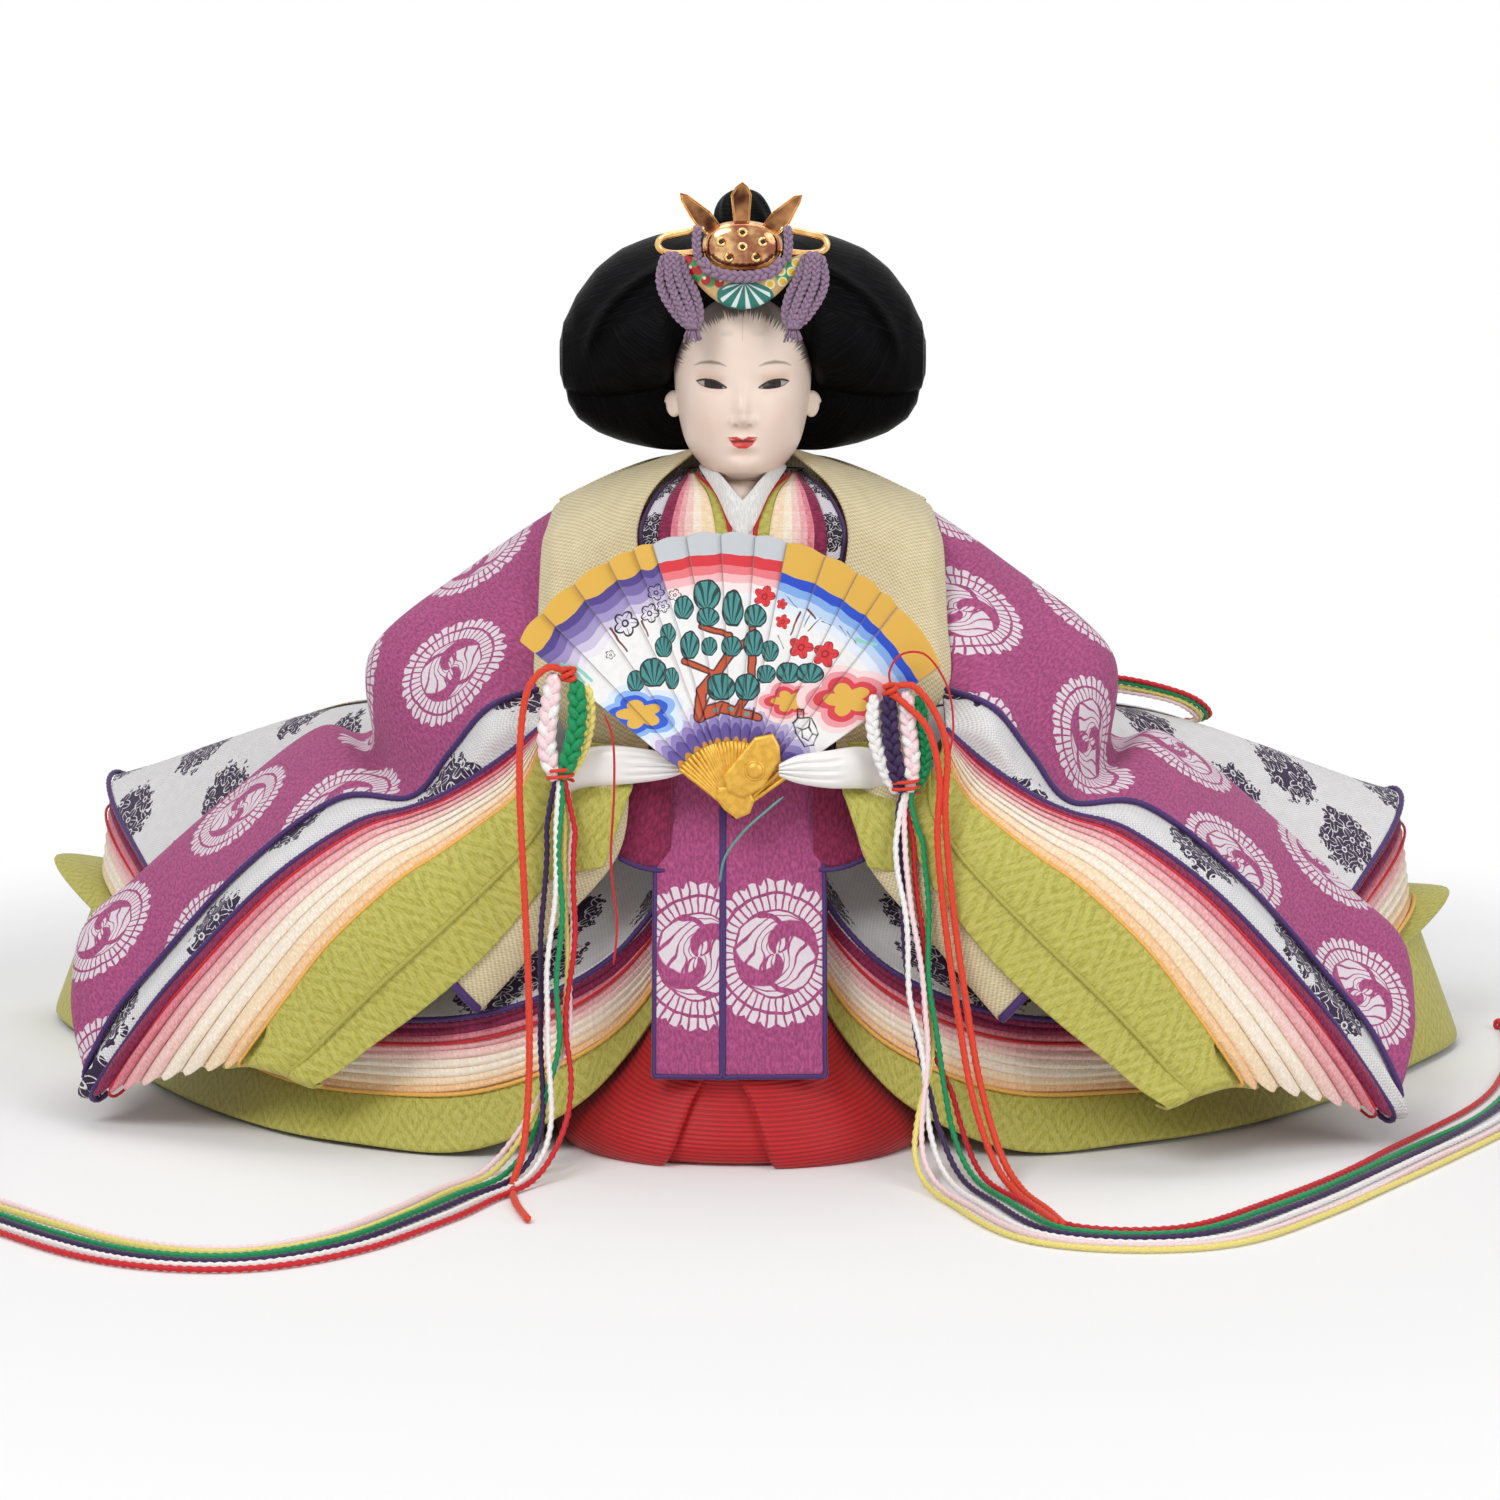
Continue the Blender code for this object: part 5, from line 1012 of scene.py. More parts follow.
def makeShadedUnderRobe():
    # The inside of the outer robe beside the front panels, as a dark maroon sheet: partly its own cloth, partly painted
    # shade for the deep shade that falls beside the panels
    corners = {"Left": [(628, 772), (672, 772), (612, 852), (672, 868)], "Right": [(812, 772), (858, 772), (812, 868), (872, 852)]}
    for side, word in ((-1, "Left"), (1, "Right")):
        a, b, c, d = [seen(u, v, -0.0985) for u, v in corners[word]]

        def place(u, w, a=a, b=b, c=c, d=d):
            return a.lerp(b, u).lerp(c.lerp(d, u), w) + Vector((0, -1.0 * mm * math.sin(math.pi * u) - 2.5 * mm * w, -1.2 * mm * w * math.sin(3 * u)))

        clothPiece("underRobe" + word, 14, 16, place, "maroonSilk", (0, -1, 0.2), 0.9 * mm)
        edge = [place(u, 1.0) + Vector((0, -0.3 * mm, 0)) for u in spread(0.12, 0.88, 12)]
        rope("underRobeEdge" + word, edge, 0.7 * mm, "violetTwist", plies=2, pitch=2.6 * mm, around=7, step=0.7 * mm)


makeShadedUnderRobe()

skirt = {"half": 0.046, "front": 0.122, "rise": 0.080, "power": 2.2, "fold": 2.6,
         "rows": [(0.000, 0.97, -0.985, -0.300), (0.045, 1.00, -0.995, -0.300), (0.110, 0.96, -0.982, -0.320),
                  (0.175, 0.84, -0.962, -0.360), (0.250, 0.68, -0.945, -0.420), (0.330, 0.56, -0.920, -0.480),
                  (0.560, 0.34, -0.862, -0.560), (1.000, 0.19, -0.765, -0.600)]}


def skirtMaterial():
    material, tree, shader = newMaterial("scarletRib", 0.5, Sheen_Weight=0.2, Specular_IOR_Level=0.35)
    coords = addNode(tree, "ShaderNodeTexCoord").outputs["Object"]
    x, y, z = splitVector(tree, coords)[:3]
    rise = calc(tree, "SUBTRACT", z, calc(tree, "MULTIPLY", y, 0.25))
    rib = ramp(tree, calc(tree, "SINE", calc(tree, "MULTIPLY", rise, 2 * math.pi / 0.00095)), -1.0, 1.0)
    grain = addNode(tree, "ShaderNodeTexNoise", {"Vector": coords, "Scale": 900.0, "Detail": 2.0}).outputs[0]
    tone = calc(tree, "ADD", calc(tree, "MULTIPLY", rib, 0.7), calc(tree, "MULTIPLY", grain, 0.3))
    tree.links.new(mixInk(tree, tone, ink("#8C060C"), ink("#C90F1A")), shader.inputs["Base Color"])
    addBump(tree, shader, rib, 0.5, 0.2 * mm)
    return material


def makeSkirt():
    rows = [[Vector((half * skirt["half"], front * skirt["front"], rise * skirt["rise"])) for rise, half, front, back in skirt["rows"]],
            [Vector((0, back * skirt["front"], 0)) for rise, half, front, back in skirt["rows"]]]

    def place(u, w):
        front, back = spline(rows[0], 7 * w), spline(rows[1], 7 * w)
        middle, deep = (front.y + back.y) / 2, (back.y - front.y) / 2
        if u > 0.5:
            turn = 2 * math.pi * (u - 0.5)
            return Vector((-math.cos(turn) * front.x, middle + math.sin(turn) * deep, max(front.z, 0.2 * mm)))
        # The front is a box pleat between two folded flaps; t runs from the right side to the left side
        t = 2 * u
        low = (1 - fade(w, 0.45, 0.7))
        half = min((13.2 - 13.7 * w) * low + 3.0 * (1 - low), front.x / mm * 0.6)
        centre = -5.4 + 0.9 * w
        if t < 0.4:
            edge = (centre + half) * mm
            x = edge + (front.x - edge) * math.cos(t / 0.4 * math.pi / 2)
        elif t > 0.6:
            edge = (centre - half) * mm
            x = edge + (-front.x - edge) * math.sin((t - 0.6) / 0.4 * math.pi / 2)
        else:
            x = (centre + half * (1 - 2 * fade(t, 0.42, 0.58))) * mm
        y = middle - deep * max(0.0, 1 - abs(x / front.x) ** skirt["power"]) ** (1 / skirt["power"])
        sunk = fade(t, 0.395, 0.425) * (1 - fade(t, 0.575, 0.605)) * low
        return Vector((x, y + skirt["fold"] * mm * sunk, max(front.z + 0.9 * mm * sunk * (1 - w), 0.2 * mm)))

    bm = mappedGrid(160, 30, place, closed=True)
    piece = finishPiece("scarletSkirt", bm, skirtMaterial(), "doll", ["hakama"])


makeSkirt()
print("collars, jacket, panels and skirt made")

# free cords

cordRoutes = {
    "left": [(-0.0424, -0.1114, 0.0908), (-0.0427, -0.1108, 0.0855), (-0.0434, -0.1120, 0.0700), (-0.0435, -0.1150, 0.0500),
             (-0.0440, -0.1185, 0.0300), (-0.0470, -0.1235, 0.0130), (-0.0530, -0.1310, 0.0040),
             (-0.0620, -0.1440, 0.0026), (-0.0710, -0.1610, 0.0026), (-0.0860, -0.1830, 0.0026),
             (-0.1070, -0.1945, 0.0026), (-0.1330, -0.1880, 0.0026), (-0.1640, -0.1620, 0.0026),
             (-0.1950, -0.1280, 0.0026), (-0.2160, -0.0760, 0.0026), (-0.2220, -0.0200, 0.0026)],
    "right": [(0.0380, -0.1126, 0.0882), (0.0371, -0.1120, 0.0830), (0.0375, -0.1143, 0.0700), (0.0395, -0.1175, 0.0500),
              (0.0420, -0.1210, 0.0300), (0.0445, -0.1260, 0.0140), (0.0480, -0.1340, 0.0050),
              (0.0540, -0.1480, 0.0026), (0.0680, -0.1760, 0.0026), (0.0980, -0.1790, 0.0026),
              (0.1240, -0.1560, 0.0026), (0.1560, -0.1150, 0.0026), (0.1870, -0.0720, 0.0026),
              (0.2090, -0.0250, 0.0026), (0.2200, 0.0300, 0.0026)],
    "back": [(0.0600, 0.0600, 0.0785), (0.0800, 0.0500, 0.0860), (0.1050, 0.0440, 0.0865), (0.1220, 0.0400, 0.0855),
             (0.1280, 0.0340, 0.0880), (0.1200, 0.0280, 0.0940), (0.1000, 0.0270, 0.0982), (0.0800, 0.0300, 0.0970)],
}
# Offsets of the six cords: sideways on the ground, sideways while they hang, forwards while they hang, in mm
cordOffsets = {
    "left": [("redTwist", -4.6, 2.6, -0.6), ("whiteTwist", -2.8, -1.0, -1.5), ("plumTwist", -1.0, -2.6, 0.6),
             ("greenTwist", 0.8, 0.9, -1.6), ("yellowTwist", 2.6, 1.6, 0.8), ("pinkTwist", 4.4, 3.4, 1.0)],
    "right": [("redTwist", 4.4, 1.6, 0.9), ("greenTwist", 2.6, 3.0, -0.8), ("plumTwist", 0.8, -1.0, 1.0),
              ("whiteTwist", -1.0, -0.6, -1.6), ("pinkTwist", -2.8, 0.9, -1.4), ("yellowTwist", -4.6, 2.9, 1.3)],
}
cordLook = {"radius": 0.8 * mm, "pitch": 4.2 * mm}


def makeCords():
    for side, body, sign in (("left", "fan_set", -1), ("right", "fan_set", 1)):
        base = evenPath([Vector(point) for point in cordRoutes[side]], 4 * mm)
        first = True
        for number, (look, ground, hang, ahead) in enumerate(cordOffsets[side]):
            knots = []
            for index, point in enumerate(base):
                after = base[min(index + 1, len(base) - 1)]
                before = base[max(index - 1, 0)]
                way = (after - before).normalized()
                flat = Vector((way.y, -way.x, 0))
                lying = fade(point.z, 0.035, 0.004)
                if flat.length > 1e-5:
                    flat.normalize()
                ease = min(1.0, 0.25 + index / 4)
                moved = point + flat * (ground * 1.7 * mm * lying * sign * -1)
                moved += Vector((hang * 1.3, ahead * 0.9, 0)) * mm * (1 - lying) * ease
                sway = noise.noise(Vector((index * 0.09, number * 3.7, 0.5))) * 1.5 * mm
                moved += flat * sway * lying
                moved.x += noise.noise(Vector((index * 0.16, number * 2.3, 4.5))) * 2.2 * mm * (1 - lying) * ease
                if moved.z < 0.0125 or lying > 0.6:
                    moved.z = max(cordLook["radius"] + 0.1 * mm, moved.z - 1.8 * mm * lying)
                knots.append(moved)
            piece, path = rope("%sCord%d" % (side, number), knots, cordLook["radius"], look, body=body,
                               stands=["cord_" + side] if first else (), pitch=cordLook["pitch"], around=8, step=0.62 * mm, depth=0.34)
            first = False
            end = path[-1] + up * 0.6 * mm
            turns = [end + Vector((math.sin(a) + 2 * math.sin(2 * a), math.cos(a) - 2 * math.cos(2 * a), 1.4 * math.sin(3 * a))) * 0.62 * mm
                     for a in spread(0, 2 * math.pi, 60)]
            knot = finishPiece("%sKnot%d" % (side, number), ropeBm(turns, cordLook["radius"] * 0.85, 2, 2.4 * mm, 7), silk[look], body)
            length = sum((b - a).length for a, b in zip(path, path[1:]))
            tuple(path[0])
            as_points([tuple(p) for p in path[::4]] + [tuple(path[-1])])
    base = [Vector(point) for point in cordRoutes["back"]]
    for number, (look, out, rise) in enumerate((("redTwist", 1.6, 1.2), ("greenTwist", 0.5, 0.6), ("yellowTwist", -0.9, 0.0),
                                                ("pinkTwist", -2.1, -0.7))):
        centre = Vector((0.095, 0.036, 0.092))
        knots = [point + (point - centre).normalized() * out * mm + up * rise * mm for point in base]
        piece, path = rope("backCord%d" % number, knots, cordLook["radius"], look,
                           stands=["cord_back"] if number == 0 else (), pitch=cordLook["pitch"], step=0.62 * mm, depth=0.34)
        length = sum((b - a).length for a, b in zip(path, path[1:]))
        tuple(path[0])
        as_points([tuple(p) for p in path[::4]] + [tuple(path[-1])])


makeCords()
print("cords made")

# head and face

face = {
    "width": 0.034, "depth": 0.043, "height": 0.064, "bottom": 0.151, "back": 0.045, "power": 0.92,
    "rows": [(0.0, 0.44, -0.18, 0.18), (0.07, 0.44, -0.20, 0.18), (0.11, 0.47, -0.36, 0.20), (0.128, 0.36, -0.48, 0.20),
             (0.165, 0.60, -0.51, 0.22), (0.25, 0.83, -0.525, 0.34), (0.37, 0.95, -0.525, 0.44), (0.48, 1.00, -0.515, 0.47),
             (0.62, 1.01, -0.50, 0.49), (0.75, 0.96, -0.465, 0.48), (0.86, 0.82, -0.39, 0.43), (0.95, 0.55, -0.26, 0.32),
             (1.0, 0.20, -0.09, 0.14)],
    # Soft swellings of the face in mm: x, z, width, height, amount
    "forms": [(0, 180.0, 1.5, 3.6, 1.0), (0, 175.2, 1.35, 2.7, 2.4), (0, 172.9, 1.6, 1.0, 1.3), (2.3, 172.6, 1.1, 0.95, 0.9),
              (-2.3, 172.6, 1.1, 0.95, 0.9), (7.6, 181.6, 3.8, 2.4, -1.1), (-7.6, 181.6, 3.8, 2.4, -1.1),
              (7.8, 183.6, 3.6, 0.9, 0.35), (-7.8, 183.6, 3.6, 0.9, 0.35), (1.5, 168.5, 1.5, 0.55, 0.75),
              (-1.5, 168.5, 1.5, 0.55, 0.75), (0, 166.6, 2.3, 0.8, 1.1), (0, 164.4, 3.2, 0.8, -0.5),
              (0, 161.8, 4.0, 2.2, 1.1), (9.0, 172.5, 4.2, 4.6, 0.8), (-9.0, 172.5, 4.2, 4.6, 0.8),
              (0, 167.75, 3.2, 0.3, -0.5), (0, 170.4, 0.8, 0.9, -0.3)],
}


def headPoint(u, w, detail=True):
    rows = face["rows"]
    place = w * (len(rows) - 1)
    share, half, front, back = spline([Vector(row) for row in rows], place)
    angle = 2 * math.pi * u
    c, s = math.cos(angle), math.sin(angle)
    x = math.copysign(abs(c) ** face["power"], c) * half * face["width"] / 2
    reach = (back - front) / 2 * face["depth"]
    y = -face["back"] + (front + back) / 2 * face["depth"] + math.copysign(abs(s) ** face["power"], s) * reach
    z = face["bottom"] + share * face["height"]
    if detail and s < 0.2:
        swell = sum(amount * math.exp(-((x / mm - fx) / sx) ** 2 - ((z / mm - fz) / sz) ** 2)
                    for fx, fz, sx, sz, amount in face["forms"])
        y -= swell * mm * fade(-s, -0.2, 0.35)
    return Vector((x, y, z))


def addStroke(tree, plane, start, end, width, endWidth=None, soft=0.12):
    # Mask of a painted stroke; all sizes in mm on the front plane.
    return useGroup(tree, groups["stroke"], Vector=plane, From=(start[0] * mm, start[1] * mm, 0), To=(end[0] * mm, end[1] * mm, 0),
                    Width=width * mm, EndWidth=(width if endWidth is None else endWidth) * mm, Soft=soft * mm)["Mask"]


def frontPlane(tree, limit):
    coords = addNode(tree, "ShaderNodeTexCoord").outputs["Object"]
    x, y, z = splitVector(tree, coords)[:3]
    return joinVector(tree, x, z), calc(tree, "LESS_THAN", y, limit), coords


def layMasks(tree, masks):
    total = masks[0]
    for mask in masks[1:]:
        total = calc(tree, "MAXIMUM", total, mask)
    return total


def faceMaterial():
    material, tree, shader = newMaterial("paintedPorcelain", 0.38, Specular_IOR_Level=0.4, Coat_Weight=0.08, Coat_Roughness=0.3)
    plane, front, coords = frontPlane(tree, -0.050)
    cloud = addNode(tree, "ShaderNodeTexNoise", {"Vector": coords, "Scale": 160.0, "Detail": 2.0}).outputs[0]
    base = mixInk(tree, cloud, ink("#EBD4C5"), ink("#F3E0D3"))

    def lay(base, masks, colour, strength=1.0):
        mask = calc(tree, "MULTIPLY", layMasks(tree, masks), front)
        return mixInk(tree, calc(tree, "MULTIPLY", mask, strength), base, ink(colour))

    blush = [addStroke(tree, plane, (side * 9.0, 172.0), (side * 10.5, 174.0), 1.0, 1.0, 5.0) for side in (-1, 1)]
    base = lay(base, blush, "#EDB9A6", 0.28)
    # Soft brownish stroke below the lower lip: painted shade in the crease above the chin
    base = lay(base, [addStroke(tree, plane, (-1.5, 164.6), (1.5, 164.6), 0.3, 0.3, 1.6)], "#D9AE9B", 0.35)
    # Warm brown above each eye: painted shade in the fold of the upper lid
    lidFoldShade = [addStroke(tree, plane, (side * 10.2, 183.6), (side * 5.4, 183.0), 0.7, 0.6, 1.1) for side in (-1, 1)]
    base = lay(base, lidFoldShade, "#D9A47E", 0.50)
    # Soft band along each lower lid: painted shade under the eye
    below = [addStroke(tree, plane, (side * 10.0, 180.6), (side * 5.4, 179.7), 0.3, 0.3, 0.9) for side in (-1, 1)]
    base = lay(base, below, "#D9A995", 0.30)
    # Dark soft dots: painted shade inside the nostrils
    nostrilShade = [addStroke(tree, plane, (side * 1.5, 171.7), (side * 1.9, 171.8), 0.25, 0.25, 0.35) for side in (-1, 1)]
    base = lay(base, nostrilShade, "#8E5D4C", 0.55)
    # Faint lines round the nose wings and under the nose tip: painted shade in these creases
    wings = [addStroke(tree, plane, (side * 3.3, 172.2), (side * 3.1, 173.4), 0.1, 0.05, 0.45) for side in (-1, 1)]
    base = lay(base, wings + [addStroke(tree, plane, (-2.5, 171.3), (2.5, 171.3), 0.1, 0.1, 0.7)], "#C79A86", 0.35)
    brows = []
    for side in (-1, 1):
        knots = [(11.8, 186.2, 0.05), (10.2, 186.8, 0.26), (7.9, 187.0, 0.42), (5.8, 186.7, 0.30), (4.0, 186.0, 0.04)]
        for (ax, az, aw), (bx, bz, bw) in zip(knots, knots[1:]):
            brows.append(addStroke(tree, plane, (side * ax, az), (side * bx, bz), aw, bw, 0.22))
    base = lay(base, brows, "#8A776A", 0.85)
    smudges = [addStroke(tree, plane, (side * 4.6, 193.8), (side * 3.0, 193.9), 0.35, 0.35, 0.8) for side in (-1, 1)]
    base = lay(base, smudges, "#A79D97", 0.40)
    # Fine painted hairs run in from the hairline
    x, z = splitVector(tree, plane)[:2]
    far, turn = polar(tree, calc(tree, "DIVIDE", x, 0.0168), calc(tree, "DIVIDE", calc(tree, "SUBTRACT", z, 0.1805), 0.0182))
    rays = joinVector(tree, calc(tree, "MULTIPLY", turn, 26.0), calc(tree, "MULTIPLY", far, 2.0))
    streak = addNode(tree, "ShaderNodeTexNoise", {"Vector": rays, "Scale": 1.6, "Detail": 2.0}).outputs[0]
    hairs = ramp(tree, calc(tree, "ADD", far, calc(tree, "MULTIPLY", calc(tree, "SUBTRACT", streak, 0.5), 0.42)), 0.93, 1.03)
    above = ramp(tree, z, 0.1835, 0.1885)
    base = lay(base, [calc(tree, "MULTIPLY", hairs, above)], "#26201E", 0.85)
    base = lay(base, [addStroke(tree, plane, (0, 199), (0, 192.0), 0.10, 0.02, 0.12)], "#8C817B", 0.6)
    lips = [addStroke(tree, plane, (side * 3.6, 168.75), (side * 1.5, 168.5), 0.06, 0.48, 0.10) for side in (-1, 1)]
    lips += [addStroke(tree, plane, (side * 1.5, 168.5), (side * 0.3, 168.1), 0.46, 0.32, 0.10) for side in (-1, 1)]
    lips += [addStroke(tree, plane, (side * 3.3, 168.4), (side * 1.9, 167.3), 0.08, 0.62, 0.10) for side in (-1, 1)]
    lips += [addStroke(tree, plane, (side * 1.9, 167.3), (side * 0.8, 166.95), 0.62, 0.84, 0.10) for side in (-1, 1)]
    lips.append(addStroke(tree, plane, (-0.8, 166.95), (0.8, 166.95), 0.84, 0.84, 0.12))
    base = lay(base, lips, "#D3231F", 0.95)
    base = lay(base, [addStroke(tree, plane, (-2.3, 167.9), (2.3, 167.9), 0.26, 0.26, 0.12)], "#4A0F0D", 0.92)
    tree.links.new(base, shader.inputs["Base Color"])
    fine = addNode(tree, "ShaderNodeTexNoise", {"Vector": coords, "Scale": 2200.0, "Detail": 1.0}).outputs[0]
    addBump(tree, shader, fine, 0.08, 0.05 * mm)
    return material


# Edges of the opening of the left eye in mm from its middle
eyeLook = {"spread": 7.65, "height": 181.75, "iris": (0.60, 0.0), "irisRadius": 2.2,
           "upper": [(-3.7, 0.60), (-2.2, 0.98), (-0.4, 0.95), (1.2, 0.55), (2.6, -0.22), (3.8, -0.98)],
           "lower": [(-3.7, 0.65), (-2.6, -0.30), (-1.0, -0.92), (0.8, -1.18), (2.4, -1.20), (3.8, -1.05)]}


def eyeMaterial(side):
    material, tree, shader = newMaterial("glassEye" + side, 0.20, Specular_IOR_Level=0.3, Coat_Weight=0.15, Coat_Roughness=0.05)
    coords = addNode(tree, "ShaderNodeTexCoord").outputs["Object"]
    x, y, z = splitVector(tree, coords)[:3]
    sign = -1 if side == "Left" else 1
    dx = calc(tree, "SUBTRACT", x, sign * (eyeLook["spread"] - eyeLook["iris"][0]) * mm)
    dz = calc(tree, "SUBTRACT", z, (eyeLook["height"] + eyeLook["iris"][1]) * mm)
    far, turn = polar(tree, dx, dz)
    size = eyeLook["irisRadius"] * mm
    ray = addNode(tree, "ShaderNodeTexNoise", {"Vector": joinVector(tree, calc(tree, "MULTIPLY", turn, 9.0), calc(tree, "MULTIPLY", far, 400.0)), "Scale": 1.0}).outputs[0]
    iris = mixInk(tree, ray, ink("#170B08"), ink("#3A2219"))
    iris = mixInk(tree, ramp(tree, far, size * 0.40, size * 0.50), ink("#0A0606"), iris)
    iris = mixInk(tree, ramp(tree, far, size * 0.82, size), iris, ink("#1E100D"))
    white = mixInk(tree, ray, ink("#A39E9C"), ink("#BDB5AE"))
    base = mixInk(tree, ramp(tree, far, size, size * 1.12), iris, white)
    tree.links.new(base, shader.inputs["Base Color"])
    return material


def makeHead():
    bm = mappedGrid(112, 120, headPoint, closed=True)
    bmesh.ops.smooth_vert(bm, verts=[v for v in bm.verts if v.co.z < 0.1585], factor=0.5)
    surface = bmesh.new()
    surface.from_mesh(meshOf(bm))
    tree = BVHTree.FromBMesh(surface)
    porcelain = faceMaterial()
    piece = finishPiece("porcelainHead", bm, porcelain, "head_set", ["head"])
    dark, darkTree, darkShader = newMaterial("lidLine", 0.5)
    grain = addNode(darkTree, "ShaderNodeTexNoise", {"Scale": 900.0}).outputs[0]
    darkTree.links.new(mixInk(darkTree, grain, ink("#1D1210"), ink("#33211B")), darkShader.inputs["Base Color"])

    def onFace(x, z, lift):
        hit = tree.ray_cast(Vector((x * mm, -0.2, z * mm)), Vector((0, 1, 0)))[0]
        return hit + Vector((0, -lift * mm, 0))

    # Foot of the neck: height, half width, half depth, middle
    foot = [(165.0, 6.2, 6.5, -46.5), (160.5, 6.9, 8.2, -48.2), (157.5, 6.4, 11.3, -50.3), (154.5, 5.4, 13.6, -51.0), (151.0, 4.6, 13.4, -50.4),
            (149.5, 3.8, 10.8, -50.0)]
    mids = [Vector((height, middle, 0)) for height, half, depth, middle in foot]
    halves = [Vector((half, depth, 0)) for height, half, depth, middle in foot]

    def throat(u, w):
        turn = 2 * math.pi * u
        height, middle = spline(mids, 5 * w)[:2]
        half, depth = spline(halves, 5 * w)[:2]
        return Vector((half * math.cos(turn), middle + depth * math.sin(turn), height)) * mm

    finishPiece("porcelainThroat", mappedGrid(48, 20, throat, closed=True), porcelain, "head_set")

    for sign, side in ((-1, "Left"), (1, "Right")):
        upper = [Vector((x, z, 0)) for x, z in eyeLook["upper"]]
        lower = [Vector((x, z, 0)) for x, z in eyeLook["lower"]]

        def place(u, w, sign=sign, upper=upper, lower=lower):
            a, b = spline(lower, 5 * u), spline(upper, 5 * u)
            point = a.lerp(b, w)
            x = (eyeLook["spread"] - point.x) * sign
            z = eyeLook["height"] + point.y
            ball = 0.42 * math.sin(math.pi * min(max(u, 0), 1)) ** 0.6 * math.sin(math.pi * w) ** 0.5
            return onFace(x, z, 0.02 + ball * 0.6)

        bm = mappedGrid(28, 12, place)
        faceTowards(bm, Vector((0, -1, 0)))
        eye = finishPiece("glassEye" + side, bm, eyeMaterial(side), "head_set", ["eye_" + side.lower()])
        thicken(eye, 0.4 * mm, levels=0)
        for part, rail, radius, lift in (("Upper", upper, 0.24, 0.18), ("Lower", lower, 0.07, 0.08)):
            path = []
            for share in spread(0, 1, 30):
                point = spline(rail, 5 * share)
                path.append(onFace((eyeLook["spread"] - point.x) * sign, eyeLook["height"] + point.y, lift))
            lid = ropeBm(path, radius * mm, 0, around=7, taper=1.2 * mm)
            finishPiece("lid%s%s" % (part, side), lid, dark, "head_set")
        bm = bmesh.new()
        bmesh.ops.create_uvsphere(bm, u_segments=28, v_segments=20, radius=1.0)
        for vert in bm.verts:
            x, y, z = vert.co
            hollow = 0.55 * math.exp(-((x * sign - 0.15) / 0.45) ** 2 - (z / 0.5) ** 2) if y < 0 else 0.0
            wide = 1.0 if z > 0 else 0.82
            vert.co = Vector((sign * 0.0171 + x * 2.5 * mm * wide, -0.0475 + (y + hollow) * 1.3 * mm + x * sign * 0.9 * mm,
                              0.1765 + z * 3.3 * mm))
        bmesh.ops.recalc_face_normals(bm, faces=bm.faces)
        finishPiece("ear" + side, bm, porcelain, "head_set")


def meshOf(bm):
    mesh = bpy.data.meshes.new("copy")
    bm.to_mesh(mesh)
    return mesh


makeHead()
print("head made")

# hair

hair = {
    "half": 0.0456, "depth": 0.046, "height": 0.055, "bottom": 0.1643, "back": 0.045, "power": 0.85,
    "faceHalf": 16.6, "hairline": 198.8,
    "front": [(0.00, 0.36, 1.000, -0.452, 0.46), (0.22, 0.34, 1.000, -0.42, 0.46), (0.44, 0.29, 0.985, -0.33, 0.46),
              (0.66, 0.25, 0.920, -0.25, 0.43), (0.80, 0.24, 0.830, -0.20, 0.37), (0.91, 0.25, 0.710, -0.15, 0.28),
              (0.98, 0.29, 0.590, -0.10, 0.18), (1.00, 0.35, 0.510, -0.04, 0.09)],
    "rear": [(0.00, 0.035, 0.76, 0.06, 0.62), (0.20, 0.010, 0.76, 0.04, 0.62), (0.42, 0.002, 0.74, 0.01, 0.61),
             (0.64, 0.035, 0.67, -0.01, 0.55), (0.80, 0.085, 0.59, -0.03, 0.47), (0.91, 0.150, 0.50, -0.04, 0.38),
             (0.96, 0.220, 0.42, -0.02, 0.28), (0.975, 0.280, 0.36, 0.04, 0.20)],
}


def hairMaterial():
    material, tree, shader = newMaterial("blackSilkHair", 0.45, Specular_IOR_Level=0.06)
    coords = addNode(tree, "ShaderNodeTexCoord").outputs["UV"]
    strand = useGroup(tree, groups["strands"], Vector=coords, Scale=2600.0, Length=0.05)
    # Lighter streaks along the strands are painted highlights standing in for the hair's sheen, on top of the strands'
    # own tone
    base = mixInk(tree, strand["Tone"], ink("#010102"), ink("#141418"))
    tree.links.new(base, shader.inputs["Base Color"])
    tree.links.new(ramp(tree, strand["Height"], 0.3, 0.7, 0.55, 0.32, smooth=False), shader.inputs["Roughness"])
    addBump(tree, shader, strand["Height"], 1.0, 0.60 * mm)
    return material


hairBlack = hairMaterial()


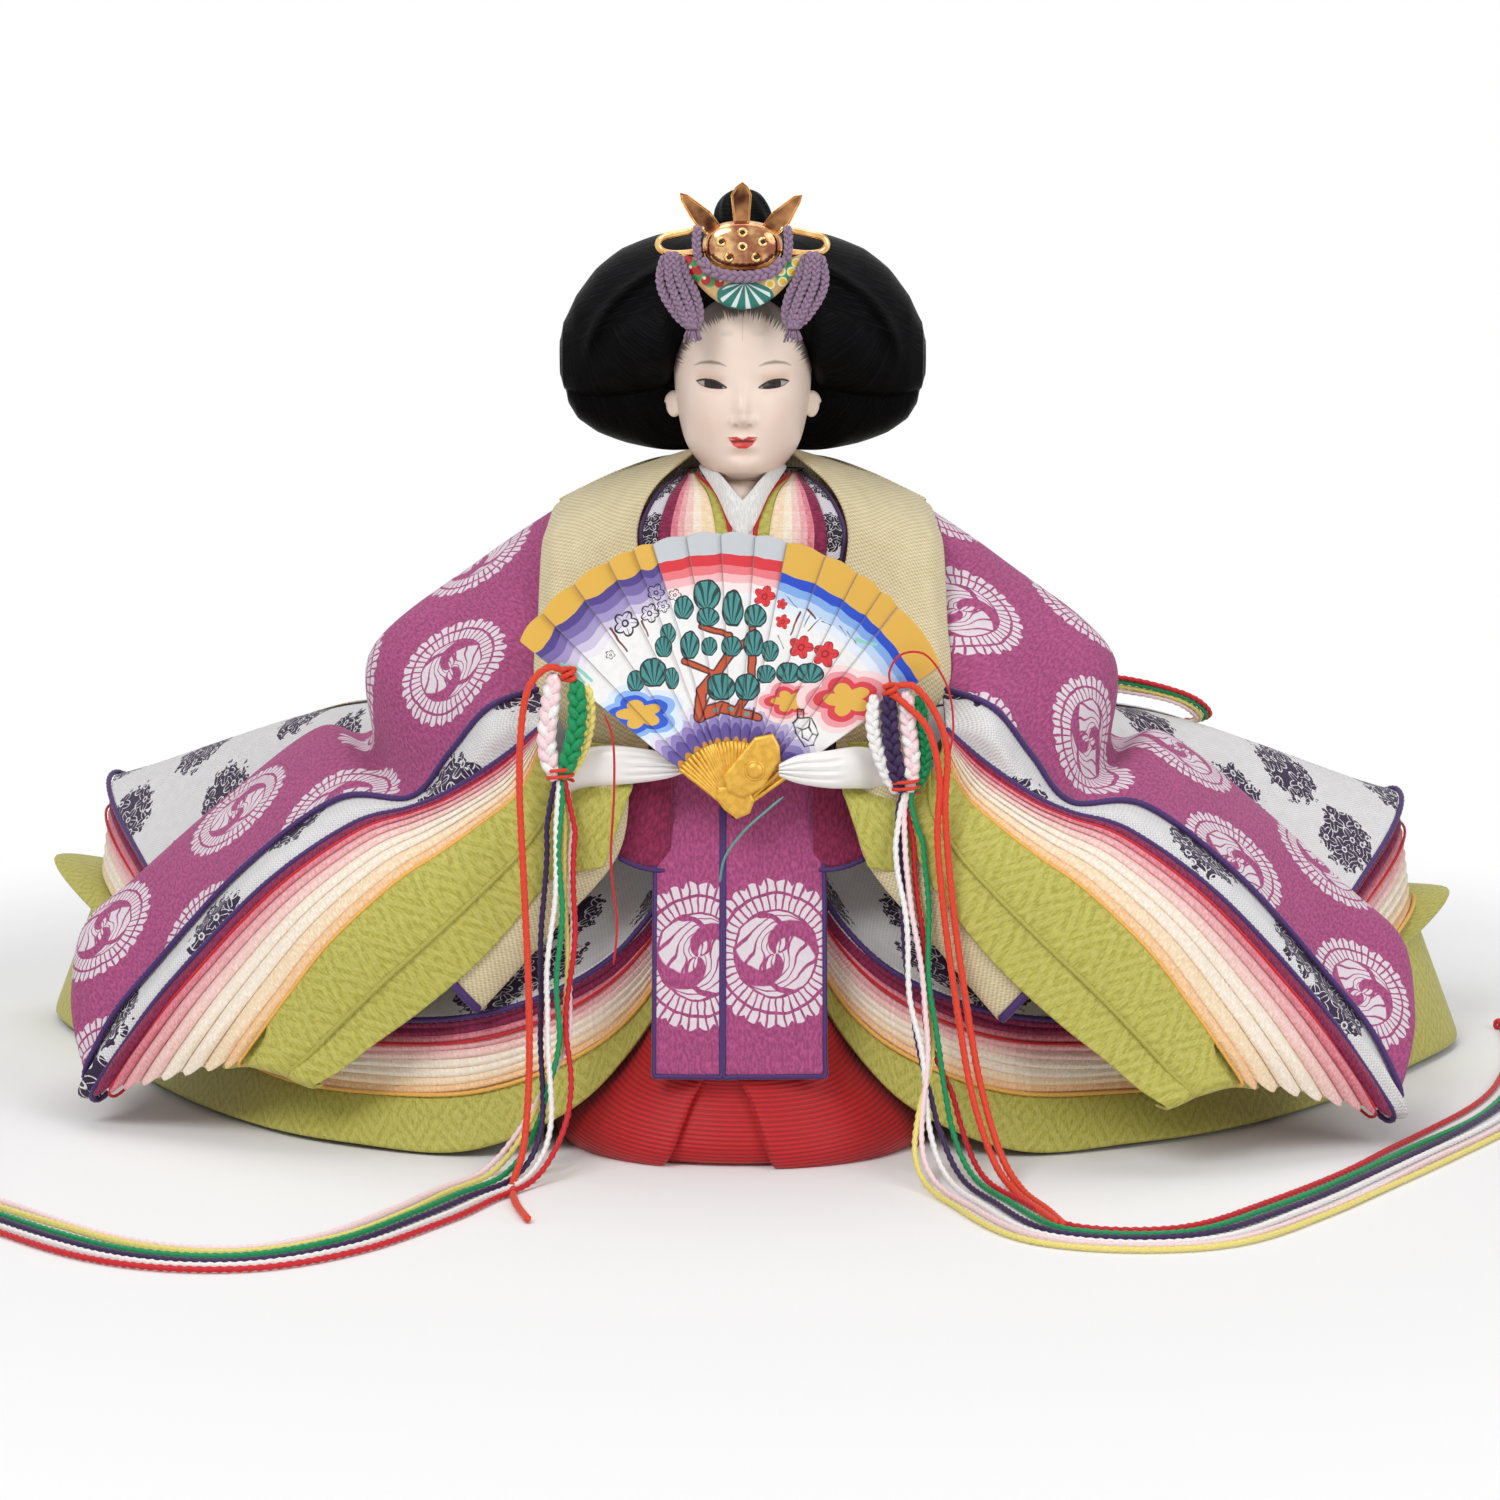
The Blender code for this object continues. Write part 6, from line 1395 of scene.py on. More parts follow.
def wingPlace(rows, opening):
    table = [Vector(row[1:]) for row in rows]
    stations = [row[0] for row in rows]

    def place(u, w):
        t = 2 * u - 1
        share = abs(math.sin(t * math.pi / 2)) ** 0.92
        index = 0
        while index < len(stations) - 2 and stations[index + 1] < share * stations[-1]:
            index += 1
        step = (share * stations[-1] - stations[index]) / (stations[index + 1] - stations[index])
        low, high, front, back = spline(table, index + min(max(step, 0), 1))
        x = math.copysign(share * stations[-1] * hair["half"], t)
        bottom = hair["bottom"] + low * hair["height"]
        top = hair["bottom"] + high * hair["height"]
        if opening:
            away = abs(x) / mm
            line = (hair["hairline"] - (away / hair["faceHalf"]) ** 2 * 12.5) * mm
            bottom = max(bottom, line * (1 - fade(away, 16.4, 20.0)) + bottom * fade(away, 16.4, 20.0))
        angle = 2 * math.pi * w
        c, s = math.cos(angle), math.sin(angle)
        y = -hair["back"] + (front + back) / 2 * hair["depth"] + math.copysign(abs(c) ** hair["power"], c) * (front - back) / 2 * hair["depth"]
        z = (bottom + top) / 2 + math.copysign(abs(s) ** hair["power"], s) * (top - bottom) / 2
        if opening and c > 0:
            # The raised roll that arches over each wing
            flat = math.hypot(x / 43.0 / mm, (z / mm - 186.0) / (31.0 if z > 0.186 else 22.0))
            roll = math.exp(-((flat - 0.90) / 0.035) ** 2) * fade(z / mm, 184, 196)
            dip = math.exp(-((flat - 0.80) / 0.045) ** 2) * fade(z / mm, 184, 196) * 0.6
            y -= (roll * 1.9 - dip * 1.4) * mm * fade(abs(x) / mm, 10, 20)
        return Vector((x, y, z))
    return place


def makeHair():
    for name, rows, opening, node, columns, around in (("hairWings", hair["front"], True, "hair_front", 150, 120),
                                                       ("hairBackWings", hair["rear"], False, "hair_back", 110, 80)):
        bm = mappedGrid(columns, around, wingPlace(rows, opening), closed=True)
        piece = finishPiece(name, bm, hairBlack, "head_set", [node])

    def bun(u, w):
        turn, tall = 2 * math.pi * u, math.pi * w
        groove = 1 + 0.035 * math.sin(turn * 9 + tall * 5)
        size = 7.3 * mm * groove * math.sin(tall) ** 0.85
        return Vector((size * math.cos(turn), -0.045 + size * math.sin(turn) * 0.95, 0.2208 - math.cos(tall) * 8.6 * mm))

    piece = finishPiece("hairTopknot", mappedGrid(72, 48, bun, closed=True), hairBlack, "head_set", ["topknot"])
    low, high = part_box("long_hair")
    middle = (Vector(low) + Vector(high)) / 2

    def lock(u, w):
        angle = 2 * math.pi * w
        z = high[2] + (low[2] - high[2]) * u
        size = math.sin(math.pi * min(1, 0.12 + u * 4)) if u < 0.1 else 1.0
        tip = 1 - 0.55 * fade(u, 0.7, 1.0)
        depth = low[1] + (high[1] - low[1]) * (0.22 + 0.45 * math.sin(u * 2.6) ** 2)
        depth -= 5.5 * mm * (1 - fade(u, 0.0, 0.4))
        return Vector((math.cos(angle) * 11.5 * mm * size * tip * (1 + 0.03 * math.sin(u * 9)),
                       depth + math.sin(angle) * 1.7 * mm * size, z))

    piece = finishPiece("hairTail", mappedGrid(60, 40, lock, closed=True), hairBlack, "head_set", ["long_hair"])


makeHair()
print("hair made")

# crown


def goldMaterial(name, colour, shade, rough, scale, depth):
    material, tree, shader = newMaterial(name, rough, 1.0)
    coords = addNode(tree, "ShaderNodeTexCoord").outputs["Object"]
    cloud = addNode(tree, "ShaderNodeTexNoise", {"Vector": coords, "Scale": scale, "Detail": 3.0}).outputs[0]
    tree.links.new(mixInk(tree, ramp(tree, cloud, 0.35, 0.65), ink(shade), ink(colour)), shader.inputs["Base Color"])
    tree.links.new(ramp(tree, cloud, 0.3, 0.7, rough * 0.8, rough * 1.3, smooth=False), shader.inputs["Roughness"])
    addBump(tree, shader, cloud, 0.5, depth * mm)
    return material


gold = {"bright": goldMaterial("brightGilt", "#F8D08E", "#DDA468", 0.13, 350.0, 0.08),
        "leaf": goldMaterial("goldLeafPaint", "#E8B64A", "#D9A43C", 0.34, 700.0, 0.02),
        # The recessed blade faces are painted dark brown: a painted reflection in the hollows
        "hollow": goldMaterial("shadedGilt", "#C98F5E", "#4A281E", 0.14, 110.0, 0.03),
        # The boss gilt's brown patches are painted reflections of a mirror-like gilt
        "boss": goldMaterial("bossGilt", "#F0C489", "#9A5F48", 0.12, 210.0, 0.03)}
gold["leaf"].node_tree.nodes["Principled BSDF"].inputs["Metallic"].default_value = 0.35

# Blades and loops in mm on the front plane, with their depth behind y of -45
crown = {
    "blades": {"Middle": [(0.0, 229.9), (-1.7, 228.7), (-2.8, 226.8), (-2.0, 219.0), (1.6, 219.0), (2.2, 226.8), (1.4, 228.7)],
               "Left": [(-15.0, 227.3), (-13.2, 226.9), (-7.6, 222.8), (-5.2, 219.4), (-8.6, 217.4), (-11.6, 219.9), (-14.8, 225.2)],
               "Right": [(14.4, 226.8), (12.4, 226.6), (7.2, 222.8), (4.6, 219.4), (8.2, 217.2), (11.2, 219.7), (13.9, 224.9)]},
    "bladeFront": -71.2, "bladeThick": 1.2, "bossFront": -74.0,
    "beads": [(0.0, 217.8), (-5.1, 215.6), (4.9, 215.6), (0.0, 214.4), (-3.2, 211.9), (3.3, 211.9)],
    "loop": [(-10.2, 213.4), (-15.0, 212.9), (-18.6, 213.2), (-20.2, 214.6), (-19.4, 216.6), (-15.4, 217.7), (-9.0, 218.9)],
}


def plateBm(outline, front, thick, inset, sink):
    bm = bmesh.new()
    verts = [bm.verts.new((x * mm, front * mm, z * mm)) for x, z in outline]
    face = bm.faces.new(verts)
    bm.normal_update()
    if face.normal.y > 0:
        face.normal_flip()
    grown = bmesh.ops.extrude_face_region(bm, geom=[face])
    back = [part for part in grown["geom"] if isinstance(part, bmesh.types.BMVert)]
    bmesh.ops.translate(bm, vec=(0, thick * mm, 0), verts=back)
    bmesh.ops.recalc_face_normals(bm, faces=bm.faces)
    fronts = [one for one in bm.faces if one.normal.y < -0.9]
    if inset:
        bmesh.ops.inset_region(bm, faces=fronts, thickness=inset * mm)
        bmesh.ops.translate(bm, vec=(0, sink * mm, 0), verts=list({v for one in fronts for v in one.verts}))
        for one in fronts:
            one.material_index = 1
    bmesh.ops.bevel(bm, geom=list(bm.edges), offset=min(0.12, thick * 0.2) * mm, offset_type="OFFSET", segments=2, profile=0.5,
                    affect="EDGES", material=-1, clamp_overlap=True)
    return bm


def plait(name, knots, width, radius, looks, body, period=None, thin=(0.0, 0.0), step=7):
    # Three strands woven over each other along a path
    period = period or width * 1.75
    path = evenPath(knots, period / (step * 2))
    frames = []
    for index, point in enumerate(path):
        way = path[min(index + 1, len(path) - 1)] - path[max(index - 1, 0)]
        across = way.cross(Vector((0, 1, 0))).normalized()
        frames.append((point, across, across.cross(way).normalized()))
    gap = (path[1] - path[0]).length
    whole = gap * (len(path) - 1)
    for strand in range(3):
        points = []
        for index, (point, across, over) in enumerate(frames):
            run = index * gap
            phase = 2 * math.pi * (run / period + strand / 3)
            size = 1.0
            if thin[0] and run < thin[0]:
                size = 0.45 + 0.55 * fade(run, 0, thin[0])
            if thin[1] and whole - run < thin[1]:
                size = 0.45 + 0.55 * fade(whole - run, 0, thin[1])
            points.append(point + across * math.sin(phase) * width * 0.27 * size + over * math.sin(2 * phase) * width * 0.17 * size)
        look = looks[strand % len(looks)]
        finishPiece("%s%d" % (name, strand), ropeBm(points, radius, 2, radius * 4.5, 7, 0.22, taper=radius), silk[look], body)


def crownPlateMaterial():
    material, tree, shader = newMaterial("paintedCrownPlate", 0.30, 0.15, Coat_Weight=0.35, Coat_Roughness=0.15)
    plane, front, coords = frontPlane(tree, -0.060)
    cloud = addNode(tree, "ShaderNodeTexNoise", {"Vector": coords, "Scale": 500.0, "Detail": 2.0}).outputs[0]
    base = mixInk(tree, cloud, ink("#C99857"), ink("#E9C68B"))

    def dots(points, radius, colour, base, soft=0.10):
        masks = [addStroke(tree, plane, (x, z), (x + 0.05, z), radius, radius, soft) for x, z in points]
        return mixInk(tree, layMasks(tree, masks), base, ink(colour))

    base = dots([(-12.6, 210.2), (-11.4, 207.6), (-9.6, 209.2), (-8.0, 206.6), (11.0, 209.8), (13.0, 208.0), (9.6, 207.6)], 1.7, "#2E9A52", base, 0.3)
    base = dots([(-13.2, 211.4), (-12.4, 208.8), (-10.6, 208.9), (-8.8, 206.5), (-5.6, 205.9), (-11.9, 205.6)], 1.15, "#B8191A", base)
    base = dots([(-12.6, 209.7), (-9.2, 207.1), (-5.3, 206.5), (-10.4, 204.3), (-8.4, 208.4)], 0.38, "#F7F2EC", base)
    base = dots([(12.9, 210.7), (11.8, 208.6), (9.2, 208.7), (9.6, 206.2), (6.6, 205.6), (13.2, 206.0)], 1.15, "#FBF6DC", base)
    base = dots([(12.9, 210.7), (11.8, 208.6), (9.2, 208.7), (9.6, 206.2), (6.6, 205.6)], 0.78, "#F2C81B", base)
    pine = useGroup(tree, groups["pineFan"], Vector=plane, Centre=(0.5 * mm, 205.4 * mm, 0), Size=(7.2 * mm, -5.6 * mm, 1), Ribs=7.0)
    base = mixInk(tree, pine["Mask"], base, mixInk(tree, pine["Ribs"], ink("#167A70"), ink("#E4F1EC")))
    tree.links.new(base, shader.inputs["Base Color"])
    return material


def makePineFan():
    # Fan of pine needles: a half oval from its foot, with radial ribs; the size may be negative to hang it
    tree, given, out = newGroup("pineFan", [("Vector", "Vector", None), ("Centre", "Vector", (0, 0, 0)), ("Size", "Vector", (1, 1, 1)),
                                            ("Ribs", "Float", 7.0)], [("Mask", "Float"), ("Ribs", "Float"), ("Edge", "Float")])
    x, y = splitVector(tree, vectorCalc(tree, "DIVIDE", vectorCalc(tree, "SUBTRACT", given["Vector"], given["Centre"]), given["Size"]))[:2]
    far, turn = polar(tree, x, calc(tree, "SUBTRACT", y, 0.45))
    lobes = calc(tree, "ADD", calc(tree, "MULTIPLY", calc(tree, "ABSOLUTE", calc(tree, "COSINE", calc(tree, "MULTIPLY", turn, 2.5))), 0.05), 0.92)
    oval = calc(tree, "MULTIPLY", calc(tree, "LESS_THAN", polar(tree, x, calc(tree, "MULTIPLY", calc(tree, "SUBTRACT", y, 0.45), 1.55))[0], lobes),
                calc(tree, "GREATER_THAN", y, -0.12))
    inner = calc(tree, "MULTIPLY", calc(tree, "LESS_THAN", polar(tree, x, calc(tree, "MULTIPLY", calc(tree, "SUBTRACT", y, 0.45), 1.55))[0], calc(tree, "SUBTRACT", lobes, 0.11)),
                 calc(tree, "GREATER_THAN", y, -0.04))
    away, fan = polar(tree, x, calc(tree, "ADD", y, 0.12))
    ribs = ramp(tree, calc(tree, "SINE", calc(tree, "MULTIPLY", fan, calc(tree, "MULTIPLY", given["Ribs"], 2.0))), 0.25, 0.6)
    tree.links.new(oval, out["Mask"])
    tree.links.new(calc(tree, "MULTIPLY", ribs, inner), out["Ribs"])
    tree.links.new(calc(tree, "SUBTRACT", oval, inner), out["Edge"])
    return tree


groups["pineFan"] = makePineFan()


def makeCrown():
    for word, outline in crown["blades"].items():
        bm = plateBm(outline, crown["bladeFront"], crown["bladeThick"], 0.52, 0.55)
        finishPiece("crownBlade" + word, bm, [gold["bright"], gold["hollow"]], "head_set", ["crown_prongs"] if word == "Middle" else (), smooth=False)
    steps = [(0.0, 0.0), (0.55, 0.10), (0.82, 0.32), (0.95, 0.62), (1.0, 1.0), (1.04, 1.25), (0.9, 1.35), (0.0, 1.35)]
    table = [Vector((reach, rise, 0)) for reach, rise in steps]

    def dome(u, w):
        angle = 2 * math.pi * u
        part = spline(table, w * (len(table) - 1))
        c, s = math.cos(angle), math.sin(angle)
        return Vector((math.copysign(abs(c) ** 0.9, c) * part.x * 9.2 * mm, (crown["bossFront"] + part.y * 2.9) * mm,
                       (214.6 + math.copysign(abs(s) ** 0.85, s) * part.x * 5.9) * mm))

    finishPiece("crownBoss", mappedGrid(64, 40, dome, closed=True), gold["boss"], "head_set", ["crown_boss"])
    for number, (x, z) in enumerate(crown["beads"]):
        flat = math.hypot(x / 9.2, (z - 214.6) / 5.9)
        depth = crown["bossFront"] + 2.9 * (0.10 * flat / 0.55 if flat < 0.55 else 0.10 + 0.22 * (flat - 0.55) / 0.27) - 0.35
        ring = [Vector(((x + 0.92 * math.cos(a)) * mm, depth * mm, (z + 0.82 * math.sin(a)) * mm)) for a in spread(0, 2 * math.pi, 25)]
        finishPiece("crownBead%d" % number, ropeBm(ring, 0.40 * mm, 0, around=8), gold["bright"], "head_set")
        bm = bmesh.new()
        bmesh.ops.create_icosphere(bm, subdivisions=2, radius=0.55 * mm)
        bmesh.ops.scale(bm, vec=(1, 0.4, 0.9), verts=bm.verts)
        bmesh.ops.translate(bm, vec=(x * mm, (depth + 0.1) * mm, z * mm), verts=bm.verts)
        finishPiece("crownSeat%d" % number, bm, darkWood, "head_set")

    def crescent(u, w):
        x = (2 * u - 1) * 14.8
        low = 199.4 + 11.8 * abs(x / 14.8) ** 2.1
        high = 209.6 + 3.6 * abs(x / 14.8) ** 1.5
        return Vector((x * mm, (-70.9 - 1.6 * math.sin(math.pi * w) ** 0.7 * (1 - abs(x / 15.2) ** 3)) * mm, (low + (high - low) * w) * mm))

    # Black silk pad that the crown is pinned on
    bm = bmesh.new()
    bmesh.ops.create_uvsphere(bm, u_segments=32, v_segments=24, radius=1.0)
    bmesh.ops.scale(bm, vec=(10 * mm, 6.5 * mm, 5.2 * mm), verts=bm.verts)
    bmesh.ops.translate(bm, vec=(0, -65.4 * mm, 208.6 * mm), verts=bm.verts)
    pad = finishPiece("crownPad", bm, hairBlack, "head_set")
    bm = mappedGrid(60, 24, crescent)
    faceTowards(bm, Vector((0, -1, 0)))
    plate = finishPiece("crownPlate", bm, crownPlateMaterial(), "head_set", ["crown_plate"])
    thicken(plate, 1.3 * mm)
    for sign, word in ((-1, "Left"), (1, "Right")):
        knots = [Vector((-sign * x * mm, -70.0 * mm, z * mm)) for x, z in crown["loop"]]
        path = evenPath(knots, 0.5 * mm)
        finishPiece("hairpin" + word, ropeBm(path, 0.85 * mm, 0, around=12), gold["bright"], "head_set", ["hairpin"] if sign < 0 else ())
        hangs = [[(-18.7, 212.4), (-19.8, 207.3), (-18.9, 203.1), (-15.9, 198.4), (-12.9, 195.2)],
                 [(-17.6, 213.4), (-17.6, 207.3), (-16.3, 203.1), (-14.0, 198.2), (-12.2, 195.0)],
                 [(-16.3, 213.4), (-15.5, 207.4), (-13.8, 203.2), (-12.1, 198.4), (-11.6, 195.0)],
                 [(-15.2, 212.4), (-13.4, 207.4), (-11.4, 203.4), (-10.3, 198.8), (-11.0, 195.2)]]
        for number, knots in enumerate(hangs):
            depth = -71.8 - (0.9 if number in (1, 2) else 0.0)
            hang = [Vector((-sign * x * mm, (depth - index * 0.25) * mm, z * mm)) for index, (x, z) in enumerate(knots)]
            plait("crownPlait%s%d" % (word, number), hang, 2.5 * mm, 0.58 * mm, ["mauveTwist"], "head_set", thin=(1 * mm, 3 * mm))
        tie = [Vector(((-sign * -12.1 + 1.5 * math.cos(a)) * mm, (-72.2 + 1.3 * math.sin(a)) * mm, 195.2 * mm)) for a in spread(0, 2 * math.pi, 22)]
        finishPiece("crownTie" + word, ropeBm(tie, 0.42 * mm, 2, 2 * mm, 7), silk["mauveTwist"], "head_set",
                    stands=["crown_cord_" + word.lower()])
        for number in range(16):
            spin = number * 2.4
            start = Vector((-sign * -12.1 * mm, -72.2 * mm, 195.0 * mm)) + Vector((math.cos(spin), math.sin(spin) * 0.7, 0)) * 0.9 * mm
            end = start + Vector((math.cos(spin) * 1.3, math.sin(spin) * 1.0, -2.6 - 0.7 * math.sin(number * 5.1))) * mm
            finishPiece("crownFray%s%d" % (word, number), ropeBm([start, start.lerp(end, 0.5) + Vector((0, 0, 0.2 * mm)), end], 0.26 * mm, 0, around=6),
                        silk["mauveTwist"], "head_set")
        band = [(-10.6, 219.4), (-11.0, 216.4), (-10.9, 213.4), (-10.4, 211.0)]
        plait("crownBand" + word, [Vector((-sign * x * mm, -73.6 * mm, z * mm)) for x, z in band], 2.5 * mm, 0.58 * mm, ["mauveTwist"], "head_set")
    swag = [(-9.8, 211.6), (-8.2, 209.2), (-4.6, 207.8), (0.2, 207.3), (4.8, 207.8), (8.0, 209.2), (9.6, 211.6)]
    plait("crownSwag", [Vector((x * mm, -75.0 * mm, z * mm)) for x, z in swag], 3.3 * mm, 0.76 * mm, ["mauveTwist"], "head_set")


def plainGrain(name, colour, shade, rough, scale=300.0, stretch=1.0):
    material, tree, shader = newMaterial(name, rough)
    coords = addNode(tree, "ShaderNodeTexCoord").outputs["Object"]
    x, y, z = splitVector(tree, coords)[:3]
    grain = addNode(tree, "ShaderNodeTexNoise", {"Vector": joinVector(tree, calc(tree, "MULTIPLY", x, stretch), y, z), "Scale": scale, "Detail": 3.0}).outputs[0]
    tree.links.new(mixInk(tree, ramp(tree, grain, 0.35, 0.65), ink(shade), ink(colour)), shader.inputs["Base Color"])
    addBump(tree, shader, grain, 0.4, 0.1 * mm)
    return material


darkWood = plainGrain("darkSeat", "#3A241B", "#20120D", 0.5)
makeCrown()
print("crown made")

# hands, fan and its plaits

hands = {"length": 0.0295, "height": 0.0092, "level": 0.0928, "back": 0.1026, "wrist": {"Left": 0.043, "Right": 0.038},
         "rows": {"Left": [(-0.20, 0, -0.74, 0.34, 0.38), (-0.10, 0, -0.52, 0.37, 0.46), (0.02, 0, -0.30, 0.37, 0.48), (0.18, 0.007, -0.06, 0.35, 0.50), (0.37, 0.030, 0.04, 0.30, 0.52),
                           (0.61, 0.068, 0.06, 0.24, 0.46), (0.85, 0.102, 0.06, 0.18, 0.33), (1, 0.122, 0.02, 0.08, 0.13)],
                  "Right": [(-0.32, 0, -1.00, 0.36, 0.42), (-0.15, 0, -0.72, 0.37, 0.46), (0.02, 0, -0.38, 0.37, 0.50), (0.18, 0.020, -0.10, 0.35, 0.50), (0.37, 0.150, 0.04, 0.30, 0.54),
                            (0.61, 0.300, 0.06, 0.26, 0.48), (0.85, 0.340, 0.08, 0.19, 0.36), (1, 0.345, 0.06, 0.09, 0.15)]}}


def makeHands():
    skin, tree, shader = newMaterial("whiteHands", 0.30, Coat_Weight=0.2, Coat_Roughness=0.15)
    coords = addNode(tree, "ShaderNodeTexCoord").outputs["Object"]
    cloud = addNode(tree, "ShaderNodeTexNoise", {"Vector": coords, "Scale": 200.0, "Detail": 2.0}).outputs[0]
    tree.links.new(mixInk(tree, cloud, ink("#EDE9E6"), ink("#FAF8F6")), shader.inputs["Base Color"])
    addBump(tree, shader, cloud, 0.1, 0.05 * mm)
    for sign, word in ((-1, "Left"), (1, "Right")):
        rows = [Vector(row[:3]) for row in hands["rows"][word]]
        sizes = [Vector((row[3], row[4], 0)) for row in hands["rows"][word]]

        def place(u, w, sign=sign, word=word, rows=rows, sizes=sizes):
            along, swing, level = spline(rows, u * (len(rows) - 1))
            depth, tall = spline(sizes, u * (len(sizes) - 1))[:2]
            angle = 2 * math.pi * w
            c, s = math.cos(angle), math.sin(angle)
            z = math.copysign(abs(s) ** 0.85, s) * tall
            groove = 0.0
            if c < 0.2 and along > 0.42:
                for line in (-0.46, 0.0, 0.46):
                    groove += math.exp(-((z / tall - line) / 0.075) ** 2)
            cut = groove * 0.11 * fade(along, 0.44, 0.62) * fade(-c, -0.2, 0.3)
            y = c * depth
            return Vector((sign * (hands["wrist"][word] - along * hands["length"]),
                           -hands["back"] - swing * hands["length"] + (y + cut) * hands["height"],
                           hands["level"] + (level + z) * hands["height"]))

        bm = mappedGrid(64, 56, place, closed=True)
        finishPiece("whiteHand" + word, bm, skin, word.lower() + "_hand", ["hand_" + word.lower()])


makeHands()


def makeCuffs():
    # Inner fronts of the lime sleeves, behind the wrists
    rows = {"Left": [((574, 740), (614, 744)), ((556, 788), (632, 778)), ((545, 815), (628, 800)), ((530, 880), (604, 868))],
            "Right": [((848, 742), (888, 740)), ((842, 780), (914, 792)), ((846, 802), (926, 820)), ((868, 868), (950, 884))]}
    for word in ("Left", "Right"):
        depths = (-0.1005, -0.1020, -0.1062, -0.1082) if word == "Left" else (-0.1005, -0.1026, -0.1086, -0.1110)
        ends = [[seen(u, v, depth) for (u, v), depth in zip([pair[k] for pair in rows[word]], depths)] for k in (0, 1)]

        def place(u, w, ends=ends):
            point = spline(ends[0], 3 * w).lerp(spline(ends[1], 3 * w), u)
            return point + Vector((0, -1.4 * mm * math.sin(math.pi * u) * math.sin(math.pi * w), 0))

        clothPiece("limeCuff" + word, 20, 26, place, "limeSilk", (0, -1, 0), 1.0 * mm)


makeCuffs()

# Sizes in mm on the front plane; the folds run from the pivot to the outer arc at these angles about the arc's centre
fan = {"radius": 57.0, "x": -4.5, "z": 90.8, "back": 107.5, "thick": 1.7, "step": 0.8, "pivot": (-1.6, 82.8), "inner": 0.20,
       "folds": [27.5, 45, 50, 57, 65.5, 75, 82.5, 90.5, 98.5, 106.5, 111, 117.5, 127, 137, 145.5],
       "guard": [(0.0, 0.02), (0.03, 0.055), (0.13, 0.176), (0.205, 0.19), (0.232, 0.14), (0.235, 0.075), (0.205, 0.035), (0.165, -0.03),
                 (0.085, -0.077), (0.02, -0.05)],
       "heel": [(-0.02, -0.03), (-0.03, -0.077), (0.0, -0.12), (0.055, -0.163), (0.11, -0.14), (0.13, -0.085), (0.10, -0.03)]}


def fanAt(share, leaf):
    # Point at a share of the way from the pivot to the outer arc, on a fold given by its number.
    turn = math.radians(between(fan["folds"], leaf))
    x, z = fan["x"] + fan["radius"] * math.cos(turn), fan["z"] + fan["radius"] * math.sin(turn)
    return fan["pivot"][0] + (x - fan["pivot"][0]) * share, fan["pivot"][1] + (z - fan["pivot"][1]) * share


def fanReach(first, last, spots, size):
    # Whether a motif about these spots touches the leaves between two folds.
    ways = []
    for leaf in (first, last):
        x, z = fanAt(1.0, leaf)
        ways.append(math.atan2(z - fan["pivot"][1], x - fan["pivot"][0]))
    for x, z in spots:
        x, z = x - fan["pivot"][0], z - fan["pivot"][1]
        spare = math.asin(min(1.0, (size + 1.0) / math.hypot(x, z)))
        if ways[0] - spare < math.atan2(z, x) < ways[1] + spare:
            return True
    return False


def makePlum():
    tree, given, out = newGroup("plum", [("Vector", "Vector", None), ("Centre", "Vector", (0, 0, 0)), ("Radius", "Float", 0.003)],
                                [("Mask", "Float"), ("Line", "Float")])
    x, y = splitVector(tree, vectorCalc(tree, "SUBTRACT", given["Vector"], given["Centre"]))[:2]
    far, turn = polar(tree, calc(tree, "DIVIDE", x, given["Radius"]), calc(tree, "DIVIDE", y, given["Radius"]))
    edge = calc(tree, "ADD", calc(tree, "MULTIPLY", calc(tree, "ABSOLUTE", calc(tree, "COSINE", calc(tree, "MULTIPLY", turn, 2.5))), 0.35), 0.62)
    tree.links.new(calc(tree, "LESS_THAN", far, edge), out["Mask"])
    rim = calc(tree, "LESS_THAN", calc(tree, "ABSOLUTE", calc(tree, "SUBTRACT", far, edge)), 0.085)
    heart = calc(tree, "LESS_THAN", calc(tree, "ABSOLUTE", calc(tree, "SUBTRACT", far, 0.22)), 0.07)
    spokes = calc(tree, "MULTIPLY", calc(tree, "LESS_THAN", calc(tree, "ABSOLUTE", calc(tree, "SINE", calc(tree, "MULTIPLY", turn, 2.5))), 0.10),
                  calc(tree, "MULTIPLY", calc(tree, "GREATER_THAN", far, 0.3), calc(tree, "LESS_THAN", far, edge)))
    tree.links.new(calc(tree, "MAXIMUM", rim, calc(tree, "MAXIMUM", heart, spokes)), out["Line"])
    return tree


def makeCloud():
    # Distance in the bands of a lobed cloud: below 0 is inside
    tree, given, out = newGroup("cloudBand", [("Vector", "Vector", None), ("Centre", "Vector", (0, 0, 0)), ("Size", "Vector", (1, 1, 1)),
                                              ("Lobes", "Float", 4.0)], [("Distance", "Float")])
    x, y = splitVector(tree, vectorCalc(tree, "DIVIDE", vectorCalc(tree, "SUBTRACT", given["Vector"], given["Centre"]), given["Size"]))[:2]
    far, turn = polar(tree, x, y)
    lobe = calc(tree, "MULTIPLY", calc(tree, "ABSOLUTE", calc(tree, "SINE", calc(tree, "MULTIPLY", turn, given["Lobes"]))), 0.22)
    tree.links.new(calc(tree, "SUBTRACT", far, calc(tree, "ADD", lobe, 0.78)), out["Distance"])
    return tree


groups["plum"] = makePlum()
groups["cloudBand"] = makeCloud()


